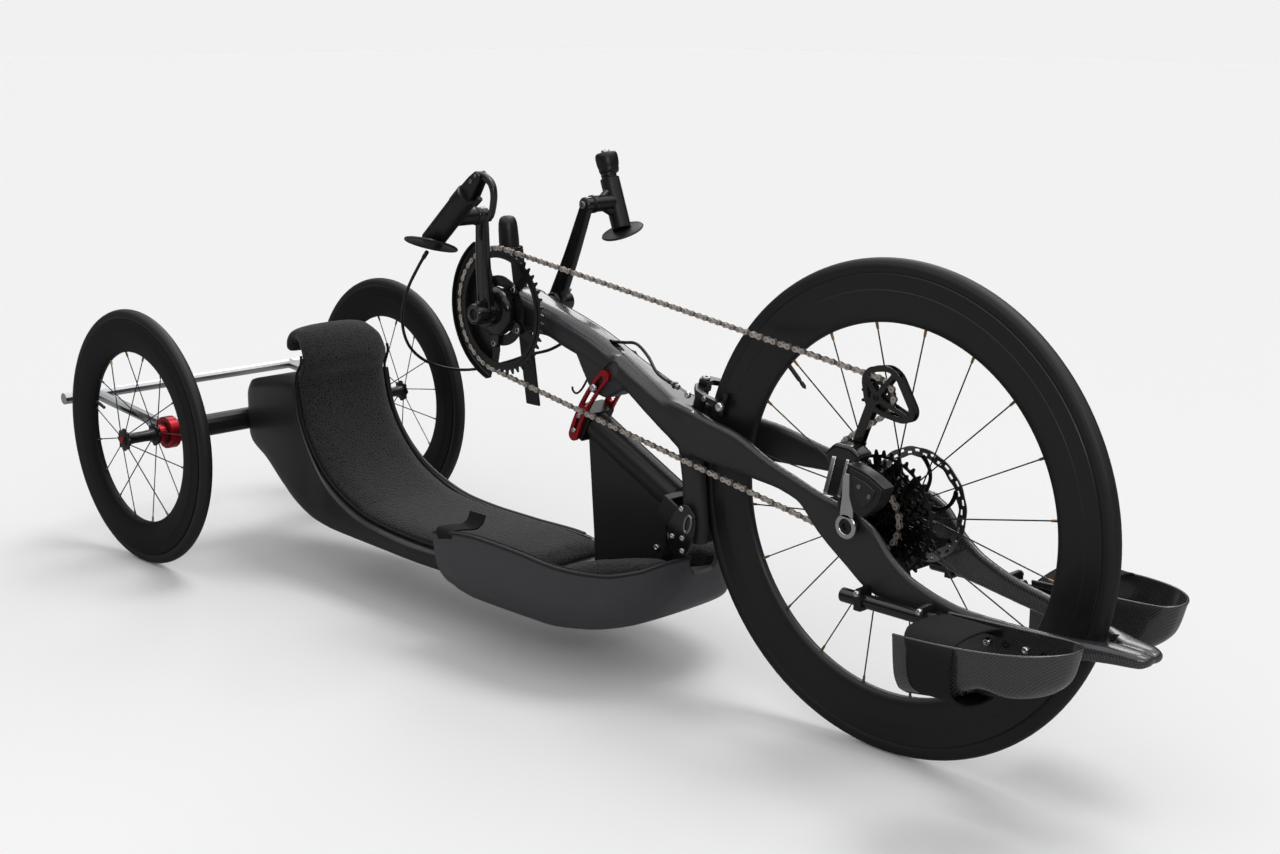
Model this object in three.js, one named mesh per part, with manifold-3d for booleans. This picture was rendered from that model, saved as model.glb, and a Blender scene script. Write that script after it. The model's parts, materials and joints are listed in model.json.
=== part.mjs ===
// Recumbent handcycle: a hand-cranked front-drive three-wheeler with a carbon frame.
// Lengths are millimetres, +X points forward, +Y to the rider's left and +Z up.
// Every piece is placed from the point where the front tyre meets the ground, and the whole
// model is then centred over that ground.
import * as THREE from 'three';
import * as BufferGeometryUtils from 'three/addons/utils/BufferGeometryUtils.js';
import Module from 'manifold-3d';

// Driving dimensions
const frontWheelRadius = 335;
const frontTyreSection = 25;
const frontRimDepth = 65;
const rearWheelRadius = 228.5;
const rearTyreSection = 23;
const rearRimDepth = 58;
const wheelbase = 1450;
const track = 552;
const crankSetback = 736;
const crankHeight = 517;
const crankLength = 160;
const chainPitch = 12.7;
const chainringTeeth = 48;
const cassetteTeeth = [42, 36, 32, 28, 24, 21, 18, 16, 14, 12, 11, 10];
const engagedCog = 5;
const pulleyTeeth = 12;
const chainLine = 44;
const hubSpacing = 142;
const tiltPivotSetback = 340;
const tiltPivotHeight = 250;
const steeringSlope = 26;
const heightSlotRadius = 263;

// Fits and clearances
const runningGap = 0.3;
const seatGap = 0.3;
const cutOverrun = 4;
const joinOverlap = 1;
const wheelClearance = 7.5;
const wheelSideClearance = 6.5;

// Angles are degrees until they meet a sine or cosine.
const rad = THREE.MathUtils.degToRad;
const wasm = await Module();
wasm.setup();

// Finishes
const finish = (color, roughness, metalness) => () =>
  new THREE.MeshStandardMaterial({ color, roughness, metalness });
const carbon = finish(0x26272a, 0.45, 0.1);
const glossCarbon = finish(0x2c2d30, 0.25, 0.1);
const rubber = finish(0x17181a, 0.8, 0);
const blackAlloy = finish(0x121213, 0.35, 0.7);
const steel = finish(0x55524d, 0.35, 0.95);
const silver = finish(0xb9babd, 0.25, 0.95);
const redAlloy = finish(0x9c1420, 0.35, 0.7);
const fabric = finish(0x141415, 0.95, 0);
const nickel = finish(0x6e6258, 0.35, 0.9);
const blackPlastic = finish(0x19191b, 0.55, 0);
const elastomerTan = finish(0x6b5636, 0.6, 0);

// Groups: one for each body that moves on its own.
const handcycle = new THREE.Group();

function addNode(name, geometry, material) {
  const mesh = new THREE.Mesh(geometry, material());
  mesh.name = name;
  handcycle.add(mesh);
}

// A closed geometry whose shared corners are merged becomes a solid that can be cut and joined.
function solid(geometry) {
  const bare = geometry.clone();
  bare.deleteAttribute('normal');
  bare.deleteAttribute('uv');
  const merged = BufferGeometryUtils.mergeVertices(bare);
  const corners = merged.index.array;
  const faces = [];
  for (let i = 0; i < corners.length; i += 3) {
    const [a, b, c] = [corners[i], corners[i + 1], corners[i + 2]];
    if (a !== b && b !== c && c !== a) {
      faces.push(a, b, c);
    }
  }
  const vertProperties = new Float32Array(merged.attributes.position.array);
  return new wasm.Manifold(new wasm.Mesh({ numProp: 3, vertProperties, triVerts: new Uint32Array(faces) }));
}

function geometryOf(shape) {
  const mesh = shape.getMesh();
  const geometry = new THREE.BufferGeometry();
  geometry.setAttribute('position', new THREE.BufferAttribute(mesh.vertProperties, 3));
  geometry.setIndex(new THREE.BufferAttribute(mesh.triVerts, 1));
  geometry.computeVertexNormals();
  return geometry;
}

const join = (first, ...others) => others.reduce((whole, piece) => whole.add(piece), first);
const cut = (first, ...tools) => tools.reduce((rest, tool) => rest.subtract(tool), first);

// Six times the volume inside a closed skin; below zero where its faces point inwards.
function skinSense(points, faces) {
  let total = 0;
  for (let i = 0; i < faces.length; i += 3) {
    const [a, b, c] = [points[faces[i]], points[faces[i + 1]], points[faces[i + 2]]];
    total += a.dot(b.clone().cross(c));
  }
  return total;
}

// A skin through rings of points, one ring per station, with a fan over each end.
function loft(rings) {
  const count = rings[0].length;
  const points = rings.flat();
  const faces = [];
  for (let r = 0; r + 1 < rings.length; r += 1) {
    for (let i = 0; i < count; i += 1) {
      const a = r * count + i;
      const b = r * count + (i + 1) % count;
      faces.push(a, b, b + count, a, b + count, a + count);
    }
  }
  const last = (rings.length - 1) * count;
  for (let i = 1; i + 1 < count; i += 1) {
    faces.push(0, i + 1, i);
    faces.push(last, last + i, last + i + 1);
  }
  const ordered = skinSense(points, faces) < 0 ? faces.reverse() : faces;
  const geometry = new THREE.BufferGeometry();
  const values = points.flatMap((p) => p.toArray());
  geometry.setAttribute('position', new THREE.Float32BufferAttribute(values, 3));
  geometry.setIndex(ordered);
  return solid(geometry);
}

// Eight-sided section across the bike, at one place along it.
function crossSection(x, yLow, yHigh, zLow, zHigh, chamfer) {
  const c = Math.min(chamfer, (yHigh - yLow) / 3, (zHigh - zLow) / 3);
  return [
    [yLow + c, zLow], [yHigh - c, zLow], [yHigh, zLow + c], [yHigh, zHigh - c],
    [yHigh - c, zHigh], [yLow + c, zHigh], [yLow, zHigh - c], [yLow, zLow + c],
  ].map(([y, z]) => new THREE.Vector3(x, y, z));
}

// Eight-sided level section, at one height.
function levelSection(z, xLow, xHigh, yLow, yHigh, chamfer) {
  return crossSection(z, yLow, yHigh, xLow, xHigh, chamfer).map((p) => new THREE.Vector3(p.z, p.y, p.x));
}

// A rod or boss between two points.
function rod(from, to, radius, sides = 16, endRadius = radius) {
  const start = new THREE.Vector3(...from);
  const along = new THREE.Vector3(...to).sub(start);
  const geometry = new THREE.CylinderGeometry(endRadius, radius, along.length(), sides);
  geometry.translate(0, along.length() / 2, 0);
  const turn = new THREE.Quaternion().setFromUnitVectors(new THREE.Vector3(0, 1, 0), along.normalize());
  geometry.applyQuaternion(turn);
  geometry.translate(start.x, start.y, start.z);
  return solid(geometry);
}

// A solid of revolution about the line that runs across the bike through (x, z).
// The profile is a closed list of [radius, y]. One flat facet faces straight down.
function turned(profile, x, z, sides) {
  const outline = profile.map(([r, y]) => new THREE.Vector2(r, y));
  const points = THREE.ShapeUtils.area(outline) < 0 ? outline.reverse() : outline;
  points.push(points[0].clone());
  const geometry = new THREE.LatheGeometry(points, sides, Math.PI / sides);
  geometry.translate(x, 0, z);
  return solid(geometry);
}

// An outline drawn in the side view, [x, z], as a plate from yLow to yHigh.
function sidePlate(outline, yLow, yHigh, holes = []) {
  const shape = polygon(outline);
  shape.holes.push(...holes.map(polygon));
  const options = { depth: yHigh - yLow, bevelEnabled: false };
  const geometry = new THREE.ExtrudeGeometry(shape, options);
  geometry.rotateX(Math.PI / 2);
  geometry.translate(0, yHigh, 0);
  return solid(geometry);
}

// A closed outline, always counter-clockwise.
function polygon(points) {
  const corners = points.map(([x, y]) => new THREE.Vector2(x, y));
  return new THREE.Shape(THREE.ShapeUtils.isClockWise(corners) ? corners.reverse() : corners);
}

function circle(centre, radius, sides) {
  const points = [];
  for (let i = 0; i < sides; i += 1) {
    const a = 2 * Math.PI * i / sides;
    points.push([centre.x + radius * Math.cos(a), centre.z + radius * Math.sin(a)]);
  }
  return points;
}

// An outline drawn in the plan view, [x, y], as a block from zLow to zHigh.
function planBlock(outline, zLow, zHigh) {
  const options = { depth: zHigh - zLow, bevelEnabled: false };
  const geometry = new THREE.ExtrudeGeometry(polygon(outline), options);
  geometry.translate(0, 0, zLow);
  return solid(geometry);
}

function box(xLow, xHigh, yLow, yHigh, zLow, zHigh) {
  const geometry = new THREE.BoxGeometry(xHigh - xLow, yHigh - yLow, zHigh - zLow);
  geometry.translate((xLow + xHigh) / 2, (yLow + yHigh) / 2, (zLow + zHigh) / 2);
  return solid(geometry);
}

function roundSection(radius, sides) {
  const shape = new THREE.Shape();
  for (let i = 0; i < sides; i += 1) {
    const a = 2 * Math.PI * i / sides;
    shape[i ? 'lineTo' : 'moveTo'](radius * Math.cos(a), radius * Math.sin(a));
  }
  shape.closePath();
  return shape;
}

// A round cable or tube along a smooth curve through points.
function tubeAlong(points, radius, sides, steps) {
  const places = points.map((p) => new THREE.Vector3(...p));
  const extrudePath = new THREE.CatmullRomCurve3(places, false, 'centripetal');
  const options = { steps, extrudePath, bevelEnabled: false };
  const geometry = new THREE.ExtrudeGeometry(roundSection(radius, sides), options);
  return solid(geometry);
}

// Places that many pieces share
const frontHub = { x: 0, z: frontWheelRadius };
const crank = { x: -crankSetback, z: crankHeight };
const tiltPivot = { x: -tiltPivotSetback, z: tiltPivotHeight };
const rearAxle = { x: -wheelbase, z: rearWheelRadius };

// The steering axis runs from the tilt pivot up and back: t along it, n square to it and up.
const steerAlong = { x: -Math.cos(rad(steeringSlope)), z: Math.sin(rad(steeringSlope)) };
const steerAcross = { x: Math.sin(rad(steeringSlope)), z: Math.cos(rad(steeringSlope)) };
const onSteering = (t, n) => [
  tiltPivot.x + steerAlong.x * t + steerAcross.x * n,
  tiltPivot.z + steerAlong.z * t + steerAcross.z * n,
];
const steeringPoint = (t, y = 0) => {
  const [x, z] = onSteering(t, 0);
  return [x, y, z];
};

// Wheels
// A tyre and a deep rim are revolved about the hub; flat facets are on the tread radius,
// so each wheel stands on one of them.
function wheelSizes(radius, section, rimDepth, sides) {
  const half = section / 2;
  const flat = 1 / Math.cos(Math.PI / sides);
  const seatRadius = radius - half - half * Math.cos(rad(tyreWrap));
  return { radius, half, sides, flat, seatRadius, innerRadius: seatRadius - rimDepth };
}

const tyreWrap = 55;
const tyreArcAngles = [125, 62, 18, -18, -62, -125];
const rimProfileShares = [[0, 0.24], [0.45, 1]];
const rimHalfWidth = 12.4;

function tyre(size, y) {
  return tyreArcAngles.map((a) => [
    (size.radius - size.half + size.half * Math.cos(rad(a))) * size.flat,
    y + size.half * Math.sin(rad(a)),
  ]);
}

function rim(size, y) {
  const seatHalf = size.half * Math.sin(rad(180 - tyreWrap));
  const top = size.seatRadius - seatGap;
  const right = rimProfileShares.map(([depth, width]) => [
    size.innerRadius + (top - size.innerRadius) * depth,
    -rimHalfWidth * width,
  ]);
  right.push([top, -seatHalf]);
  const left = right.map(([r, w]) => [r, -w]).reverse();
  return [...right, ...left].map(([r, w]) => [r * size.flat, y + w]).reverse();
}

const spokeRadius = 1.3;
const spokeSides = 3;
const spokeSplay = 9;
const fullTurn = 2 * Math.PI;

// A hub shell with two flanges, and spokes that leave them by turns and lean fore and aft.
function spokedHub(size, y, x, z, hub, spokeCount) {
  let whole = turned(hub.profile.map(([r, w]) => [r, y + w]), x, z, hub.sides);
  for (let i = 0; i < spokeCount; i += 1) {
    const outer = fullTurn * (i + 0.5) / spokeCount;
    const root = outer + rad(spokeSplay) * (i % 4 < 2 ? 1 : -1);
    const flange = i % 2 ? hub.leftFlange : hub.rightFlange;
    const from = [x + hub.flangeRadius * Math.sin(root), y + flange, z + hub.flangeRadius * Math.cos(root)];
    const reach = size.innerRadius - seatGap;
    const to = [x + reach * Math.sin(outer), y, z + reach * Math.cos(outer)];
    whole = whole.add(rod(from, to, spokeRadius, spokeSides));
  }
  return whole;
}

const frontWheelFacets = 42;
const rearWheelFacets = 28;
const frontSpokeCount = 20;
const rearSpokeCount = 16;
const frontWheel = wheelSizes(frontWheelRadius, frontTyreSection, frontRimDepth, frontWheelFacets);
const rearWheel = wheelSizes(rearWheelRadius, rearTyreSection, rearRimDepth, rearWheelFacets);

const axleRadius = 6;
const hubCoreRadius = 13;
const flangeThickness = 3;
const frontFlangeRadius = 27;
const frontFlangeGauge = 50;
const rightFlangeOffset = 17;
const rotorOffset = 52;
const cassetteEnd = 66;
const hubFacets = 12;

function frontHubShell() {
  const right = -rightFlangeOffset;
  const left = right + frontFlangeGauge;
  const bore = axleRadius + runningGap;
  const leftEnd = hubSpacing / 2 - joinOverlap;
  const profile = [
    [bore, right - flangeThickness], [frontFlangeRadius, right - flangeThickness],
    [frontFlangeRadius, right], [hubCoreRadius, right + 2 * flangeThickness],
    [hubCoreRadius, left - 2 * flangeThickness], [frontFlangeRadius, left],
    [frontFlangeRadius, left + flangeThickness], [hubCoreRadius, left + 2 * flangeThickness],
    [hubCoreRadius, leftEnd], [bore, leftEnd],
  ];
  const hub = {
    profile,
    sides: hubFacets,
    flangeRadius: frontFlangeRadius - flangeThickness,
    rightFlange: right - flangeThickness / 2,
    leftFlange: left + flangeThickness / 2,
  };
  return spokedHub(frontWheel, 0, frontHub.x, frontHub.z, hub, frontSpokeCount);
}

// The brake disc is a slotted ring on slanting arms, clamped to the hub's left end.
const rotorRadius = 80;
const rotorBand = 14;
const rotorThickness = 1.8;
const rotorArms = 6;
const rotorArmWidth = 7;
const rotorArmSlant = 30;
const rotorCarrierRadius = 24;
const rotorFacets = 28;

function brakeRotor() {
  const low = rotorOffset - rotorThickness / 2;
  const high = rotorOffset + rotorThickness / 2;
  const inner = rotorRadius - rotorBand;
  const bore = hubCoreRadius + seatGap;
  const ring = turned([[inner, low], [rotorRadius, low], [rotorRadius, high], [inner, high]],
    frontHub.x, frontHub.z, rotorFacets);
  const carrier = turned([[bore, low], [rotorCarrierRadius, low], [rotorCarrierRadius, high], [bore, high]],
    frontHub.x, frontHub.z, hubFacets);
  let whole = join(ring, carrier);
  for (let i = 0; i < rotorArms; i += 1) {
    const arm = new THREE.BoxGeometry(rotorArmWidth, rotorThickness, inner - rotorCarrierRadius + rotorBand);
    arm.translate(0, 0, (inner + rotorCarrierRadius) / 2);
    arm.rotateY(rad(rotorArmSlant));
    arm.translate(-rotorCarrierRadius * Math.sin(rad(rotorArmSlant)), rotorOffset, 0);
    arm.rotateY(fullTurn * i / rotorArms);
    arm.translate(frontHub.x, 0, frontHub.z);
    whole = whole.add(solid(arm));
  }
  return whole;
}

const rearHubHalf = 34;
const rearFlangeRadius = 20;
const rearHubCore = 10;
const rearPinRadius = 6;

// A rear wheel runs on a stub axle that reaches out from the axle beam.
function rearHubShell(side) {
  const bore = rearPinRadius + runningGap;
  const profile = [
    [bore, -rearHubHalf], [rearHubCore, -rearHubHalf], [rearFlangeRadius, -rearHubHalf + flangeThickness],
    [rearFlangeRadius, -rearHubHalf + 2 * flangeThickness], [rearHubCore, -rearHubHalf + 4 * flangeThickness],
    [rearHubCore, rearHubHalf - 4 * flangeThickness], [rearFlangeRadius, rearHubHalf - 2 * flangeThickness],
    [rearFlangeRadius, rearHubHalf - flangeThickness], [rearHubCore, rearHubHalf], [bore, rearHubHalf],
  ];
  const hub = {
    profile,
    sides: hubFacets,
    flangeRadius: rearFlangeRadius - flangeThickness,
    rightFlange: -rearHubHalf + 1.5 * flangeThickness,
    leftFlange: rearHubHalf - 1.5 * flangeThickness,
  };
  return spokedHub(rearWheel, side * track / 2, rearAxle.x, rearAxle.z, hub, rearSpokeCount);
}

// Drive: chainring, cassette, jockey pulleys and the chain that runs over them
const chainInnerWidth = 2.6;
const chainOuterWidth = 5.2;
const chainPlateHeight = 8.2;
const chainWaistHeight = 6;
const linksPerPin = 8;
const pinSides = 4;
const rollerRadius = 3.4;
const toothThickness = 1.9;
const toothDepth = 4.1;
const toothHeight = 3.2;
const toothRootHalf = 2.3;
const toothValleyClearance = 0.4;
const cogSpacing = 3.65;
const freehubRadius = 14;
const drumSides = 8;
const boreSides = 12;

const pitchRadius = (teeth, pitch) => pitch / (2 * Math.sin(Math.PI / teeth));

// Outline of a toothed wheel round its own centre. A tooth stands midway between two rollers,
// and the first roller lies at the phase angle.
function toothedOutline(teeth, radius, phase, plain) {
  const points = [];
  const root = radius - toothDepth;
  const tip = radius + toothHeight;
  for (let i = 0; i < teeth; i += 1) {
    const middle = phase + 2 * Math.PI * (i + 0.5) / teeth;
    const rootTurn = Math.asin(toothRootHalf / root);
    const corners = plain
      ? [[root, middle - Math.PI / teeth], [tip, middle]]
      : [[root, middle - rootTurn], [tip, middle], [root, middle + rootTurn]];
    corners.forEach(([r, a]) => points.push([r * Math.cos(a), r * Math.sin(a)]));
  }
  return points;
}

const atCentre = (points, centre) => points.map(([x, z]) => [centre.x + x, centre.z + z]);

// The chain's loop in the side view: four toothed wheels, each with the way that the chain turns
// round it. A turn of -1 is clockwise seen from the right side of the bike.
const tensionPulleyReach = 2;
const tensionPulleyRise = 161;
const guidePulleySetback = 34;
const guidePulleyRise = 77;
const tensionPulley = { x: frontHub.x + tensionPulleyReach, z: frontHub.z + tensionPulleyRise };
const guidePulley = { x: frontHub.x - guidePulleySetback, z: frontHub.z + guidePulleyRise };

function tangent(from, to) {
  const dx = to.x - from.x;
  const dz = to.z - from.z;
  const span = Math.hypot(dx, dz);
  const heading = Math.atan2(dz, dx);
  const swing = Math.asin((from.turn * from.radius - to.turn * to.radius) / span);
  const line = heading + swing;
  const off = (wheel) => ({
    x: wheel.x + wheel.turn * wheel.radius * Math.sin(line),
    z: wheel.z - wheel.turn * wheel.radius * Math.cos(line),
  });
  return { start: off(from), end: off(to), length: span * Math.cos(swing) };
}

function chainLoop(pitch) {
  const wheels = [
    { ...crank, teeth: chainringTeeth, turn: -1 },
    { ...tensionPulley, teeth: pulleyTeeth, turn: -1 },
    { ...guidePulley, teeth: pulleyTeeth, turn: 1 },
    { ...frontHub, teeth: cassetteTeeth[engagedCog], turn: -1 },
  ].map((wheel) => ({ ...wheel, radius: pitchRadius(wheel.teeth, pitch) }));
  const spans = wheels.map((wheel, i) => tangent(wheel, wheels[(i + 1) % wheels.length]));
  const wraps = wheels.map((wheel, i) => {
    const arrive = spans[(i + wheels.length - 1) % wheels.length].end;
    const leave = spans[i].start;
    const from = Math.atan2(arrive.z - wheel.z, arrive.x - wheel.x);
    const to = Math.atan2(leave.z - wheel.z, leave.x - wheel.x);
    const wrapped = ((to - from) * wheel.turn + 2 * fullTurn) % fullTurn;
    return { from, angle: wrapped * wheel.turn, links: wrapped * wheel.teeth / fullTurn };
  });
  return { wheels, spans, wraps };
}

// The chain closes with a whole, even number of links: the straight runs take up the rest.
const fitRounds = 8;

function fitChain() {
  let pitch = chainPitch;
  let loop = chainLoop(pitch);
  let links = 0;
  for (let round = 0; round < fitRounds; round += 1) {
    const wrapped = loop.wraps.reduce((sum, wrap) => sum + wrap.links, 0);
    const straight = loop.spans.reduce((sum, span) => sum + span.length, 0);
    links = 2 * Math.round((wrapped + straight / chainPitch) / 2);
    pitch = straight / (links - wrapped);
    loop = chainLoop(pitch);
  }
  return { pitch, links, ...loop };
}

const chainFit = fitChain();

// Walk the loop in links: where each roller sits, which way the chain heads, and the wheel it is on.
function chainStations(perLink) {
  const stations = [];
  const stretches = [];
  let at = 0;
  chainFit.wheels.forEach((wheel, i) => {
    const wrap = chainFit.wraps[i];
    const span = chainFit.spans[i];
    stretches.push({ start: at, links: wrap.links, wheel, wrap });
    at += wrap.links;
    stretches.push({ start: at, links: span.length / chainFit.pitch, span });
    at += span.length / chainFit.pitch;
  });
  for (let k = 0; k < chainFit.links * perLink; k += 1) {
    const position = k / perLink;
    const stretch = stretches.find((s) => position >= s.start && position < s.start + s.links) ?? stretches.at(-1);
    const share = (position - stretch.start) / stretch.links;
    stations.push(stretch.wheel ? onWrap(stretch, share, position) : onSpan(stretch, share, position));
  }
  return stations;
}

function onWrap(stretch, share, position) {
  const { wheel, wrap } = stretch;
  const a = wrap.from + wrap.angle * share;
  return {
    x: wheel.x + wheel.radius * Math.cos(a),
    z: wheel.z + wheel.radius * Math.sin(a),
    heading: a + wheel.turn * Math.PI / 2,
    angle: a,
    position,
    wheel,
  };
}

function onSpan(stretch, share, position) {
  const { start, end } = stretch.span;
  return {
    x: start.x + (end.x - start.x) * share,
    z: start.z + (end.z - start.z) * share,
    heading: Math.atan2(end.z - start.z, end.x - start.x),
    position,
    wheel: null,
  };
}

const rollers = chainStations(1);

// The angle of the first roller on a wheel, so that its teeth stand between the rollers.
function rollerPhase(teeth, centre) {
  const roller = rollers.find((s) => s.wheel && s.wheel.teeth === teeth && s.wheel.x === centre.x);
  return roller ? roller.angle : 0;
}

// A stretch of chain as one skin: a ring of four corners at each station.
function chainStrip(stations, yLow, yHigh, halfHeight) {
  return loft(stations.map((s, i) => {
    const h = halfHeight(s, i);
    const across = { x: -Math.sin(s.heading), z: Math.cos(s.heading) };
    const yl = yLow(s, i);
    const yh = yHigh(s, i);
    return [[yl, -h], [yh, -h], [yh, h], [yl, h]].map(([y, n]) =>
      new THREE.Vector3(s.x + across.x * n, y, s.z + across.z * n));
  }));
}

// On the toothed wheels the chain is two rows of plates with rollers between them, and on the
// straight runs its wide and narrow links alternate.
function chain() {
  const outerLink = (s) => s.position % 2 === 0;
  const height = (s) => (outerLink(s) ? chainPlateHeight : chainWaistHeight) / 2;
  const spanHalf = (s) => (outerLink(s) ? chainOuterWidth : chainInnerWidth + toothThickness) / 2;
  const pieces = [];
  let run = [];
  const flush = (next) => {
    if (run.length > 1) {
      pieces.push(...(run[0].wheel ? ladder(run) : [band(run)]));
    }
    run = next;
  };
  const band = (part) => chainStrip(part, (s) => -chainLine - spanHalf(s), (s) => -chainLine + spanHalf(s), height);
  const ladder = (part) => {
    const inner = chainInnerWidth / 2;
    const outer = chainOuterWidth / 2;
    const half = () => chainPlateHeight / 2;
    const right = chainStrip(part, () => -chainLine - outer, () => -chainLine - inner, half);
    const left = chainStrip(part, () => -chainLine + inner, () => -chainLine + outer, half);
    const middle = (inner + outer) / 2;
    const pins = part.filter((s, i) => s.wheel && i % linksPerPin === linksPerPin / 2).map((s) =>
      rod([s.x, -chainLine - middle, s.z], [s.x, -chainLine + middle, s.z], rollerRadius, pinSides));
    return [right, left, ...pins];
  };
  rollers.concat(rollers[0]).forEach((s) => {
    const before = run.at(-1);
    if (before && Boolean(before.wheel) !== Boolean(s.wheel)) {
      const overlap = before.wheel ? [before, s] : [s];
      if (!before.wheel) {
        run.push(s);
      }
      flush(overlap);
    } else {
      run.push(s);
    }
  });
  flush([]);
  return join(...pieces);
}

const ringWindowCount = 5;
const ringWindowInner = 57;
const ringBandWidth = 13;
const ringArmWidth = 15;
const spiderBoltCircle = 53;
const smallFacets = 20;

// A window between two arms of the chainring: an arc band cut back by half an arm at each side.
function ringWindow(index) {
  const outer = pitchRadius(chainringTeeth, chainFit.pitch) - ringBandWidth;
  const middle = fullTurn * (index + 0.5) / ringWindowCount;
  const half = fullTurn / ringWindowCount / 2;
  const corners = [];
  [[outer, -1], [outer, 0], [outer, 1], [ringWindowInner, 1], [ringWindowInner, 0], [ringWindowInner, -1]]
    .forEach(([r, s]) => {
      const a = middle + s * half - s * Math.asin(ringArmWidth / 2 / r);
      corners.push([crank.x + r * Math.cos(a), crank.z + r * Math.sin(a)]);
    });
  return corners;
}

function chainring() {
  const radius = pitchRadius(chainringTeeth, chainFit.pitch);
  const teeth = toothedOutline(chainringTeeth, radius, rollerPhase(chainringTeeth, crank), false);
  const outline = atCentre(teeth, crank);
  const windows = [];
  for (let i = 0; i < ringWindowCount; i += 1) {
    windows.push(ringWindow(i));
  }
  const bore = circle(crank, spiderBoltCircle - ringArmWidth, smallFacets);
  return sidePlate(outline, -chainLine - toothThickness / 2, -chainLine + toothThickness / 2, [...windows, bore]);
}

// One cluster: a drum carries the cogs, largest inboard.
function cassette() {
  const cogY = (i) => -chainLine - (i - engagedCog) * cogSpacing;
  const inboard = cogY(0) + toothThickness;
  const { x, z } = frontHub;
  let whole = rod([x, inboard, z], [x, -cassetteEnd, z], freehubRadius, drumSides);
  cassetteTeeth.forEach((teeth, i) => {
    const engaged = i === engagedCog;
    const radius = pitchRadius(teeth, engaged ? chainFit.pitch : chainPitch);
    const phase = engaged ? rollerPhase(teeth, frontHub) : i;
    const outline = atCentre(toothedOutline(teeth, radius, phase, !engaged), frontHub);
    whole = whole.add(sidePlate(outline, cogY(i) - toothThickness / 2, cogY(i) + toothThickness / 2));
  });
  const bore = axleRadius + runningGap;
  return cut(whole, rod([x, inboard + cutOverrun, z], [x, -cassetteEnd - cutOverrun, z], bore, boreSides));
}

const pulleyBore = 4;

function jockeyPulley(centre) {
  const radius = pitchRadius(pulleyTeeth, chainFit.pitch);
  const outline = atCentre(toothedOutline(pulleyTeeth, radius, rollerPhase(pulleyTeeth, centre), false), centre);
  const bore = circle(centre, pulleyBore + runningGap, boreSides);
  return sidePlate(outline, -chainLine - toothThickness / 2, -chainLine + toothThickness / 2, [bore]);
}

// Front frame: a carbon beam from the crank to the fork crotch, two arms past the wheel that meet
// in a nose, and a leg that drops behind the wheel to the tilt pivot.
const crotchGap = 8.5;
const crotchSetback = frontWheelRadius + wheelClearance + crotchGap;
const boomLength = crankSetback - crotchSetback;
const boomDepth = 70;
const boomHalfWidth = 33;
const boomChamfer = 13;
// Along the beam, top and bottom from the crank's height, and half width.
const boomShares = [
  [-0.086, 0.2, -0.2, 0.73], [-0.057, 0.39, -0.39, 0.9], [0, 0.5, -0.47, 1], [0.182, 0.53, -0.486, 0.9],
  [0.314, 0.257, -0.7, 0.85], [0.455, -0.114, -0.914, 0.84], [0.621, -0.571, -1.27, 0.84],
  [0.792, -0.986, -1.8, 0.95], [0.906, -1.23, -2.13, 1.05], [1, -1.343, -2.32, 1.12],
];

function boom() {
  return loft(boomShares.map(([along, top, bottom, width]) => crossSection(
    crank.x + along * boomLength,
    -width * boomHalfWidth, width * boomHalfWidth,
    crank.z + bottom * boomDepth, crank.z + top * boomDepth,
    boomChamfer,
  )));
}

const armRearReach = 350;
const armFrontReach = 390;
const armHalfSpan = 86;
const armThickness = 14;
const armDrop = 110;
const armChamfer = 5;
// Along from the hub, outer side, thickness, and top and bottom from the hub's height.
const armRearShares = [
  [1, 0.42, 1.57, 0.809, 0.191], [0.857, 0.49, 1.4, 0.727, 0.155], [0.691, 0.593, 1.29, 0.655, 0.145],
  [0.471, 0.756, 1.14, 0.455, 0.136], [0.314, 0.86, 1.07, 0.345, 0.064], [0.171, 0.942, 1, 0.245, -0.273],
  [0.043, 0.988, 1, 0.173, -0.536],
];
const armFrontShares = [
  [0.067, 1, 1, 0.027, -0.773], [0.154, 0.988, 1, -0.29, -0.855], [0.244, 0.965, 1, -0.5, -0.9],
  [0.418, 0.907, 1.14, -0.691, -0.973], [0.549, 0.814, 1.29, -0.745, -1.01],
  [0.656, 0.698, 1.43, -0.782, -1.03], [0.795, 0.512, 1.5, -0.809, -1.03],
  [0.89, 0.38, 2.4, -0.827, -1.02], [0.975, 0.3, 1.92, -0.85, -1.01], [1, 0.22, 1.42, -0.88, -0.97],
];

function forkArm(side) {
  const station = (reach) => ([along, outer, thickness, top, bottom]) => {
    const y = side * outer * armHalfSpan;
    const inner = y - side * thickness * armThickness;
    return crossSection(
      frontHub.x + along * reach, Math.min(y, inner), Math.max(y, inner),
      frontHub.z + bottom * armDrop, frontHub.z + top * armDrop, armChamfer,
    );
  };
  return loft([...armRearShares.map(station(-armRearReach)), ...armFrontShares.map(station(armFrontReach))]);
}

const legHeight = 175;
const legDepth = 50;
const legHalfWidth = 36;
const legChamfer = 10;
// Height from the pivot, back and front from it, and half width.
const legSwellShare = 1.02;
const legShares = [
  [0.857, -0.76, 0.2, 1], [0.58, -0.5, 0.36, legSwellShare], [0.27, -0.36, 0.48, 1],
  [0, -0.4, 0.56, 0.95], [-0.15, -0.32, 0.52, 0.83],
];

function frameLeg() {
  return loft(legShares.map(([up, back, front, width]) => levelSection(
    tiltPivot.z + up * legHeight,
    tiltPivot.x + back * legDepth, tiltPivot.x + front * legDepth,
    -width * legHalfWidth, width * legHalfWidth, legChamfer,
  )));
}

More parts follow.
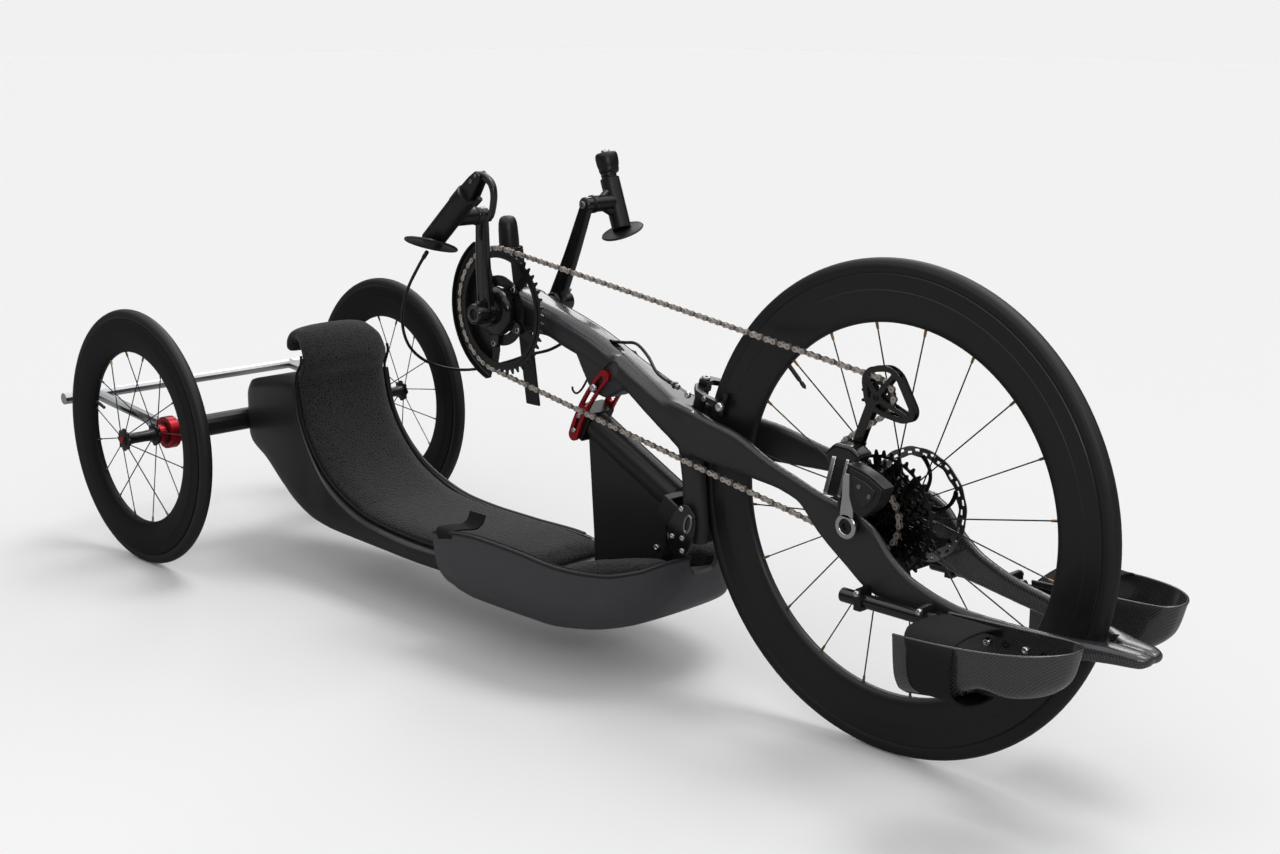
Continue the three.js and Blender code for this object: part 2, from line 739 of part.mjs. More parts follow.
// The lug under the beam holds the height bolt, which slides in the slots of the height plates.
const slotRestAngle = 41.1;
const lugHalfWidth = 24;
const lugDepth = 50;
const heightBoltRadius = 4;
const heightBoltHead = 7;
const onPlate = (angle, radius = heightSlotRadius) => [
  tiltPivot.x - radius * Math.cos(rad(angle)),
  tiltPivot.z + radius * Math.sin(rad(angle)),
];
const lugShares = [[-0.28, -0.22], [0.35, -0.3], [1.3, 0.2], [0.7, 1.1], [-1, 0.9], [-0.7, 0.4]];

function frameLug() {
  const [x, z] = onPlate(slotRestAngle);
  return sidePlate(lugShares.map(([a, b]) => [x + a * lugDepth, z + b * lugDepth]), -lugHalfWidth, lugHalfWidth);
}

const bottomBracketRadius = 21.5;
const pivotPinRadius = 8;
const pinFacets = 16;
const wheelSpaceFacets = 36;
const caliperBossRadius = 9;
const caliperBoltRadius = 3;
const caliperHeadRadius = 6.3;
const boltSides = 8;

// The brake cable runs through the beam in two straight channels that meet inside it.
const channelBends = [9, 12, 16];

function cableChannels() {
  return channelBends.slice(1).map((to, i) => {
    const from = channelBends[i];
    const start = new THREE.Vector3(...cableRoute[from]);
    const end = new THREE.Vector3(...cableRoute[to]);
    const past = end.clone().sub(start).setLength(cableChannelRadius);
    return rod(start.toArray(), end.add(past).toArray(), cableChannelRadius, cableSides);
  });
}

function frontFrame() {
  const hub = frontHub;
  const wheelHalf = frontTyreSection / 2 + wheelSideClearance;
  const wheelSpace = rod([hub.x, -wheelHalf, hub.z], [hub.x, wheelHalf, hub.z],
    frontWheelRadius + wheelClearance, wheelSpaceFacets);
  const shellHalf = boomHalfWidth + cutOverrun;
  const [boltX, boltZ] = onPlate(slotRestAngle);
  const across = (x, z, radius, half, sides) => rod([x, -half, z], [x, half, z], radius, sides);
  const body = join(boom(), forkArm(1), forkArm(-1), frameLeg(), frameLug(), caliperBoss(), caliperBolt());
  return cut(body, wheelSpace,
    across(crank.x, crank.z, bottomBracketRadius + seatGap, shellHalf, smallFacets),
    across(hub.x, hub.z, axleRadius + seatGap, armHalfSpan + cutOverrun, boreSides),
    across(tiltPivot.x, tiltPivot.z, pivotPinRadius + runningGap, legHalfWidth + cutOverrun, pinFacets),
    across(boltX, boltZ, heightBoltRadius + seatGap, lugHalfWidth + cutOverrun, boreSides),
    ...cableChannels(),
    plateRelief(1), plateRelief(-1));
}

// Rim brake: two curved arms on one bolt behind the wheel, over the fork crotch
const caliperAngle = 163;
const caliperSetback = 26;
const caliperPivotRadius = frontWheelRadius + caliperSetback;
const caliperArmThickness = 8;
const caliperBossLength = 30;
const caliperBossTop = 6;
const caliperHeadBase = caliperBossTop + 2 * (caliperArmThickness + seatGap);
const caliperStack = caliperHeadBase + caliperBossTop / 2;
const padInset = 9.33;
const padRadius = frontWheel.seatRadius - padInset;
const padLength = 34;
const padThickness = 4;
const padGap = 2.2;
const padHeight = 8;

// Caliper frame: outward from the wheel, round the wheel, and across the bike.
const caliperOut = { x: Math.cos(rad(caliperAngle)), z: Math.sin(rad(caliperAngle)) };
const caliperUp = { x: caliperOut.z, z: -caliperOut.x };
const caliperPlace = (radius, up, y) => [
  frontHub.x + caliperOut.x * radius + caliperUp.x * up, y,
  frontHub.z + caliperOut.z * radius + caliperUp.z * up,
];
const caliperAt = (up) => caliperPlace(caliperPivotRadius, up, 0);

function caliperBoss() {
  return rod(caliperAt(-caliperBossLength), caliperAt(caliperBossTop - seatGap), caliperBossRadius, boreSides);
}

// The arms turn on a bolt that stands in the boss and has its head over them.
function caliperBolt() {
  const head = rod(caliperAt(caliperHeadBase), caliperAt(caliperStack), caliperHeadRadius, boltSides);
  return join(rod(caliperAt(0), caliperAt(caliperStack - joinOverlap), caliperBoltRadius, boltSides), head);
}

// An arm in the plane across the wheel: [y, radius] drawn as shares of its reach.
const caliperReach = caliperPivotRadius - padRadius;
const caliperSpread = 31;
const caliperWidth = 9;
const caliperArmShares = [
  [0, 0.17], [0.45, 0.12], [0.92, -0.16], [1, -0.5], [0.86, -0.86], [0.8, -1.02],
  [0.55, -1.02], [0.58, -0.8], [0.7, -0.48], [0.58, -0.25], [0.3, -0.13], [-0.2, -0.15], [-0.28, 0.1],
];

function caliperArm(side, level) {
  const low = caliperBossTop + level * (caliperArmThickness + seatGap);
  const outline = caliperArmShares.map(([y, r]) => [side * y * caliperSpread, r * caliperReach]);
  const plate = new THREE.ExtrudeGeometry(polygon(outline), { depth: caliperArmThickness, bevelEnabled: false });
  const toWheel = new THREE.Matrix4().makeBasis(
    new THREE.Vector3(0, 1, 0),
    new THREE.Vector3(caliperOut.x, 0, caliperOut.z),
    new THREE.Vector3(caliperUp.x, 0, caliperUp.z),
  );
  plate.applyMatrix4(toWheel);
  plate.translate(...caliperAt(low));
  const inner = rimHalfWidth + padGap;
  const padMiddle = low + caliperArmThickness / 2;
  const pad = new THREE.BoxGeometry(padThickness, padHeight, padLength);
  pad.applyMatrix4(toWheel);
  pad.translate(...caliperPlace(padRadius, padMiddle, side * (inner + padThickness / 2)));
  const hole = rod(caliperAt(low - cutOverrun), caliperAt(low + caliperArmThickness + cutOverrun),
    caliperBoltRadius + runningGap, boltSides);
  return cut(join(orientedSolid(plate), solid(pad)), hole);
}

// An extrusion through a left-handed basis has its faces turned round.
function orientedSolid(geometry) {
  const flat = geometry.index ? geometry.toNonIndexed() : geometry;
  const p = flat.attributes.position;
  const points = [];
  for (let i = 0; i < p.count; i += 1) {
    points.push(new THREE.Vector3().fromBufferAttribute(p, i));
  }
  const faces = points.map((_, i) => i);
  const ordered = skinSense(points, faces) < 0 ? faces.reverse() : faces;
  const bare = new THREE.BufferGeometry();
  bare.setAttribute('position', new THREE.Float32BufferAttribute(points.flatMap((v) => v.toArray()), 3));
  bare.setIndex(ordered);
  return solid(bare);
}

// The brake cable: from the right grip down past the crank, through the beam and out to the caliper.
const gripOffset = 170;
const cableRadius = 2.4;
const cableSides = 6;
const cableChannelRadius = 9;
// Ahead of the crank as a share of the beam's length, out to the right as a share of the grip's
// offset, and up from the crank as a share of the beam's depth.
const cableRouteShares = [
  [-0.0519, 1, 1.4429], [-0.1143, 0.9941, 1.0714], [-0.1974, 0.9765, 0.5], [-0.2649, 0.9235, -0.1714],
  [-0.2961, 0.8118, -0.7857], [-0.2961, 0.6353, -1.2143], [-0.2753, 0.3882, -1.4857], [-0.2338, 0.1294, -1.5571],
  [-0.0883, 0.0235, -1.3143], [0.0468, 0.0118, -1.0429], [0.1662, 0, -0.8429], [0.2753, 0, -0.5571],
  [0.3922, 0, -0.3571], [0.5091, 0, -0.3857], [0.5922, 0, -0.3571], [0.6701, 0.0118, -0.3286],
  [0.7481, 0.0471, -0.5286], [0.8078, 0.0941, -0.7571], [0.8597, 0.1176, -0.8714], [0.9117, 0.1294, -0.9286],
];
const cableRoute = cableRouteShares.map(([ahead, out, up]) => [
  crank.x + ahead * boomLength, -out * gripOffset, crank.z + up * boomDepth,
]);
const cableSteps = 36;

function brakeCable() {
  return tubeAlong(cableRoute, cableRadius, cableSides, cableSteps);
}

// Steering head: a shaft through the rear frame's head tube, a crown that straddles the leg,
// and a block that carries the slotted height plates.
const headTubeStart = 54;
const headTubeEnd = 246;
const headTubeRadius = 22;
const steererRadius = 10;
const crownStart = 42;
const cheekThickness = 5;
const cheekRadius = 19;
const cheekCorner = cheekRadius * Math.SQRT1_2;
const blockLength = 28;
const blockAbove = 24;
const blockBelow = 28;
const elastomerLength = 19;
const tongueThickness = 6;
const tongueDrop = 50;
const tongueHalfWidth = 15;

function steeringShaft() {
  const crownEnd = headTubeStart - seatGap;
  const blockStart = headTubeEnd + seatGap;
  const shaft = rod(steeringPoint(crownStart), steeringPoint(blockStart + blockLength), steererRadius, pinFacets);
  const cheekInner = legHalfWidth * legSwellShare + runningGap * 2;
  const cheekOuter = cheekInner + cheekThickness;
  const slab = (t0, t1, n0, n1, half) => sidePlate(
    [onSteering(t0, n0), onSteering(t1, n0), onSteering(t1, n1), onSteering(t0, n1)], -half, half);
  const crown = slab(crownStart, crownEnd, -cheekRadius, cheekRadius, cheekOuter);
  const block = slab(blockStart, blockStart + blockLength, -blockBelow, blockAbove, lugHalfWidth);
  const cheekOutline = [
    onSteering(crownEnd, -cheekRadius), onSteering(crownEnd, cheekRadius), onSteering(0, cheekRadius),
    onSteering(-cheekCorner, cheekCorner), onSteering(-cheekRadius, 0),
    onSteering(-cheekCorner, -cheekCorner), onSteering(0, -cheekRadius),
  ];
  const cheeks = [1, -1].map((side) => sidePlate(cheekOutline,
    Math.min(side * cheekInner, side * cheekOuter), Math.max(side * cheekInner, side * cheekOuter)));
  const pin = rod([tiltPivot.x, -cheekOuter, tiltPivot.z], [tiltPivot.x, cheekOuter, tiltPivot.z],
    pivotPinRadius, pinFacets);
  const [tongueX, tongueZ] = onSteering(crownStart, 0);
  const tongue = box(tongueX - tongueThickness, tongueX, -tongueHalfWidth, tongueHalfWidth,
    tongueZ - tongueDrop - cheekRadius / 2, tongueZ);
  return join(shaft, crown, block, ...cheeks, pin, tongue);
}

const plateThickness = 6;
const plateHalfWidth = 11.5;
const plateLowAngle = 20;
const plateHighAngle = 48;
const slotLowAngle = 33;
const slotHighAngle = 46;
const tiltSpare = 8;

const bandSteps = 7;
const bandCapSteps = 3;

// A curved band round the tilt pivot, with a rounded end at each angle.
function arcBand(lowAngle, highAngle, halfWidth) {
  const edge = (offset) => Array.from({ length: bandSteps + 1 }, (_, i) =>
    onPlate(lowAngle + (highAngle - lowAngle) * i / bandSteps, heightSlotRadius + offset));
  const cap = (angle, sense) => Array.from({ length: bandCapSteps - 1 }, (_, i) => {
    const a = Math.PI * (i + 1) / bandCapSteps;
    const past = THREE.MathUtils.radToDeg(halfWidth * Math.sin(a) / heightSlotRadius);
    return onPlate(angle + sense * past, heightSlotRadius + sense * halfWidth * Math.cos(a));
  });
  return [...edge(halfWidth), ...cap(highAngle, 1), ...edge(-halfWidth).reverse(), ...cap(lowAngle, -1)];
}

function heightPlate(side) {
  const inner = side * (lugHalfWidth + seatGap);
  const outer = side * (lugHalfWidth + seatGap + plateThickness);
  const slot = arcBand(slotLowAngle, slotHighAngle, heightBoltRadius + runningGap * 2);
  const band = arcBand(plateLowAngle, plateHighAngle, plateHalfWidth);
  return sidePlate(band, Math.min(inner, outer), Math.max(inner, outer), [slot]);
}

// The beam is relieved beside the lug, all along the arc that the plates sweep as it tilts.
function plateRelief(side) {
  const band = arcBand(plateLowAngle - tiltSpare, plateHighAngle + tiltSpare, plateHalfWidth + 2 * runningGap);
  const inner = side * lugHalfWidth;
  const outer = side * (lugHalfWidth + plateThickness + cutOverrun);
  return sidePlate(band, Math.min(inner, outer), Math.max(inner, outer));
}

function heightBolt() {
  const [x, z] = onPlate(slotRestAngle);
  const face = lugHalfWidth + plateThickness + 3 * seatGap;
  const headEnd = face + heightBoltRadius;
  const head = (side) => rod([x, side * face, z], [x, side * headEnd, z], heightBoltHead, boltSides);
  return join(rod([x, -headEnd, z], [x, headEnd, z], heightBoltRadius, boltSides), head(1), head(-1));
}

// Rear frame: seat tub, nose pod, tower and axle
const tubHalfWidth = 105;
const tubFloor = 78;
const tubAxleShare = 0.5616;
const tubHeight = (rearWheelRadius - tubFloor) / tubAxleShare;
const tubBilge = 34;
const tubOverhang = 20;
const podRear = 735;
const podLength = 397;
const tubInPodShare = 0.781;
const tubRear = wheelbase + tubOverhang;
const tubLength = tubRear - podRear + podLength * tubInPodShare;
// Along from the rear end, floor and rim above the tub's floor, and half width.
const tubShares = [
  [0, 0.48, 0.7, 0.32], [0.018, 0.42, 0.8, 0.45], [0.062, 0.36, 0.87, 0.72], [0.112, 0.3, 0.92, 0.82],
  [0.178, 0.165, 0.975, 0.92], [0.228, 0.07, 1, 0.98], [0.282, 0.012, 1, 1.03], [0.334, 0, 1, 1.09],
  [0.41, 0, 1, 1.15], [0.487, 0, 1, 1.2], [0.583, 0, 1, 1.25], [0.68, 0.004, 1, 1.25],
  [0.832, 0.02, 1, 0.98], [0.948, 0.05, 1, 0.6], [1, 0.09, 1, 0.4],
];
const tubLipShares = [
  [0.22, 1.02], [0.233, 0.97], [0.248, 0.72], [0.282, 0.515], [0.334, 0.345], [0.41, 0.225],
  [0.487, 0.18], [0.583, 0.165], [0.7, 0.17], [0.8, 0.145], [0.86, 0.13], [1.01, 0.13],
];
// Out from the middle as a share of the half width, and up or down as a share of the bilge.
const tubKeelShares = [[0.62, 0], [0.93, 0.5], [1, 1]];
const tubShoulderShares = [[1, 0.5], [0.86, 0]];
const tubBilgeShare = 0.45;
const tubDeckShare = 0.2;
const tubTroughStart = 4;
const seatWall = 10;
const seatSetback = 17;

function tubStation([along, floor, top, width]) {
  const x = -tubRear + along * tubLength;
  const half = width * tubHalfWidth;
  const low = tubFloor + floor * tubHeight;
  const high = tubFloor + top * tubHeight;
  const bilge = Math.min(tubBilge, (high - low) * tubBilgeShare);
  return fullRing(x, [
    ...tubKeelShares.map(([out, up]) => [out * half, low + up * bilge]),
    ...tubShoulderShares.map(([out, down]) => [out * half, high - down * bilge]),
  ]);
}

// Half a section, from keel to rim, completed on the other side.
function fullRing(x, half) {
  const other = half.map(([y, z]) => [-y, z]).reverse();
  return [...half, ...other].map(([y, z]) => new THREE.Vector3(x, y, z));
}

const tubPlace = ([along, up]) => [-tubRear + along * tubLength, tubFloor + up * tubHeight];

// The seat's surface in the side view: the lip line carried back and down by the setback.
function seatLine(drop) {
  return tubLipShares.map((share, i) => {
    const [x, z] = tubPlace(share);
    const [px, pz] = tubPlace(tubLipShares[Math.max(i - 1, 0)]);
    const [nx, nz] = tubPlace(tubLipShares[Math.min(i + 1, tubLipShares.length - 1)]);
    const length = Math.hypot(nx - px, nz - pz);
    return [x + drop * (nz - pz) / length, z - drop * (nx - px) / length];
  });
}

function seatTub() {
  const hull = loft(tubShares.map(tubStation));
  const sky = 2 * tubHeight;
  const open = [[0, sky], [-tubRear + tubDeckShare * tubLength, sky]];
  const above = sidePlate([...tubLipShares.map(tubPlace), ...open], -podHalfWidth, podHalfWidth);
  const trough = sidePlate([...seatLine(seatSetback), ...open], -podHalfWidth, podHalfWidth);
  const edge = (side) => tubShares.slice(tubTroughStart).map(([along, , , width]) =>
    [-tubRear + along * tubLength, side * (width * tubHalfWidth - seatWall)]);
  const plan = planBlock([...edge(1), ...edge(-1).reverse()], 0, sky);
  const beamHole = rod([rearAxle.x, -tubHalfWidth, rearAxle.z], [rearAxle.x, tubHalfWidth, rearAxle.z],
    beamRadius + seatGap, pinFacets);
  return cut(hull, above, trough.intersect(plan), beamHole);
}

const podHalfWidth = 190;
const podHeight = 130;
const podFloor = 72;
const podWall = 4;
// Along from the rear edge, floor and rim above the pod's floor, and half width.
const podShares = [
  [0, 0.03, 0.885, 0.975], [0.113, 0, 0.954, 1], [0.277, 0, 1, 1.01], [0.5, 0, 0.977, 1],
  [0.683, 0.06, 0.9, 0.937], [0.844, 0.185, 0.87, 0.78], [0.932, 0.35, 0.915, 0.57], [0.982, 0.6, 0.99, 0.33],
  [1, 0.78, 1, 0.16],
];

const podSectionShares = [[0.55, 0], [0.8, 0.17], [0.95, 0.45], [1, 0.8]];

function podStation([along, floor, top, width], inset, rise) {
  const x = -podRear + along * podLength;
  const half = width * podHalfWidth - inset;
  const low = podFloor + floor * podHeight + inset;
  const rim = podFloor + top * podHeight;
  const section = podSectionShares.map(([out, up]) => [out * half, low + up * (rim - low)]);
  return fullRing(x, [...section, [half, rim + rise]]);
}

function nosePod() {
  const outer = loft(podShares.map((share) => podStation(share, 0, 0)));
  const inside = podShares.slice(0, -1).map((share) => podStation(share, podWall, podHeight));
  inside[0].forEach((p) => {
    p.x -= cutOverrun;
  });
  return cut(outer, loft(inside));
}

// The tower rises from the tub's keel between the rider's legs and carries the head tube.
const finThickness = 26;
const finRearLean = 4;
const finRearSetback = 8;
const finCorner = 8;
const finTubeOverlap = 4.4;
const finFrontLength = 142;
const finFoot = 96;
const bracketHeight = 34;
const elastomerRadius = 11;

function steeringTower() {
  const tube = rod(steeringPoint(headTubeStart), steeringPoint(headTubeEnd), headTubeRadius, pinFacets);
  const bore = rod(steeringPoint(headTubeStart - cutOverrun), steeringPoint(headTubeEnd + cutOverrun),
    steererRadius + runningGap, pinFacets);
  const rearX = steeringPoint(headTubeEnd)[0] + finRearSetback;
  const frontX = rearX + finFrontLength;
  const bracketX = tongueBack() - elastomerLength - 2 * seatGap;
  const bracketZ = elastomerHeight();
  const under = -headTubeRadius + finTubeOverlap;
  const fin = sidePlate([
    [rearX, finFoot], [frontX - finCorner, finFoot], [frontX, finFoot + 2 * finCorner],
    [frontX, bracketZ - bracketHeight], [bracketX, bracketZ - bracketHeight / 2],
    [bracketX, bracketZ + bracketHeight / 2], onSteering(headTubeStart + finRearLean, under),
    onSteering(headTubeEnd, under), [rearX - finRearLean, 2 * finFoot],
  ], -finThickness / 2, finThickness / 2);
  return cut(join(tube, fin), bore);
}

const tongueBack = () => onSteering(crownStart, 0)[0] - tongueThickness;
const elastomerHeight = () => onSteering(crownStart, 0)[1] - tongueDrop;

function centeringElastomer() {
  const x = tongueBack() - seatGap;
  const z = elastomerHeight();
  return rod([x, 0, z], [x - elastomerLength, 0, z], elastomerRadius, pinFacets);
}

const beamRadius = 20;
const receiverLength = 14;
const receiverRadius = 17;
const stubPast = 2;
const beamEnd = track / 2 - rearHubHalf - receiverLength - 2 * seatGap;

function axleBeam() {
  return rod([rearAxle.x, -beamEnd, rearAxle.z], [rearAxle.x, beamEnd, rearAxle.z], beamRadius, pinFacets);
}

function axleReceiver(side) {
  const from = side * (beamEnd + seatGap);
  const to = side * (beamEnd + seatGap + receiverLength);
  const end = side * (track / 2 + rearHubHalf + stubPast);
  const collar = rod([rearAxle.x, from, rearAxle.z], [rearAxle.x, to, rearAxle.z], receiverRadius, pinFacets);
  const stub = rod([rearAxle.x, from, rearAxle.z], [rearAxle.x, end, rearAxle.z], rearPinRadius, boreSides);
  return join(collar, stub);
}

const bumperOverhang = 254;
const bumperSetback = wheelbase + bumperOverhang;
const bumperHeight = 259;
const bumperRadius = 9;
const bumperCapRadius = 11;
const tubeSides = 10;
const bumperHalfWidth = track / 2;
const strutInset = 10.4;
const strutOffset = beamEnd - strutInset;
const strutRadius = 10;
const clampThickness = 9;
const clampWidth = 18;

// The bar behind the rear wheels is welded to two struts that run forward to the axle beam.
function bumperFrame() {
  const at = (y) => [-bumperSetback, y, bumperHeight];
  const bar = rod(at(-bumperHalfWidth), at(bumperHalfWidth), bumperRadius, tubeSides);
  const caps = [1, -1].map((side) => rod(at(side * (bumperHalfWidth - bumperRadius)),
    at(side * (bumperHalfWidth + bumperRadius)), bumperCapRadius, tubeSides));
  const struts = [1, -1].map((side) => rod(at(side * strutOffset),
    [rearAxle.x - beamRadius, side * strutOffset, rearAxle.z + clampThickness], strutRadius, tubeSides));
  const seats = [1, -1].map((side) => rod(
    [rearAxle.x, side * strutOffset - strutRadius - cutOverrun, rearAxle.z],
    [rearAxle.x, side * strutOffset + strutRadius + cutOverrun, rearAxle.z],
    beamRadius + clampThickness + seatGap, pinFacets));
  return cut(join(bar, ...caps, ...struts), ...seats);
}

function bumperClamp(side) {
  const across = (half, radius) => rod([rearAxle.x, side * strutOffset - half, rearAxle.z],
    [rearAxle.x, side * strutOffset + half, rearAxle.z], radius, pinFacets);
  const ring = across(clampWidth / 2, beamRadius + clampThickness);
  return cut(ring, across(clampWidth / 2 + cutOverrun, beamRadius + seatGap));
}

// Seat cushion: a crowned pad that follows the tub and rolls over its top edge
const cushionHalfWidth = 77;
const cushionSpread = 18;
const cushionThickness = 22;
const cushionCrown = 5;
const cushionLift = 3.9;
const rollRadius = 24;
const cushionSeatPoints = 10;
const cushionStations = 20;
const cushionTopShares = [0.236, 1];
const rollShares = [[-2.1, 1.35], [-2, 2.3], [-1.1, 2.85], [0, 2.4], [0.6, 1.2]];
// Where the cushion widens, how thin it starts, how fast it fills out and how far its ends draw in.
const spreadShares = [0.35, 0.7];
const endThicknessShare = 0.45;
const endSlopeShare = 6;
const endWidthShare = 0.06;

function cushionLine() {
  const seat = seatLine(seatSetback - cushionThickness / 2 - cushionLift).slice(1, cushionSeatPoints);
  const [topX, topZ] = tubPlace(cushionTopShares);
  const roll = rollShares.map(([ahead, up]) => [topX + rollRadius * ahead, topZ + rollRadius * up]);
  const points = [...roll, ...seat].map(([x, z]) => new THREE.Vector3(x, 0, z));
  return new THREE.CatmullRomCurve3(points, false, 'centripetal');
}

// One ring of the cushion: half width across, thickness up, crowned above and drawn in at the sides.
const cushionRingShares = [
  [-1, 0], [-0.93, 0.62], [-0.55, 0.95], [0, 1], [0.55, 0.95], [0.93, 0.62],
  [1, 0], [0.94, -0.7], [0.5, -1], [-0.5, -1], [-0.94, -0.7],
];

function seatCushion() {
  const line = cushionLine();
  const rings = [];
  for (let i = 0; i <= cushionStations; i += 1) {
    const s = i / cushionStations;
    const at = line.getPointAt(s);
    const along = line.getTangentAt(s);
    const up = new THREE.Vector3(-along.z, 0, along.x);
    const taper = Math.min(1, endThicknessShare + endSlopeShare * Math.min(s, 1 - s));
    const spread = cushionHalfWidth + cushionSpread * THREE.MathUtils.smoothstep(s, ...spreadShares);
    const half = spread * (1 - endWidthShare * (1 - taper));
    rings.push(cushionRingShares.map(([w, h]) => {
      const crown = h > 0 ? cushionCrown * (1 - w * w) : 0;
      const lift = (h * cushionThickness / 2 + crown) * taper;
      return at.clone().addScaledVector(up, lift).add(new THREE.Vector3(0, w * half, 0));
    }));
  }
  return loft(rings);
}

const legPadLength = 198;
const legPadHalfWidth = 48;
const legPadThickness = 37.5;
const legPadOffset = 84;
const legPadHeight = 80.6;
const legPadRise = 50;
const legPadInset = 20.8;
const legPadSteps = 8;
const padEndShare = 0.2;
const padSideShare = 0.25;
const padNarrowShare = 0.35;

// Each leg pad is a wedge beside the tower that rises and narrows towards the nose.
function legPad(side) {
  const rings = [];
  const rear = -podRear + podLength - legPadLength - legPadInset;
  for (let i = 0; i <= legPadSteps; i += 1) {
    const s = i / legPadSteps;
    const taper = Math.sqrt(Math.max(padEndShare, 1 - (2 * s - 1) ** 4));
    const half = legPadHalfWidth * (1 - padSideShare * (1 - taper)) * (1 - padNarrowShare * s);
    const middle = legPadOffset - legPadInset * s * s;
    const top = podFloor + legPadHeight + legPadRise * s;
    rings.push(cushionRingShares.map(([w, h]) => new THREE.Vector3(
      rear + legPadLength * s,
      side * (middle + w * half),
      top + (h - 1) * taper * legPadThickness / 2,
    )));
  }
  return loft(rings);
}

const strapLength = 57;
const strapReach = 62;
const strapWeb = 3;
const strapTip = 11.4;

// The closing strap lies over the nose pod's rear rim on the right side.
function podStrap() {
  const rise = (share) => podFloor + share * podHeight + seatGap;
  const [[, , backTop], [, , frontTop]] = podShares;
  const start = -podRear + joinOverlap;
  const end = -podRear + strapLength;
  const outline = [
    [start, rise(backTop)], [end - strapTip, rise(frontTop)], [end, rise(frontTop) + strapWeb / 3],
    [end, rise(frontTop) + strapWeb], [start, rise(backTop) + strapWeb],
  ];
  return sidePlate(outline, -podHalfWidth, -podHalfWidth + strapReach);
}

// Cranks: a hollow spindle, two splayed arms and the pedal axles that the grips swivel on
const spindleRadius = 12;
const crankAngle = 77.4;
const crankRootOffset = 80;
const crankTipOffset = 108;
const crankThickness = 14;
const crankRootRadius = 17;
const crankTipRadius = 12;
const pedalAxleRadius = 7;
const bracketFlange = 3.2;
const crankBossPast = 3;
// Along the arm, half width and thickness as shares of the root's, and how far out to the tip's offset.
const crankShares = [[0, 0.8, 1, 0], [0.5, 0.74, 0.9, 0.55], [1, 0.6, 1, 1]];
const crankCornerShare = 0.6;
const crankTip = {
  x: crank.x + crankLength * Math.cos(rad(crankAngle)),
  z: crank.z + crankLength * Math.sin(rad(crankAngle)),
};

function bottomBracket() {
  const bore = spindleRadius + runningGap;
  const half = boomHalfWidth + guardThickness + 2 * seatGap;
  const flange = half + bracketFlange;
  const rim = bottomBracketRadius + bracketFlange;
  const profile = [
    [bore, flange], [rim, flange], [rim, half], [bottomBracketRadius, half],
    [bottomBracketRadius, -half], [rim, -half], [rim, -flange], [bore, -flange],
  ];
  return turned(profile, crank.x, crank.z, smallFacets);
}

function crankSpindle() {
  const end = crankRootOffset - seatGap;
  return rod([crank.x, -end, crank.z], [crank.x, end, crank.z], spindleRadius, smallFacets);
}

function crankArm(side) {
  const along = { x: Math.cos(rad(crankAngle)), z: Math.sin(rad(crankAngle)) };
  const root = crankRootOffset + crankThickness / 2;
  const c = crankCornerShare;
  const corners = [[-1, -c], [-c, -1], [c, -1], [1, -c], [1, c], [c, 1], [-c, 1], [-1, c]];
  const beam = loft(crankShares.map(([s, width, thickness, out]) => corners.map(([a, b]) => new THREE.Vector3(
    crank.x + along.x * crankLength * s - along.z * a * width * crankRootRadius,
    side * (root + (crankTipOffset - root) * out + b * thickness * crankThickness / 2),
    crank.z + along.z * crankLength * s + along.x * a * width * crankRootRadius,
  ))));
  const across = (place, from, to, radius) => rod([place.x, side * from, place.z], [place.x, side * to, place.z],
    radius, boreSides);
  const half = crankThickness / 2;
  return join(beam,
    across(crank, crankRootOffset, crankRootOffset + crankThickness + crankBossPast, crankRootRadius),
    across(crankTip, crankTipOffset - half, crankTipOffset + half, crankTipRadius),
    across(crankTip, crankTipOffset, gripOffset, pedalAxleRadius));
}

// The measuring spider joins the chainring to the right arm.
const spiderRadius = 36;
const spiderDepth = 14;
const spiderFlange = 5;
const spiderEdge = 4;
const spiderNeck = 9;

function powerSpider() {
  const ringFace = -chainLine - toothThickness / 2 - seatGap;
  const outer = ringFace - spiderDepth;
  const bore = spindleRadius + seatGap;
  const rim = spiderBoltCircle - spiderEdge;
  return turned([
    [bore, ringFace], [rim, ringFace], [rim, ringFace - spiderFlange],
    [spiderRadius, ringFace - spiderFlange - joinOverlap], [spiderRadius, outer + spiderEdge],
    [spiderRadius - spiderEdge, outer], [bore + spiderNeck, outer],
    [bore + spiderNeck, seatGap - crankRootOffset], [bore, seatGap - crankRootOffset],
  ], crank.x, crank.z, smallFacets);
}

// The guard is a plate behind the chainring's rear half, with a lip round the chain.
const guardThickness = 2;
const guardRadius = 119;
const guardLip = 11;
const guardFrom = 122;
const guardTo = 252;
const guardHub = 12.6;
const guardFacets = 30;
const guardWedgeSteps = 4;

function chainGuard() {
  const face = -boomHalfWidth - seatGap;
  const bore = bottomBracketRadius + seatGap;
  const ring = (inner, outer, far) => turned([[inner, face], [outer, face], [outer, far], [inner, far]],
    crank.x, crank.z, guardFacets);
  const disc = ring(bore, guardRadius, face - guardThickness);
  const lip = ring(guardRadius - guardThickness, guardRadius, face - guardLip);
  const hub = ring(bore, bore + guardHub, face - guardThickness);
  const reach = 2 * guardRadius;
  const wedge = Array.from({ length: guardWedgeSteps + 1 }, (_, i) => {
    const a = rad(guardFrom + (guardTo - guardFrom) * i / guardWedgeSteps);
    return [crank.x + reach * Math.cos(a), crank.z + reach * Math.sin(a)];
  });
  const sector = sidePlate([[crank.x, crank.z], ...wedge], face - guardLip - cutOverrun, face + cutOverrun);
  return join(join(disc, lip).intersect(sector), hub);
}

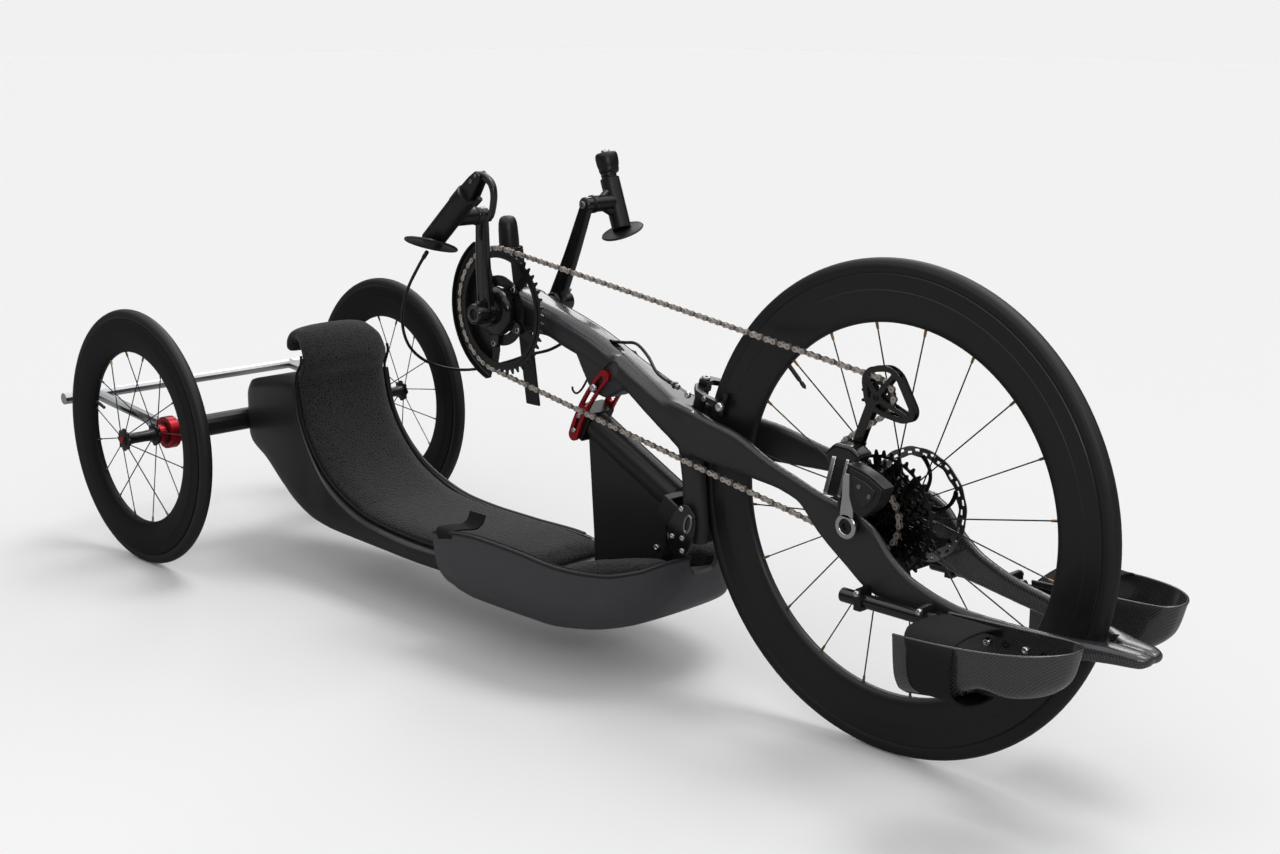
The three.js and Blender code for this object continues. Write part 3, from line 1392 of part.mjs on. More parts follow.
// Hand grips: each swivels on its pedal axle. s runs along the grip, p across it and forward.
function gripFrame(side, direction) {
  const along = { x: Math.cos(rad(direction)), z: Math.sin(rad(direction)) };
  const across = { x: Math.sin(rad(direction)), z: -Math.cos(rad(direction)) };
  const y = side * gripOffset;
  return {
    y,
    at: (s, p) => [crankTip.x + along.x * s + across.x * p, y, crankTip.z + along.z * s + across.z * p],
    flat: (s, p) => [crankTip.x + along.x * s + across.x * p, crankTip.z + along.z * s + across.z * p],
  };
}

const rightGripAngle = 41.5;
const leftGripAngle = 135;
const rightGrip = gripFrame(-1, rightGripAngle);
const leftGrip = gripFrame(1, leftGripAngle);
const gripRadius = 16.5;
const gripBelow = 70;
const gripAbove = 58;
const handStopRadius = 40;
const handStopThickness = 4;
const handStopAhead = 4;
const collarRadius = 13;
const leverPivot = 97;
const leverWidth = 9;
const leverHalfThickness = 5;
const leverPinRadius = 2.5;
const leverPinDrop = 4;
const leverEyeRadius = 6.3;
const leverCheek = 4;
const leverSlotStart = 2;
const leverSlotReach = 60;
// The lever's bracket in the side view: along from the grip's end and out from its axis, as shares
// of the distance from the grip's end to the lever's pivot.
const bracketShares = [
  [-0.26, -0.35], [-0.26, 0.35], [0.8, 0.28], [1.18, 0.08], [1.1, -0.31], [0.64, -0.37],
];

function gripBody(grip, side, below, above, radius, stopRadius) {
  const tube = rod(grip.at(-below, 0), grip.at(above, 0), radius, boreSides);
  const stop = rod(grip.at(-below - handStopThickness, handStopAhead), grip.at(-below, handStopAhead),
    stopRadius, smallFacets);
  const inner = side * (crankTipOffset + crankThickness / 2 + seatGap);
  const collar = rod([crankTip.x, inner, crankTip.z], [crankTip.x, grip.y, crankTip.z], collarRadius, boreSides);
  const bore = rod([crankTip.x, inner - side * cutOverrun, crankTip.z],
    [crankTip.x, side * (gripOffset + seatGap), crankTip.z], pedalAxleRadius + runningGap, boreSides);
  return { body: join(tube, stop, collar), bore };
}

function gripRight() {
  const { body, bore } = gripBody(rightGrip, -1, gripBelow, gripAbove, gripRadius, handStopRadius);
  const half = leverHalfThickness + runningGap;
  const low = rightGrip.y - half - leverCheek;
  const high = rightGrip.y + half + leverCheek;
  const reach = leverPivot - gripAbove;
  const outline = bracketShares.map(([s, p]) => rightGrip.flat(gripAbove + s * reach, p * reach));
  const bracket = sidePlate(outline, low, high);
  const from = gripAbove + leverSlotStart;
  const to = leverPivot + leverSlotReach;
  const slot = sidePlate([
    rightGrip.flat(from, -leverSlotReach), rightGrip.flat(from, leverSlotReach),
    rightGrip.flat(to, leverSlotReach), rightGrip.flat(to, -leverSlotReach),
  ], rightGrip.y - half, rightGrip.y + half);
  return cut(join(cut(join(body, bracket), slot), leverPin(low, high, leverPinRadius, boltSides)), bore);
}

function leverPin(low, high, radius, sides) {
  const [x, z] = rightGrip.flat(leverPivot, -leverPinDrop);
  return rod([x, low, z], [x, high, z], radius, sides);
}

// The lever's blade leaves its pivot over the top of the grip and comes back down in front of it.
const leverLineShares = [[0, -0.07], [0.16, 0.1], [0.24, 0.42], [0.08, 0.72], [-0.3, 1.0], [-0.54, 1.06]];
const leverReach = 52;
const leverTaperShares = [1, 1.1, 1, 0.85, 0.7, 0.55];

function brakeLever() {
  const points = leverLineShares.map(([s, p]) => rightGrip.flat(leverPivot + s * leverReach, p * leverReach));
  const half = leverWidth / 2;
  const edge = (side) => points.map(([x, z], i) => {
    const [px, pz] = points[Math.max(i - 1, 0)];
    const [nx, nz] = points[Math.min(i + 1, points.length - 1)];
    const w = side * half * leverTaperShares[i] / Math.hypot(nx - px, nz - pz);
    return [x + w * (nz - pz), z - w * (nx - px)];
  });
  const low = rightGrip.y - leverHalfThickness;
  const high = rightGrip.y + leverHalfThickness;
  const blade = sidePlate([...edge(1), ...edge(-1).reverse()], low, high);
  const hole = leverPin(low - cutOverrun, high + cutOverrun, leverPinRadius + runningGap, boltSides);
  return cut(join(blade, leverPin(low, high, leverEyeRadius, boreSides)), hole);
}

const leftGripRadius = 15;
const leftGripBelow = 46;
const leftGripAbove = 40;
const shifterRadius = 18;
const shifterLength = 34;
const buttonRadius = 7;
const buttonTravel = 2;
const neckRadius = 12;
const neckLength = 8;
const shifterOffset = 6;
const podFootRadius = 15.3;
const podFootAhead = 3;
const podTopAhead = 5;
const leftStopRadius = 36.4;

function gripLeft() {
  const { body, bore } = gripBody(leftGrip, 1, leftGripBelow, leftGripAbove, leftGripRadius, leftStopRadius);
  const foot = leftGripAbove + shifterOffset;
  const end = foot + shifterLength;
  const neck = rod(leftGrip.at(leftGripAbove - joinOverlap, 0),
    leftGrip.at(leftGripAbove + neckLength, podFootAhead), neckRadius, boreSides);
  const pod = rod(leftGrip.at(foot, podFootAhead), leftGrip.at(end, podTopAhead),
    podFootRadius, boreSides, shifterRadius);
  const socket = rod(leftGrip.at(end - 3 * buttonTravel, podTopAhead), leftGrip.at(end + cutOverrun, podTopAhead),
    buttonRadius + 2 * runningGap, boreSides);
  return cut(join(body, neck, pod), bore, socket);
}

function shiftButton() {
  const end = leftGripAbove + shifterOffset + shifterLength;
  return rod(leftGrip.at(end - buttonTravel, podTopAhead), leftGrip.at(end + 2 * buttonTravel, podTopAhead),
    buttonRadius, boreSides);
}

// Rear of the beam: a round-topped post on a flat bracket beside the bottom bracket
const postBracketWidth = 30;
const postBracketSetback = 40;
const postBracketThickness = 5;
const postRadius = 16;
const postHeight = 50;
const postLean = 9;
const postDrop = 164;
const postRise = 88;
const postFlangeRadius = 21.6;
const postFlangeBelow = 4;
const postFlangeAbove = 2;
const postDomeLength = 12.8;
const postDomeRadius = 8;
const postTopSetback = 5;

function handPost() {
  const low = boomHalfWidth + seatGap;
  const half = postBracketWidth / 2;
  const at = (up, ahead) => [crank.x - postBracketSetback - up * Math.sin(rad(postLean)) + ahead, crank.z + up];
  const plate = sidePlate([at(-postDrop, -half), at(-postDrop, half), at(postRise, half), at(postRise, -half)],
    low, low + postBracketThickness);
  const [x, z] = at(postRise, 0);
  const y = low - postRadius + postBracketThickness;
  const shoulder = z + postHeight - postDomeLength;
  const top = x - postTopSetback;
  return join(plate,
    rod([x, y, z - postFlangeBelow], [x, y, z + postFlangeAbove], postFlangeRadius, boreSides),
    rod([x, y, z], [top, y, shoulder], postRadius, boreSides),
    rod([top, y, shoulder], [top, y, z + postHeight], postRadius, boreSides, postDomeRadius));
}

// Front end: axle, rails, foot cups and their straps
const axlePast = 4.5;
const axleHeadRadius = 10.8;

function frontAxle() {
  const end = armHalfSpan + axlePast;
  return join(
    rod([frontHub.x, -end, frontHub.z], [frontHub.x, end, frontHub.z], axleRadius, boreSides),
    rod([frontHub.x, armHalfSpan + seatGap, frontHub.z], [frontHub.x, end, frontHub.z],
      axleHeadRadius, boreSides),
  );
}

const railRadius = 9.5;
const railLength = 148;
const railHeight = 243;
const railClampWidth = 12;
const railTongue = 3;
const railTongueReach = 90;
const railSetback = 4;
const railOffset = 2;
const railClampMargin = 3;
const railClampTop = 8;
const railClampShares = [0.2, 0.86];
const railTongueShare = 0.7;

function footRail(side) {
  const y = side * (armHalfSpan + railRadius + railOffset);
  const rear = frontHub.x - railSetback;
  const rail = rod([rear, y, railHeight], [rear + railLength, y, railHeight], railRadius, tubeSides);
  const slab = (xLow, xHigh, from, to, zLow, zHigh) => box(xLow, xHigh,
    Math.min(side * from, side * to), Math.max(side * from, side * to), zLow, zHigh);
  const clamps = railClampShares.map((share) => {
    const x = frontHub.x + railLength * share;
    return slab(x - railClampWidth / 2, x + railClampWidth / 2, armHalfSpan + seatGap,
      armHalfSpan + 2 * railRadius + railOffset + railClampMargin,
      railHeight - railRadius - railClampMargin, railHeight + railRadius + railClampTop);
  });
  const tongue = slab(frontHub.x + railLength * railTongueShare, cupRear + railTongueReach,
    cupInner - seatGap - railTongue, cupInner - seatGap, railHeight - railRadius, railHeight + railRadius);
  return join(rail, tongue, ...clamps);
}

const cupWall = 4;
const cupLength = 200;
const cupWidth = 116;
const cupHeight = 92;
const cupRear = 158;
const cupFloor = 172;
const cupInner = 90;
// Plan outline from the inner rear corner round the front: along and out from the bike.
const cupPlanShares = [
  [0, 0], [0.86, 0], [0.97, 0.08], [1, 0.24], [0.97, 0.42], [0.86, 0.66], [0.66, 0.86], [0.4, 0.97], [0, 1],
];
const cupSlope = 10;
// Height, how far the front reaches and how far the outside spreads.
const cupLevelShares = [[0, 0.72, 0.68], [0.12, 0.84, 0.86], [0.4, 0.94, 0.96], [1, 1, 1]];

function cupBlock(side, inset, lift, extra) {
  return loft(cupLevelShares.map(([up, reach, spread]) => cupPlanShares.map(([along, out], i) => {
    const atRear = i === 0 || i === cupPlanShares.length - 1;
    const x = cupRear + (atRear ? -extra : along * (cupLength * reach - inset));
    const outward = cupInner + inset + out * (cupWidth * spread - 2 * inset);
    const z = cupFloor + lift + up * cupHeight * (up === 1 && lift > 0 ? 2 : 1) + along * cupSlope;
    return new THREE.Vector3(x, side * outward, z);
  })));
}

function footCup(side) {
  return cut(cupBlock(side, 0, 0, 0), cupBlock(side, cupWall, cupWall, cutOverrun));
}

const strapWidth = 34;
const strapThickness = 2.5;
const strapSetback = 14;
const strapRise = 6;
const strapCornerRise = 24;
const strapCornerInset = 26;
const strapFootInset = 30;

function footStrap(side) {
  const inner = cupInner + cupWall + seatGap;
  const outer = cupInner + cupWidth + seatGap + strapThickness;
  const low = cupFloor - strapThickness - seatGap;
  const high = cupFloor + cupHeight + strapRise;
  const x = cupRear + strapSetback;
  const line = (grow) => [
    [inner, high + grow], [outer + grow, high + grow], [outer + grow, low + strapCornerRise],
    [outer - strapCornerInset, low - grow], [inner + strapFootInset, low - grow],
  ];
  const outline = [...line(0), ...line(-strapThickness).reverse()];
  const near = outline.map(([y, z]) => new THREE.Vector3(x, side * y, z));
  const far = near.map((p) => p.clone().setX(x + strapWidth));
  return stripLoft(near, far);
}

// A band between two like outlines that are not convex: each end is closed strip by strip.
function stripLoft(near, far) {
  const count = near.length;
  const half = count / 2;
  const points = [...near, ...far];
  const faces = [];
  for (let i = 0; i < count; i += 1) {
    const j = (i + 1) % count;
    faces.push(i, j, j + count, i, j + count, i + count);
  }
  for (let i = 0; i + 1 < half; i += 1) {
    const a = i;
    const b = i + 1;
    const c = count - 1 - i;
    const d = count - 2 - i;
    faces.push(a, d, b, a, c, d);
    faces.push(a + count, b + count, d + count, a + count, d + count, c + count);
  }
  const ordered = skinSense(points, faces) < 0 ? faces.reverse() : faces;
  const geometry = new THREE.BufferGeometry();
  const values = points.flatMap((p) => p.toArray());
  geometry.setAttribute('position', new THREE.Float32BufferAttribute(values, 3));
  geometry.setIndex(ordered);
  return solid(geometry);
}

// Disc brake: a block on the left arm's inner side, with a slot that the disc runs through
const discCaliperLength = 62;
const discCaliperWidth = 26;
const discCaliperHeight = 30;
const discCaliperSetback = 20;
const discCaliperInset = 8;
const discSlotHalf = 3;
const discSlotDepth = 3;

function discCaliper() {
  const inner = rotorOffset - discCaliperWidth / 2;
  const outer = armHalfSpan * armFrontShares[1][1] - armThickness - 2 * seatGap;
  const x = frontHub.x - discCaliperSetback;
  const z = frontHub.z - rotorRadius + discCaliperInset;
  const block = box(x - discCaliperLength / 2, x + discCaliperLength / 2, inner, outer,
    z - discCaliperHeight / 2, z + discCaliperHeight / 2);
  const slot = box(x - discCaliperLength, x + discCaliperLength,
    rotorOffset - discSlotHalf, rotorOffset + discSlotHalf,
    frontHub.z - rotorRadius - discSlotDepth, z + discCaliperHeight);
  return cut(block, slot);
}

// Derailleur: a body on the axle end, a link that swings the knuckle across the cogs,
// and a sprung cage with two pulleys
const derailleurThickness = 9;
const linkOffset = 92;
const linkFootRise = 38;
const linkFoot = frontWheelRadius + linkFootRise;
const linkRise = 40;
const linkLean = 14;
const linkMiddle = -4;
const linkHalf = 10;
const linkWidth = 9;
const linkPinRadius = 3;
const earThickness = 4;
const knuckleDepth = 26;
const cageThickness = 1.6;
const cageGap = 4.4;
const stubRadiusShare = 0.6;
const hangerRadius = 12;
const hangerPast = 3;
const hangerWaist = 10;
const hangerFoot = 6;
const linkSeatDrop = 6.75;
const linkEndShare = 1.15;
const earSink = 2;
const earRise = 5;
const earHalf = 8;
const knuckleHalf = 12;
const knuckleFront = 8;
const knuckleCorner = 4;
const knuckleShares = [0.5, 0.6, 0.5];
// The cage plate's outline, along and across as shares of the distance between the pulleys.
const cageShares = [
  [-0.12, -0.066], [-0.12, 0.088], [0.153, 0.12], [0.55, 0.164], [0.891, 0.35], [1.263, 0.361],
  [1.295, 0.241], [1.131, -0.022], [0.956, -0.142], [0.6, -0.044], [0.153, -0.098],
];

// Two ears with a pin through them, fore and aft of the link's end.
function ears(y, z, yLow, yHigh, zLow, zHigh) {
  const inner = linkHalf + runningGap;
  const outer = inner + earThickness;
  const pin = rod([linkMiddle - outer, y, z], [linkMiddle + outer, y, z], linkPinRadius, boltSides);
  return join(pin,
    box(linkMiddle - outer, linkMiddle - inner, yLow, yHigh, zLow, zHigh),
    box(linkMiddle + inner, linkMiddle + outer, yLow, yHigh, zLow, zHigh));
}

function derailleurBody() {
  const high = -armHalfSpan - seatGap;
  const low = high - derailleurThickness;
  const { x, z } = frontHub;
  const eye = rod([x, low - hangerPast, z], [x, high, z], hangerRadius, smallFacets);
  const bore = rod([x, low - cutOverrun, z], [x, high + cutOverrun, z], axleRadius + seatGap, tubeSides);
  const outer = linkHalf + runningGap + earThickness;
  const seat = linkFoot - linkSeatDrop;
  const arm = sidePlate([
    [x - hangerWaist, z], [x + hangerWaist, z], [linkMiddle + outer, seat - hangerFoot],
    [linkMiddle + outer, seat], [linkMiddle - outer, seat], [linkMiddle - outer, seat - hangerFoot],
  ], low, high - joinOverlap);
  const pair = ears(-linkOffset, linkFoot, low, high - joinOverlap, seat - earSink, linkFoot + earRise);
  return cut(join(eye, arm, pair), bore);
}

// The link is a plate in the plane across the bike, with an eye at each end.
function derailleurLink() {
  const foot = [-linkOffset, linkFoot];
  const top = [-linkOffset + linkLean, linkFoot + linkRise];
  const xLow = linkMiddle - linkHalf;
  const xHigh = linkMiddle + linkHalf;
  const half = linkWidth / 2;
  const across = ([y, z], over, radius, sides) => rod([xLow - over, y, z], [xHigh + over, y, z], radius, sides);
  const corners = [[foot, -half], [foot, half], [top, half], [top, -half]];
  const web = loft([xLow, xHigh].map((x) => corners.map(([[y, z], out]) => new THREE.Vector3(x, y + out, z))));
  const ends = [foot, top].map((end) => across(end, 0, half * linkEndShare, boreSides));
  const holes = [foot, top].map((end) => across(end, cutOverrun, linkPinRadius + runningGap, boltSides));
  return cut(join(web, ...ends), ...holes);
}

function derailleurKnuckle() {
  const y = -linkOffset + linkLean;
  const z = linkFoot + linkRise;
  const face = -chainLine - cageGap - cageThickness - runningGap;
  const { x, z: pulleyZ } = guidePulley;
  const slice = (place, middle, half, share, corner) =>
    crossSection(place, face - knuckleDepth * share, face, middle - half, middle + half, corner);
  const block = loft([
    slice(x - knuckleHalf, pulleyZ, knuckleHalf, knuckleShares[0], knuckleCorner),
    slice(x + knuckleFront, pulleyZ, knuckleHalf, knuckleShares[1], knuckleCorner),
    slice(linkMiddle + linkHalf + runningGap + earThickness, z, earHalf, knuckleShares[2], knuckleCorner),
  ]);
  const stub = rod([x, face - knuckleDepth / 3, pulleyZ], [x, face + cageThickness + pulleyBore, pulleyZ],
    pulleyBore * stubRadiusShare, boltSides);
  return join(block, stub, ears(y, z, y - earRise, face - knuckleDepth / 3, z - earHalf, z + earRise));
}

function cagePlate(y) {
  const dx = tensionPulley.x - guidePulley.x;
  const dz = tensionPulley.z - guidePulley.z;
  const outline = cageShares.map(([along, out]) => [
    guidePulley.x + dx * along + dz * out,
    guidePulley.z + dz * along - dx * out,
  ]);
  return sidePlate(outline, y, y + cageThickness);
}

function derailleurCage() {
  const low = -chainLine - cageGap - cageThickness;
  const high = -chainLine + cageGap;
  const half = cageThickness / 2;
  const span = ({ x, z }) => rod([x, low + half, z], [x, high + half, z], pulleyBore, tubeSides);
  const stubHole = rod([guidePulley.x, low - cutOverrun, guidePulley.z],
    [guidePulley.x, low + cageThickness + pulleyBore + seatGap, guidePulley.z],
    pulleyBore * stubRadiusShare + runningGap, boltSides);
  return cut(join(cagePlate(low), cagePlate(high), span(guidePulley), span(tensionPulley)), stubHole);
}

// Materials and names
const frontRing = (profile) => turned(profile(frontWheel, 0), frontHub.x, frontHub.z, frontWheel.sides);
addNode('front_tyre', geometryOf(frontRing(tyre)), rubber);
addNode('front_rim', geometryOf(frontRing(rim)), carbon);
addNode('front_hub', geometryOf(frontHubShell()), blackAlloy);
addNode('brake_rotor', geometryOf(brakeRotor()), steel);
for (const [name, side] of [['right', -1], ['left', 1]]) {
  const y = side * track / 2;
  const rearRing = (profile) => turned(profile(rearWheel, y), rearAxle.x, rearAxle.z, rearWheel.sides);
  addNode(`rear_tyre_${name}`, geometryOf(rearRing(tyre)), rubber);
  addNode(`rear_rim_${name}`, geometryOf(rearRing(rim)), carbon);
  addNode(`rear_hub_${name}`, geometryOf(rearHubShell(side)), blackAlloy);
  addNode(`axle_receiver_${name}`, geometryOf(axleReceiver(side)), redAlloy);
  addNode(`bumper_clamp_${name}`, geometryOf(bumperClamp(side)), redAlloy);
  addNode(`height_plate_${name}`, geometryOf(heightPlate(side)), redAlloy);
  addNode(`leg_pad_${name}`, geometryOf(legPad(side)), fabric);
  addNode(`crank_arm_${name}`, geometryOf(crankArm(side)), blackAlloy);
  addNode(`foot_rail_${name}`, geometryOf(footRail(side)), blackAlloy);
  addNode(`foot_cup_${name}`, geometryOf(footCup(side)), glossCarbon);
  addNode(`foot_strap_${name}`, geometryOf(footStrap(side)), fabric);
  addNode(`caliper_arm_${name}`, geometryOf(caliperArm(side, side > 0 ? 1 : 0)), blackAlloy);
}
addNode('front_frame', geometryOf(frontFrame()), carbon);
addNode('seat_tub', geometryOf(seatTub()), carbon);
addNode('nose_pod', geometryOf(nosePod()), carbon);
addNode('steering_tower', geometryOf(steeringTower()), carbon);
addNode('axle_beam', geometryOf(axleBeam()), carbon);
addNode('bumper_frame', geometryOf(bumperFrame()), silver);
addNode('seat_cushion', geometryOf(seatCushion()), fabric);
addNode('centering_elastomer', geometryOf(centeringElastomer()), elastomerTan);
addNode('steering_shaft', geometryOf(steeringShaft()), blackAlloy);
addNode('height_bolt', geometryOf(heightBolt()), blackAlloy);
addNode('bottom_bracket', geometryOf(bottomBracket()), blackAlloy);
addNode('crank_spindle', geometryOf(crankSpindle()), steel);
addNode('chainring', geometryOf(chainring()), blackAlloy);
addNode('power_spider', geometryOf(powerSpider()), blackAlloy);
addNode('chain_guard', geometryOf(chainGuard()), blackPlastic);
addNode('grip_right', geometryOf(gripRight()), blackAlloy);
addNode('brake_lever', geometryOf(brakeLever()), blackAlloy);
addNode('grip_left', geometryOf(gripLeft()), blackAlloy);
addNode('shift_button', geometryOf(shiftButton()), blackPlastic);
addNode('hand_post', geometryOf(handPost()), blackPlastic);
addNode('front_axle', geometryOf(frontAxle()), steel);
addNode('disc_caliper', geometryOf(discCaliper()), blackAlloy);
addNode('pod_strap', geometryOf(podStrap()), fabric);
addNode('brake_cable', geometryOf(brakeCable()), rubber);
addNode('cassette', geometryOf(cassette()), steel);
addNode('chain', geometryOf(chain()), nickel);
addNode('derailleur_body', geometryOf(derailleurBody()), blackAlloy);
addNode('derailleur_link', geometryOf(derailleurLink()), silver);
addNode('derailleur_knuckle', geometryOf(derailleurKnuckle()), blackAlloy);
addNode('derailleur_cage', geometryOf(derailleurCage()), blackAlloy);
addNode('tension_pulley', geometryOf(jockeyPulley(tensionPulley)), blackPlastic);
addNode('guide_pulley', geometryOf(jockeyPulley(guidePulley)), blackPlastic);

// The origin stands on the ground under the middle of the whole machine.
handcycle.updateMatrixWorld(true);
const reach = new THREE.Box3().setFromObject(handcycle, true);
handcycle.position.set(-(reach.min.x + reach.max.x) / 2, -(reach.min.y + reach.max.y) / 2, -reach.min.z);
handcycle.updateMatrixWorld(true);

export default handcycle;
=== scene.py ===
# Recumbent handcycle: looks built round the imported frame
import json
import math

import bpy
import bmesh
import numpy as np
from mathutils import Matrix, Vector


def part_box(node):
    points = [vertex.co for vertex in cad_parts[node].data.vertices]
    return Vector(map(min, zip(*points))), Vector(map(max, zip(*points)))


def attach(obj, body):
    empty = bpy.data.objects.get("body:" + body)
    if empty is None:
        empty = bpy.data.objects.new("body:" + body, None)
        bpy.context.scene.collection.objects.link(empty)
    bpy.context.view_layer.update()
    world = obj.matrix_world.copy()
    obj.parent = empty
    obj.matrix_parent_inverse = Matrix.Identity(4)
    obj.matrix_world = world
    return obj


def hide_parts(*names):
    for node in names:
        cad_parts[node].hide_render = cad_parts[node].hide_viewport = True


bl_info = {
    "name": "Handcycle",
    "version": (1, 0, 0),
    "blender": (4, 5, 0),
    "location": "View3D > Sidebar > Handcycle",
    "description": "Builds a recumbent handcycle round its packed frame",
    "category": "Object",
}

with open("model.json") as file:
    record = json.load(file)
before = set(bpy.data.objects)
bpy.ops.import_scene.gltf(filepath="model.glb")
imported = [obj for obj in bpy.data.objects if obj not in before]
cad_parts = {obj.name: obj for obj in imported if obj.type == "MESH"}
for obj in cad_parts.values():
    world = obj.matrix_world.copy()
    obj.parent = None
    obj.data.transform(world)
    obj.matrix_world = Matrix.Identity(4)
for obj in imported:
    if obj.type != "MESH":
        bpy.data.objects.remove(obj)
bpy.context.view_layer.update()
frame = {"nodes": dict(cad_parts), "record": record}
MM = 0.001

# Places that many pieces share, in millimetres from the front tyre's contact point

HUB = (0.0, 335.0)
CRANK = (-736.0, 517.0)
REAR_AXLE = (-1450.0, 228.5)
TILT_PIVOT = (-340.0, 250.0)
CHAIN_LINE = 44.0
CHAIN_PITCH = 12.7
ENGAGED_COG = 5
COGS = (42, 36, 32, 28, 24, 21, 18, 16, 14, 12, 11, 10)
TENSION_PULLEY = (2.0, 496.0)
GUIDE_PULLEY = (-34.0, 412.0)
TRACK = 552.0
SIDES = (("right", -1), ("left", 1))
RIGHTWARD = (0, -1, 0)


def spot(place, y=0):
    """A place of the side view, some way across the machine."""
    return place[0], y, place[1]


# Shape tools, in the same millimetres


RIM_LOW, RIM_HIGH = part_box("front_rim")
OFFSET = np.array([(RIM_LOW.x + RIM_HIGH.x) / 2, 0.0, (RIM_LOW.z + RIM_HIGH.z) / 2 - HUB[1] * MM])


def placed(points):
    """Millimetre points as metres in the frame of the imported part."""
    return np.asarray(points, float) * MM + OFFSET


def mesh_object(name, points, faces, smooth=40):
    """An object at the origin whose mesh has these points and faces, smooth up to an angle."""
    mesh = bpy.data.meshes.new(name)
    mesh.from_pydata(placed(points).tolist(), [], [list(map(int, f)) for f in faces])
    mesh.validate()
    obj = bpy.data.objects.new(name, mesh)
    bpy.context.collection.objects.link(obj)
    fix_normals(mesh)
    shade(mesh, smooth)
    return obj


def fix_normals(mesh, merge=0.0):
    """Doubles merged where asked, and every face turned outwards."""
    work = bmesh.new()
    work.from_mesh(mesh)
    if merge:
        bmesh.ops.remove_doubles(work, verts=work.verts, dist=merge)
    bmesh.ops.recalc_face_normals(work, faces=work.faces)
    work.to_mesh(mesh)
    work.free()


def shade(mesh, angle):
    mesh.polygons.foreach_set("use_smooth", [True] * len(mesh.polygons))
    mesh.set_sharp_from_angle(angle=math.radians(angle))


def vertices(mesh, key="co"):
    """Places or normals of all vertices, one row each."""
    values = np.zeros(len(mesh.vertices) * 3)
    mesh.vertices.foreach_get(key, values)
    return values.reshape(-1, 3)


def unit(vectors):
    return vectors / np.linalg.norm(vectors, axis=-1, keepdims=True)


def power(values, exponent):
    """Power of the size of each value, with the value's sign."""
    return np.sign(values) * np.abs(values) ** exponent


def grid_faces(rows, columns, wrap_rows=False, wrap_columns=False):
    """Quads of a grid of rows x columns points numbered row by row."""
    r = np.arange(rows if wrap_rows else rows - 1)
    c = np.arange(columns if wrap_columns else columns - 1)
    r, c = np.meshgrid(r, c, indexing="ij")
    r1, c1 = (r + 1) % rows, (c + 1) % columns
    quads = np.stack([r * columns + c, r * columns + c1, r1 * columns + c1, r1 * columns + c], -1)
    return quads.reshape(-1, 4)


def grid_object(name, points, wrap_rows=False, wrap_columns=False, caps=False, smooth=40):
    """A surface through a grid of points; caps close the first and last row."""
    rows, columns = points.shape[:2]
    faces = grid_faces(rows, columns, wrap_rows, wrap_columns).tolist()
    if caps:
        faces.append(list(range(columns)))
        faces.append(list(range((rows - 1) * columns, rows * columns)))
    return mesh_object(name, points.reshape(-1, 3), faces, smooth)


def curve(points, steps):
    """Catmull-Rom curve: each span between two points is the cubic whose end slopes are half the
    difference of the neighbours; steps samples to a span."""
    p = np.asarray(points, float)
    ends = np.vstack([2 * p[0] - p[1], p, 2 * p[-1] - p[-2]])
    t = np.linspace(0, 1, steps, endpoint=False)[None, :, None]
    a, b, c, d = (ends[i:len(ends) - 3 + i][:, None, :] for i in range(4))
    spans = 0.5 * (2 * b + (c - a) * t + (2 * a - 5 * b + 4 * c - d) * t**2 + (3 * b - a - 3 * c + d) * t**3)
    return np.vstack([spans.reshape(-1, p.shape[1]), p[-1:]])


def smooth_values(at, x, y):
    """Values y given at x, read at other places through a cubic that never overshoots."""
    x, y = np.asarray(x, float), np.asarray(y, float)
    h, d = np.diff(x), np.diff(y) / np.diff(x)
    slope = np.zeros(len(x))
    same = d[:-1] * d[1:] > 0
    slope[1:-1][same] = (2 * d[:-1] * d[1:] / (d[:-1] + d[1:] + 1e-12))[same]
    slope[0], slope[-1] = d[0], d[-1]
    i = np.clip(np.searchsorted(x, at) - 1, 0, len(h) - 1)
    t = (at - x[i]) / h[i]
    return ((1 + 2 * t) * (1 - t) ** 2 * y[i] + t * (1 - t) ** 2 * h[i] * slope[i]
            + t * t * (3 - 2 * t) * y[i + 1] + t * t * (t - 1) * h[i] * slope[i + 1])


def rounded(corners, radius, steps=4):
    """Closed outlines with each corner replaced by a quadratic curve that starts a radius away
    from it; corners is (stations, corners, 2) and so is the result, with more points."""
    c = np.asarray(corners, float)
    before, after = np.roll(c, 1, 1) - c, np.roll(c, -1, 1) - c
    size = [np.linalg.norm(v, axis=-1, keepdims=True) + 1e-9 for v in (before, after)]
    a = c + before / size[0] * np.minimum(radius, size[0] * 0.45)
    b = c + after / size[1] * np.minimum(radius, size[1] * 0.45)
    t = np.linspace(0, 1, steps)[None, None, :, None]
    arcs = (1 - t) ** 2 * a[:, :, None] + 2 * t * (1 - t) * c[:, :, None] + t**2 * b[:, :, None]
    return arcs.reshape(c.shape[0], -1, c.shape[2])


def octagons(low, high, bottom, top, chamfer):
    """Eight-cornered sections from arrays of their sides."""
    c = np.minimum(chamfer, np.minimum(high - low, top - bottom) / 2.6)
    corners = [(low + c, bottom), (high - c, bottom), (high, bottom + c), (high, top - c),
               (high - c, top), (low + c, top), (low, top - c), (low, bottom + c)]
    return np.stack([np.stack(p, -1) for p in corners], 1)


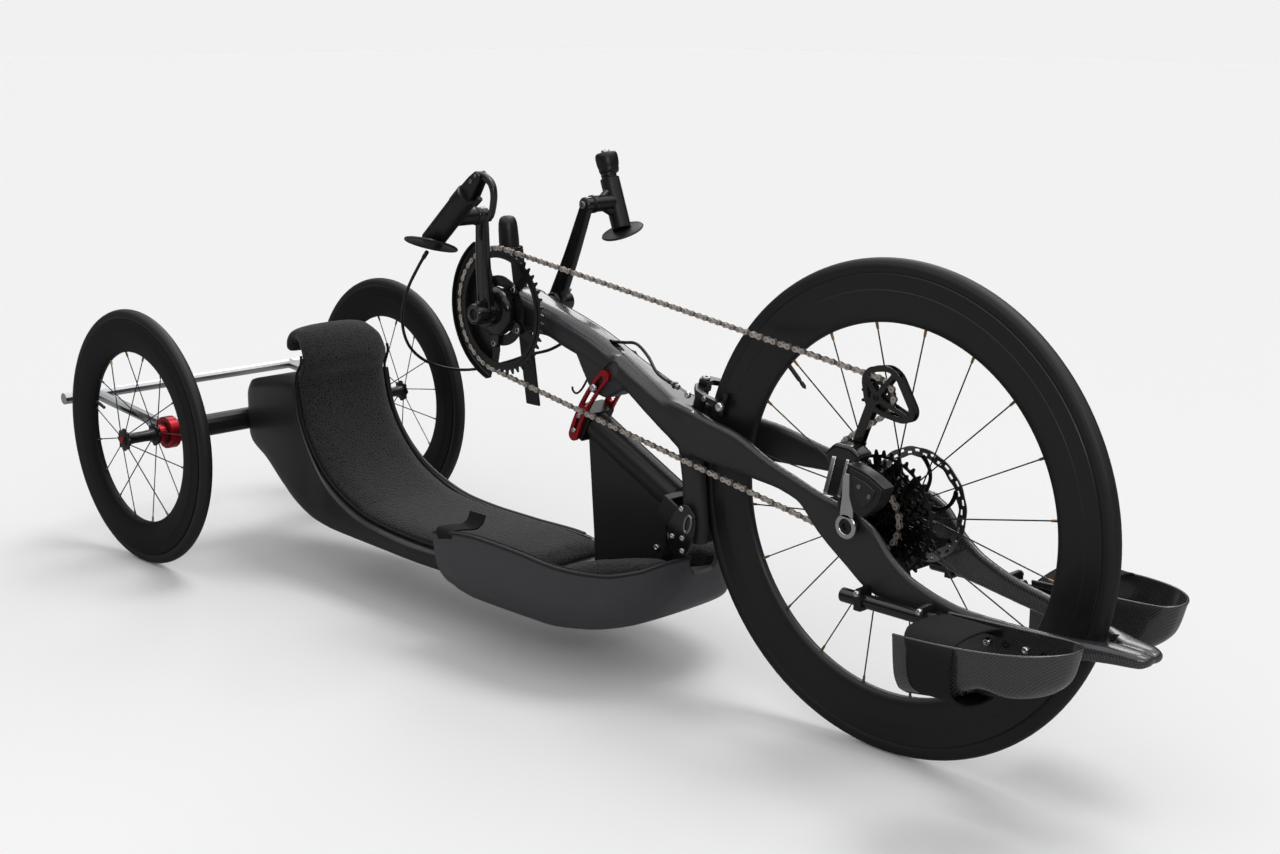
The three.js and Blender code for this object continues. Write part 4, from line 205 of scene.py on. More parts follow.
def beam(name, table, chamfer, radius, level=False):
    """A smooth eight-sided beam. Each row of the table is place, low, high, bottom, top; rows are
    joined by cubics. Level beams are stacked upwards, the others run forwards."""
    t = np.asarray(table, float)
    t = t[np.argsort(t[:, 0])]
    spans = [np.linspace(a, b, 8, endpoint=False) for a, b in zip(t[:-1, 0], t[1:, 0])]
    at = np.concatenate(spans + [t[-1:, 0]])
    low, high, bottom, top = (smooth_values(at, t[:, 0], t[:, i]) for i in range(1, 5))
    ring = rounded(octagons(low, high, bottom, top, chamfer), radius)
    along = np.repeat(at[:, None], ring.shape[1], 1)
    across, ahead = ring[..., 0], ring[..., 1]
    points = np.stack([ahead, across, along] if level else [along, across, ahead], -1)
    return grid_object(name, points, wrap_columns=True, caps=True, smooth=50)


def sweep(name, path, profile, closed=False, up=(0, 0, 1)):
    """A profile of (side, normal) offsets carried along a path, its side at right angles to the up
    direction where it can be."""
    p, profile = np.asarray(path, float), np.asarray(profile, float)
    tangent = unit(np.gradient(p, axis=0))
    side = np.cross(np.asarray(up, float), tangent)
    weak = np.linalg.norm(side, axis=1) < 1e-3
    side[weak] = np.cross((1, 0, 0), tangent[weak])
    side = unit(side)
    normal = np.cross(tangent, side)
    points = p[:, None] + side[:, None] * profile[None, :, :1] + normal[:, None] * profile[None, :, 1:]
    return grid_object(name, points, wrap_rows=closed, wrap_columns=True, caps=not closed)


def circle(radius, sides=16):
    a = np.linspace(0, 2 * np.pi, sides, endpoint=False)
    return np.stack([radius * np.cos(a), radius * np.sin(a)], -1)


def star(axis, sides):
    """The axis as a unit vector, and unit vectors at right angles to it, all the way round."""
    a = np.asarray(axis, float) / np.linalg.norm(axis)
    helper = np.array([0.0, 0.0, 1.0]) if abs(a[2]) < 0.9 else np.array([1.0, 0.0, 0.0])
    u = np.cross(a, helper)
    u /= np.linalg.norm(u)
    v = np.cross(a, u)
    turn = np.linspace(0, 2 * np.pi, sides, endpoint=False)
    return a, np.cos(turn)[:, None] * u + np.sin(turn)[:, None] * v


def revolve(name, profile, centre, axis=(0, 1, 0), sides=64, smooth=30):
    """A closed profile of (radius, distance along the axis) turned about an axis through centre."""
    a, spoke = star(axis, sides)
    p = np.asarray(profile, float)
    points = np.asarray(centre, float) + spoke[:, None] * p[None, :, :1] + a * p[None, :, 1:]
    return grid_object(name, points, wrap_rows=True, wrap_columns=True, smooth=smooth)


def solid_turn(name, profile, centre, axis=(0, 1, 0), sides=32, smooth=30):
    """A solid of revolution whose open profile starts and ends on the axis."""
    obj = revolve(name, list(profile), centre, axis, sides, smooth)
    fix_normals(obj.data, 1e-6)
    shade(obj.data, smooth)
    return obj


def many(name, points, faces, places, smooth=40):
    """One mesh of the same small shape at many places: each place is a 4 x 3 array of its three
    directions and its origin."""
    places = np.asarray(places, float)
    points = np.asarray(points, float)
    whole = np.einsum("pj,kji->kpi", points, places[:, :3]) + places[:, None, 3]
    count = len(points)
    all_faces = [[int(i) + k * count for i in f] for k in range(len(places)) for f in faces]
    return mesh_object(name, whole.reshape(-1, 3), all_faces, smooth)


def prism(outline, depth):
    """Points and faces of a flat outline made thick: its corners at zero, then at the depth."""
    o = np.asarray(outline, float)
    n = len(o)
    points = np.vstack([np.column_stack([o, np.zeros(n)]), np.column_stack([o, np.full(n, depth)])])
    faces = [[i, (i + 1) % n, n + (i + 1) % n, n + i] for i in range(n)]
    return points, faces + [list(range(n))[::-1], list(range(n, 2 * n))]


def finish_edges(obj, width, segments=2):
    """A small bevel on the sharp edges."""
    bevel = obj.modifiers.new("edges", "BEVEL")
    bevel.width = width * MM
    bevel.segments = segments
    bevel.limit_method = "ANGLE"
    bevel.angle_limit = math.radians(32)
    bevel.harden_normals = False
    return obj


def dress(obj, body, finish, *nodes, slot=None):
    """The piece rides on its body, takes its finish and stands for the named nodes. The slot argument is not
    used."""
    obj.data.materials.clear()
    obj.data.materials.append(MATERIALS[finish])
    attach(obj, body)
    if nodes:
        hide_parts(*nodes)
    return obj


def slab(name, points, faces, shift):
    """A flat or curved patch made solid: a copy moved by the shift, and walls on every free edge."""
    p = np.asarray(points, float)
    f = np.asarray(faces, int)
    count = len(p)
    edges = np.concatenate([np.stack([f[:, i], f[:, (i + 1) % f.shape[1]]], 1) for i in range(f.shape[1])])
    free = edges[~np.isin(edges[:, 0] * count + edges[:, 1], edges[:, 1] * count + edges[:, 0])]
    walls = np.stack([free[:, 1], free[:, 0], free[:, 0] + count, free[:, 1] + count], 1)
    both = np.vstack([p, p + np.asarray(shift, float)])
    every = f.tolist() + (f[:, ::-1] + count).tolist() + walls.tolist()
    obj = mesh_object(name, both, every, 30)
    work = bmesh.new()
    work.from_mesh(obj.data)
    loose = [v for v in work.verts if not v.link_faces]
    bmesh.ops.delete(work, geom=loose, context="VERTS")
    work.to_mesh(obj.data)
    work.free()
    shade(obj.data, 30)
    return obj


def shell(name, outer, inner, smooth=40):
    """A wall between two grids of the same size, closed along all four borders."""
    rows, columns = outer.shape[:2]
    count = rows * columns
    sheet = grid_faces(rows, columns)
    border = np.concatenate([
        np.arange(columns), np.arange(1, rows) * columns + columns - 1,
        (rows - 1) * columns + np.arange(columns - 2, -1, -1), np.arange(rows - 2, 0, -1) * columns])
    after = np.roll(border, -1)
    walls = np.stack([border, after, after + count, border + count], 1)
    points = np.vstack([outer.reshape(-1, 3), inner.reshape(-1, 3)])
    return mesh_object(name, points, np.vstack([sheet, sheet[:, ::-1] + count, walls]).tolist(), smooth)


def rods(name, starts, ends, radius, sides=8, end_radius=None):
    """Straight round rods between pairs of points, all in one mesh."""
    a, b = np.atleast_2d(np.asarray(starts, float)), np.atleast_2d(np.asarray(ends, float))
    axis = unit(b - a)
    u = unit(np.cross(axis, np.where(np.abs(axis[:, 2:]) < 0.9, [[0.0, 0.0, 1.0]], [[1.0, 0.0, 0.0]])))
    v = np.cross(axis, u)
    turn = np.linspace(0, 2 * np.pi, sides, endpoint=False)
    spoke = np.cos(turn)[None, :, None] * u[:, None] + np.sin(turn)[None, :, None] * v[:, None]
    far = radius if end_radius is None else end_radius
    points = np.stack([a[:, None] + spoke * radius, b[:, None] + spoke * far], 1)
    faces = []
    for k in range(len(a)):
        first = k * 2 * sides
        near = list(range(first, first + sides))
        away = list(range(first + sides, first + 2 * sides))
        faces += [near, away]
        faces += [[near[i - 1], near[i], away[i], away[i - 1]] for i in [*range(1, sides), 0]]
    return mesh_object(name, points.reshape(-1, 3), faces)


def bolts(name, places, axis, radius, height, sides=16):
    """Domed bolt heads with a hexagon socket, all facing along one axis."""
    profile = [(0, 0), (1, 0), (1, 0.55), (0.93, 0.82), (0.75, 1), (0.5, 1), (0.46, 0.35), (0, 0.35)]
    a, spoke = star(axis, sides)
    p = np.asarray(profile) * [radius, height]
    ring = (spoke[None] * p[1:-1, None, :1] + a * p[1:-1, None, 1:]).reshape(-1, 3)
    poles = np.array([a * p[0, 1], a * p[-1, 1]])
    one = np.vstack([ring, poles])
    rows = len(p) - 2
    faces = grid_faces(rows, sides, wrap_columns=True).tolist()
    last = rows * sides
    faces += [[last, i, (i + 1) % sides] for i in range(sides)]
    faces += [[last + 1, last - sides + i, last - sides + (i + 1) % sides] for i in range(sides)]
    places = np.atleast_2d(np.asarray(places, float))
    points = (places[:, None] + one[None]).reshape(-1, 3)
    every = [[i + k * len(one) for i in f] for k in range(len(places)) for f in faces]
    return mesh_object(name, points, every, 35)


def disc(name, centre, y, thickness, radii, columns, kept=None, phase=0.0):
    """A flat wheel: a polar grid whose rows lie at the radii, each a number or one value to a
    column; cells that are not kept become windows."""
    angle = phase + np.linspace(0, 2 * np.pi, columns, endpoint=False)
    rows = np.stack([np.broadcast_to(np.asarray(r, float), columns) for r in radii])
    points = np.stack([centre[0] + rows * np.cos(angle), np.full_like(rows, y - thickness / 2),
                       centre[1] + rows * np.sin(angle)], -1)
    faces = grid_faces(len(rows), columns, wrap_columns=True)
    if kept is not None:
        faces = faces[np.asarray(kept, bool).reshape(-1)]
    return slab(name, points.reshape(-1, 3), faces, (0, thickness, 0))


def tooth_radii(teeth, pitch_radius, per_tooth, tip_height=3.2):
    """Radius over the columns: a valley at each roller, a tooth with a narrow top midway."""
    u = (np.arange(teeth * per_tooth) / per_tooth + 0.5) % 1 - 0.5
    rise = np.clip((np.abs(u) - 0.2) / 0.22, 0, 1)
    root_depth = 4.1
    return pitch_radius - root_depth + (root_depth + tip_height) * rise * rise * (3 - 2 * rise)


# Materials: all read Object coordinates, so a pattern stays on its piece.


class Paint:
    """Builds one material: a shader and the nodes that feed it."""

    def __init__(self, name, colour, roughness, metallic=0.0, coat=0.0, specular=0.5):
        self.material = bpy.data.materials.new(name)
        self.material.use_nodes = True
        self.nodes = self.material.node_tree.nodes
        self.links = self.material.node_tree.links
        self.shader = self.nodes["Principled BSDF"]
        self.shader.inputs["Metallic"].default_value = metallic
        self.shader.inputs["Roughness"].default_value = roughness
        self.shader.inputs["Coat Weight"].default_value = coat
        self.shader.inputs["Coat Roughness"].default_value = 0.12
        self.shader.inputs["Specular IOR Level"].default_value = specular
        self.colour = colour
        self.roughness = roughness
        self.coordinates = self.nodes.new("ShaderNodeTexCoord")

    def texture(self, kind, scale, **sockets):
        node = self.nodes.new(kind)
        node.inputs["Scale"].default_value = scale
        for key, value in sockets.items():
            node.inputs[key].default_value = value
        self.links.new(self.coordinates.outputs["Object"], node.inputs["Vector"])
        return node

    def noise(self, scale, detail):
        return self.texture("ShaderNodeTexNoise", scale, Detail=detail).outputs["Fac"]

    def tint(self, factor, low, high):
        """The colour runs from low to high times the base as the factor goes from 0 to 1."""
        ramp = self.nodes.new("ShaderNodeMapRange")
        ramp.inputs["To Min"].default_value = low
        ramp.inputs["To Max"].default_value = high
        self.links.new(factor, ramp.inputs["Value"])
        mix = self.nodes.new("ShaderNodeVectorMath")
        mix.operation = "SCALE"
        mix.inputs[0].default_value = self.colour[:3]
        self.links.new(ramp.outputs["Result"], mix.inputs["Scale"])
        self.links.new(mix.outputs["Vector"], self.shader.inputs["Base Color"])

    def rough(self, factor, spread):
        ramp = self.nodes.new("ShaderNodeMapRange")
        ramp.inputs["To Min"].default_value = max(0.03, self.roughness - spread)
        ramp.inputs["To Max"].default_value = min(1.0, self.roughness + spread)
        self.links.new(factor, ramp.inputs["Value"])
        self.links.new(ramp.outputs["Result"], self.shader.inputs["Roughness"])

    def bump(self, height, distance, strength=1.0):
        node = self.nodes.new("ShaderNodeBump")
        node.inputs["Distance"].default_value = distance * MM
        node.inputs["Strength"].default_value = strength
        self.links.new(height, node.inputs["Height"])
        self.links.new(node.outputs["Normal"], self.shader.inputs["Normal"])

    def maths(self, operation, a, b):
        node = self.nodes.new("ShaderNodeMath")
        node.operation = operation
        for socket, value in zip(node.inputs, (a, b)):
            if isinstance(value, (int, float)):
                socket.default_value = value
            else:
                self.links.new(value, socket)
        return node.outputs[0]

    def axis(self, x, y, z, scale):
        """A saw that repeats along one direction: the place along it times the scale."""
        dot = self.nodes.new("ShaderNodeVectorMath")
        dot.operation = "DOT_PRODUCT"
        dot.inputs[1].default_value = (x * scale, y * scale, z * scale)
        self.links.new(self.coordinates.outputs["Object"], dot.inputs[0])
        return dot.outputs["Value"]


def plain_finish(name, colour, roughness, metallic=0.0, coat=0.0, grain=900, depth=0.02, spread=0.08,
                 patch=18, specular=0.5):
    """Moulded, painted or machined finish: fine grain in the bump, slow patches in the gloss."""
    paint = Paint(name, colour, roughness, metallic, coat, specular)
    fine = paint.noise(grain, 3.0)
    slow = paint.noise(patch, 4.0)
    paint.tint(slow, 0.82, 1.18)
    paint.rough(slow, spread)
    paint.bump(fine, depth)
    return paint.material


def twill(name, colour, roughness, coat, tow=2.2, contrast=0.35):
    """Woven carbon seen through clear coat. Each tow is one step of two saws across the piece, and
    a thread shows on top where the sum of the steps is even."""
    paint = Paint(name, colour, roughness, 0.0, coat)
    scale = 1 / (tow * MM)
    across = paint.maths("FLOOR", paint.axis(1.0, 0.6, 0.0, scale), 0)
    along = paint.maths("FLOOR", paint.axis(0.0, 0.8, 1.0, scale), 0)
    total = paint.maths("ADD", across, along)
    share = paint.maths("FLOORED_MODULO", total, 2.0)
    over = paint.maths("LESS_THAN", share, 0.5)
    slow = paint.noise(9, 3.0)
    shown = paint.maths("ADD", paint.maths("MULTIPLY", over, contrast), paint.maths("MULTIPLY", slow, 0.5))
    paint.tint(shown, 0.5, 2.6)
    paint.rough(shown, 0.12)
    paint.bump(over, 0.03, 0.35)
    return paint.material


def satin_carbon(name, colour, roughness):
    """Painted carbon: even satin with a faint orange-peel and slow change of gloss."""
    return plain_finish(name, colour, roughness, 0.0, 0.06, 420, 0.015, 0.06, 5, 0.34)


def frame_carbon(name, colour):
    """Painted carbon that turns into clear-coated plain weave where the weave attribute is one."""
    paint = Paint(name, colour, 0.34)
    weave = paint.nodes.new("ShaderNodeAttribute")
    weave.attribute_name = "weave"
    shown = weave.outputs["Fac"]
    scale = 1 / (2.5 * MM)
    across = paint.maths("FLOOR", paint.axis(0.0, 1.0, 1.0, scale), 0)
    along = paint.maths("FLOOR", paint.axis(1.0, 0.0, -0.6, scale), 0)
    over = paint.maths("LESS_THAN", paint.maths("FLOORED_MODULO", paint.maths("ADD", across, along), 2.0),
                       0.5)
    slow = paint.noise(6, 4.0)
    cloth = paint.maths("MULTIPLY", over, shown)
    paint.tint(paint.maths("ADD", paint.maths("MULTIPLY", cloth, 1.6), paint.maths("MULTIPLY", slow, 0.4)),
               0.8, 3.4)
    paint.rough(paint.maths("SUBTRACT", paint.maths("ADD", slow, 0.3), shown), 0.09)
    paint.links.new(paint.maths("MULTIPLY", shown, 0.7), paint.shader.inputs["Coat Weight"])
    fine = paint.noise(420, 3.0)
    paint.bump(paint.maths("ADD", fine, cloth), 0.02)
    return paint.material


def spacer_mesh(name, colour):
    """Knitted spacer fabric: a honeycomb of small holes between raised threads, with painted shade darkening
    the holes.
    """
    paint = Paint(name, colour, 0.9, 0.0, 0.0, 0.15)
    cells = paint.texture("ShaderNodeTexVoronoi", 190)
    cells.feature = "DISTANCE_TO_EDGE"
    slow = paint.noise(14, 4.0)
    open_share = paint.maths("SMOOTH_MIN", paint.maths("MULTIPLY", cells.outputs["Distance"], 3.0), 1.0)
    # The colour runs from a tenth of the base in the open cells to four times it on the threads: the dark in
    # the holes is painted shade.
    paint.tint(paint.maths("ADD", paint.maths("SUBTRACT", 1.0, open_share),
                           paint.maths("MULTIPLY", slow, 0.3)), 0.1, 4.0)
    paint.bump(paint.maths("SUBTRACT", 1.0, open_share), 0.8, 1.0)
    paint.shader.inputs["Sheen Weight"].default_value = 0.15
    return paint.material


def webbing(name, colour):
    """Woven strap: fine ribs across it."""
    paint = Paint(name, colour, 0.85, 0.0, 0.0, 0.3)
    ribs = paint.texture("ShaderNodeTexWave", 330, Distortion=0.6, Detail=1.0)
    ribs.bands_direction = "DIAGONAL"
    paint.tint(ribs.outputs["Fac"], 0.5, 1.6)
    paint.bump(ribs.outputs["Fac"], 0.25, 0.7)
    return paint.material


def tyre_rubber(name, colour):
    paint = Paint(name, colour, 0.5, 0.0, 0.0, 0.5)
    fine = paint.noise(700, 4.0)
    slow = paint.noise(12, 4.0)
    paint.tint(slow, 0.75, 1.3)
    paint.rough(slow, 0.1)
    paint.bump(fine, 0.05)
    return paint.material


class HandcycleFinishes(bpy.types.PropertyGroup):
    """Colours that a user would change."""

    frame_colour: bpy.props.FloatVectorProperty(
        name="Frame colour", description="Satin colour of the carbon frame", subtype="COLOR", size=3,
        default=(0.012, 0.012, 0.0135), min=0, max=1)
    accent_colour: bpy.props.FloatVectorProperty(
        name="Accent colour", description="Anodised plates, receivers and clamps", subtype="COLOR", size=3,
        default=(0.36, 0.007, 0.016), min=0, max=1)
    rim_colour: bpy.props.FloatVectorProperty(
        name="Rim colour", description="Deep rims", subtype="COLOR", size=3,
        default=(0.006, 0.006, 0.007), min=0, max=1)
    cushion_colour: bpy.props.FloatVectorProperty(
        name="Cushion colour", description="Mesh of the cushion and leg pads", subtype="COLOR", size=3,
        default=(0.0055, 0.0055, 0.006), min=0, max=1)


class HandcycleSizes(bpy.types.PropertyGroup):
    """Sizes that a user would change."""

    spoke_radius: bpy.props.FloatProperty(
        name="Spoke radius", description="Half the thickness of a spoke, in millimetres", default=1.0,
        min=0.5, max=2)
    lip_radius: bpy.props.FloatProperty(
        name="Lip bead", description="Radius of the bead on the tub's lip, in millimetres", default=4.0,
        min=1, max=8)
    floor_size: bpy.props.FloatProperty(
        name="Floor size", description="Half the width of the floor", default=30.0, min=4, max=60,
        unit="LENGTH")


MATERIALS = {}


def make_materials(finishes):
    carbon = tuple(finishes.frame_colour)
    red = tuple(finishes.accent_colour)
    rim = tuple(finishes.rim_colour)
    cloth = tuple(finishes.cushion_colour)
    MATERIALS.update({
        "satin": satin_carbon("satin carbon", carbon, 0.36),
        "frame carbon": frame_carbon("frame carbon", carbon),
        # The nose pod takes the frame's satin carbon made 3.2 times lighter: that extra lightness is painted
        # reflection of the pale floor on the pod's lower sides.
        "pod": satin_carbon("nose pod carbon with painted floor reflection", tuple(3.2 * c for c in carbon), 0.3),
        "gloss": twill("glossy woven carbon", (0.013, 0.013, 0.014), 0.3, 0.9, 2.0, 1.0),
        "rim": plain_finish("rim carbon", rim, 0.42, 0.0, 0.1, 600, 0.01, 0.05, 8),
        "rear rim": plain_finish("rear rim carbon", rim, 0.45, 0.0, 0.0, 600, 0.01, 0.05, 8, 0.16),
        "tyre": tyre_rubber("road tyre", (0.006, 0.006, 0.0065)),
        "cable": plain_finish("cable housing", (0.004, 0.004, 0.0045), 0.35, 0, 0.1, 1500, 0.02),
        "black alloy": plain_finish("black anodised alloy", (0.008, 0.008, 0.009), 0.28, 0.3, 0.15, 1400,
                                    0.012, 0.08),
        "gloss alloy": plain_finish("gloss black alloy", (0.005, 0.005, 0.0055), 0.14, 0.2, 0.6, 1400, 0.006,
                                    0.05),
        "steel": plain_finish("machined steel", (0.34, 0.33, 0.32), 0.32, 1.0, 0, 1800, 0.015, 0.1, 60),
        "gunmetal": plain_finish("gunmetal lever", (0.075, 0.075, 0.08), 0.27, 0.9, 0.1, 1400, 0.01, 0.06,
                                 40),
        "dark steel": plain_finish("dark cassette steel", (0.055, 0.053, 0.052), 0.3, 1.0, 0, 1800, 0.015,
                                   0.1, 60),
        "chain": plain_finish("nickel chain", (0.56, 0.50, 0.45), 0.42, 0.7, 0, 2200, 0.02, 0.12, 90),
        "chain inner": plain_finish("dark chain plates", (0.17, 0.15, 0.13), 0.42, 0.75, 0, 2200, 0.02, 0.1,
                                    90),
        "silver": plain_finish("polished alloy", (0.62, 0.63, 0.65), 0.2, 1.0, 0, 1500, 0.006, 0.06, 25),
        "red": plain_finish("red anodised alloy", red, 0.28, 0.75, 0.2, 1600, 0.01, 0.06, 40),
        "bronze": plain_finish("bronze nipples", (0.42, 0.25, 0.12), 0.3, 1.0, 0, 1500, 0.01),
        "plastic": plain_finish("moulded black plastic", (0.0055, 0.0055, 0.006), 0.38, 0, 0.08, 900, 0.04,
                                0.08),
        "elastomer": plain_finish("tan elastomer", (0.22, 0.15, 0.07), 0.45, 0, 0, 500, 0.05),
        "mesh": spacer_mesh("spacer mesh", cloth),
        "strap": webbing("woven strap", (0.006, 0.006, 0.0065)),
    })


SLOT_FINISH = {
    "satin_carbon": "satin", "gloss_carbon": "gloss", "rubber_tyre": "tyre", "steel": "steel",
    "chain_steel": "chain", "polished_alloy": "silver", "red_alloy": "red", "black_alloy": "black alloy",
    "black_fabric": "mesh", "black_plastic": "plastic", "cable_rubber": "cable", "elastomer": "elastomer",
}
NODE_FINISH = {"front_rim": "rim", "rear_rim_right": "rear rim", "rear_rim_left": "rear rim",
               "cassette": "dark steel", "crank_arm_right": "gloss alloy", "crank_arm_left": "gloss alloy"}


def slot_of(node):
    return next(s["material_slot"] for s in frame["record"]["subparts"] if s["node"] == node)


def body_with(node):
    return next(b for b, nodes in frame["record"]["behaviour"]["bodies"].items() if node in nodes)


def finish_of(node):
    return NODE_FINISH.get(node) or SLOT_FINISH[slot_of(node)]


def frame_point(x, y, z):
    return Vector(placed([x, y, z]).tolist())


# Stage


CAMERA_PLACE = (1380.97, -1856.11, 981.53)
CAMERA_RIGHT = (0.70659922, 0.70758113, 0.00681818)
CAMERA_UP = (-0.16561749, 0.15600449, 0.97377279)
CAMERA_BACK = (0.68795958, -0.68919631, 0.22742046)
CAMERA_LENS = 50.89


def area_light(name, place, target, size, power):
    data = bpy.data.lights.new(name, "AREA")
    data.shape = "RECTANGLE"
    data.size, data.size_y = size
    data.energy = power
    light = bpy.data.objects.new(name, data)
    light.location = place
    direction = Vector(target) - Vector(place)
    light.rotation_euler = direction.to_track_quat("-Z", "Y").to_euler()
    bpy.context.collection.objects.link(light)
    return light


def sun_light(name, direction, angle, strength):
    """A soft lamp that lights the whole floor evenly; the direction points to the lamp."""
    data = bpy.data.lights.new(name, "SUN")
    data.energy = strength
    data.angle = math.radians(angle)
    light = bpy.data.objects.new(name, data)
    light.rotation_euler = Vector(direction).to_track_quat("Z", "Y").to_euler()
    bpy.context.collection.objects.link(light)
    return light


def pale_world(level, overhead, side):
    """Even light on matt surfaces, a studio ceiling and dark walls in reflections, and a pale colour
    behind the object. The ceiling's light rises smoothly with the height of the ray."""
    world = bpy.data.worlds.new("studio")
    bpy.context.scene.world = world
    world.use_nodes = True
    nodes, links = world.node_tree.nodes, world.node_tree.links
    path = nodes.new("ShaderNodeLightPath")
    direction = nodes.new("ShaderNodeTexCoord")
    split = nodes.new("ShaderNodeSeparateXYZ")
    links.new(direction.outputs["Generated"], split.inputs[0])
    ramp = nodes.new("ShaderNodeMapRange")
    ramp.interpolation_type = "SMOOTHSTEP"
    for socket, value in (("From Min", 0.25), ("From Max", 0.75), ("To Min", side), ("To Max", overhead)):
        ramp.inputs[socket].default_value = value
    links.new(split.outputs["Z"], ramp.inputs["Value"])
    lights = [nodes["Background"], nodes.new("ShaderNodeBackground"), nodes.new("ShaderNodeBackground")]
    for light, strength in zip(lights, (level, side, 1.0)):
        light.inputs["Color"].default_value = (1, 1, 1, 1)
        light.inputs["Strength"].default_value = strength
    links.new(ramp.outputs[0], lights[1].inputs["Strength"])
    lights[2].inputs["Color"].default_value = (0.88, 0.88, 0.88, 1)
    shader = lights[0]
    for light, ray in ((lights[1], "Is Glossy Ray"), (lights[2], "Is Camera Ray")):
        mix = nodes.new("ShaderNodeMixShader")
        links.new(path.outputs[ray], mix.inputs[0])
        links.new(shader.outputs[0], mix.inputs[1])
        links.new(light.outputs[0], mix.inputs[2])
        shader = mix
    links.new(shader.outputs[0], nodes["World Output"].inputs["Surface"])


class HANDCYCLE_OT_stage(bpy.types.Operator):
    """Camera at the photographed angle, soft studio lamps and a pale floor"""

    bl_idname = "handcycle.stage"
    bl_label = "Stage"

    def execute(self, context):
        scene = context.scene
        scene.view_settings.view_transform = "Standard"
        data = bpy.data.cameras.new("camera")
        data.lens = CAMERA_LENS
        data.sensor_width = 36
        data.clip_end = 200
        camera = bpy.data.objects.new("camera", data)
        turn = Matrix((CAMERA_RIGHT, CAMERA_UP, CAMERA_BACK)).transposed()
        camera.matrix_world = Matrix.Translation(frame_point(*CAMERA_PLACE)) @ turn.to_4x4()
        context.collection.objects.link(camera)
        scene.camera = camera
        pale_world(0.68, 1.1, 0.05)
        middle = (0, 0, 0.35)
        sun_light("key", (0.3, 0.8, 2.6), 26, 0.85)
        sun_light("back", (-1.2, 1.6, 1.3), 26, 0.4)
        area_light("side", (2.4, -1.6, 1.5), middle, (1.4, 0.5), 9)
        size = scene.handcycle_sizes.floor_size
        half = size / MM
        floor = mesh_object("floor", [(-half, -half, 0), (half, -half, 0), (half, half, 0), (-half, half, 0)],
                            [(0, 1, 2, 3)])
        paint = Paint("pale floor", (0.88, 0.88, 0.88), 1.0)
        slow = paint.noise(1.2, 2.0)
        ray = paint.nodes.new("ShaderNodeLightPath")
        dimmed = paint.maths("MULTIPLY", ray.outputs["Is Glossy Ray"], 0.62)
        grey = paint.maths("SUBTRACT", paint.maths("ADD", 0.878, paint.maths("MULTIPLY", slow, 0.004)),
                           dimmed)
        paint.links.new(grey, paint.shader.inputs["Base Color"])
        paint.shader.inputs["Specular IOR Level"].default_value = 0.0
        floor.data.materials.append(paint.material)
        return {"FINISHED"}


class HANDCYCLE_OT_carried_nodes(bpy.types.Operator):
    """Gives each carried-over solid its material, and rounds the edges of the machined ones"""

    bl_idname = "handcycle.carried_nodes"
    bl_label = "Carried-over solids"

    rounded_nodes = {"steering_shaft": 1.2, "bottom_bracket": 0.6, "front_axle": 0.6, "derailleur_body": 0.9,
                     "disc_caliper": 1.5, "crank_spindle": 0.5, "caliper_arm_right": 1.0,
                     "caliper_arm_left": 1.0, "bumper_clamp_right": 0.8, "bumper_clamp_left": 0.8,
                     "axle_receiver_right": 0.8, "axle_receiver_left": 0.8, "centering_elastomer": 0.8}

    def execute(self, context):
        for name, node in frame["nodes"].items():
            node.data.materials.clear()
            node.data.materials.append(MATERIALS[finish_of(name)])
        for name, width in self.rounded_nodes.items():
            copy = bpy.data.objects.new(name + "_rounded", frame["nodes"][name].data.copy())
            context.collection.objects.link(copy)
            work = bmesh.new()
            work.from_mesh(copy.data)
            bmesh.ops.remove_doubles(work, verts=work.verts, dist=1e-5)
            bmesh.ops.dissolve_limit(work, angle_limit=math.radians(1), verts=work.verts, edges=work.edges)
            work.to_mesh(copy.data)
            work.free()
            shade(copy.data, 32)
            finish_edges(copy, width)
            dress(copy, body_with(name), finish_of(name), name)
        return {"FINISHED"}


# The chain's path


def pitch_radius(teeth, pitch):
    return pitch / (2 * math.sin(math.pi / teeth))


def chain_fit():
    """Loop of the chain over four toothed wheels: outer tangents between them, and a pitch that
    closes it with an even number of links. Gives each roller's place and the wheels' phases."""
    spots = ((CRANK, 48, -1), (TENSION_PULLEY, 12, -1), (GUIDE_PULLEY, 12, 1), (HUB, COGS[ENGAGED_COG], -1))
    pitch = CHAIN_PITCH
    for _ in range(9):
        wheels = [(np.array(c), n, t, pitch_radius(n, pitch)) for c, n, t in spots]
        spans, wraps = [], []
        for i, (c, n, t, r) in enumerate(wheels):
            c2, _, t2, r2 = wheels[(i + 1) % 4]
            step = c2 - c
            length = np.hypot(*step)
            swing = math.asin((t * r - t2 * r2) / length)
            line = math.atan2(step[1], step[0]) + swing
            off = np.array([math.sin(line), -math.cos(line)])
            spans.append((c + t * r * off, c2 + t2 * r2 * off, length * math.cos(swing)))
        for i, (c, n, t, r) in enumerate(wheels):
            arrive, leave = spans[i - 1][1] - c, spans[i][0] - c
            first = math.atan2(arrive[1], arrive[0])
            turned = ((math.atan2(leave[1], leave[0]) - first) * t) % (2 * math.pi)
            wraps.append((first, turned * t, turned * n / (2 * math.pi)))
        straight = sum(s[2] for s in spans)
        wrapped = sum(w[2] for w in wraps)
        links = 2 * round((wrapped + straight / CHAIN_PITCH) / 2)
        pitch, used = straight / (links - wrapped), pitch
    places, phases, at = [], {}, 0.0
    position = 0
    for (c, n, t, r), (first, angle, share), (a, b, length) in zip(wheels, wraps, spans):
        while position < at + share - 1e-9:
            turn = first + angle * (position - at) / share
            phases.setdefault((n, tuple(c)), turn)
            places.append(c + r * np.array([math.cos(turn), math.sin(turn)]))
            position += 1
        at += share
        while position < at + length / used - 1e-9:
            places.append(a + (b - a) * (position - at) * used / length)
            position += 1
        at += length / used
    return np.array(places[:links]), phases, used


CHAIN_PLACES, CHAIN_PHASES, FITTED_PITCH = chain_fit()


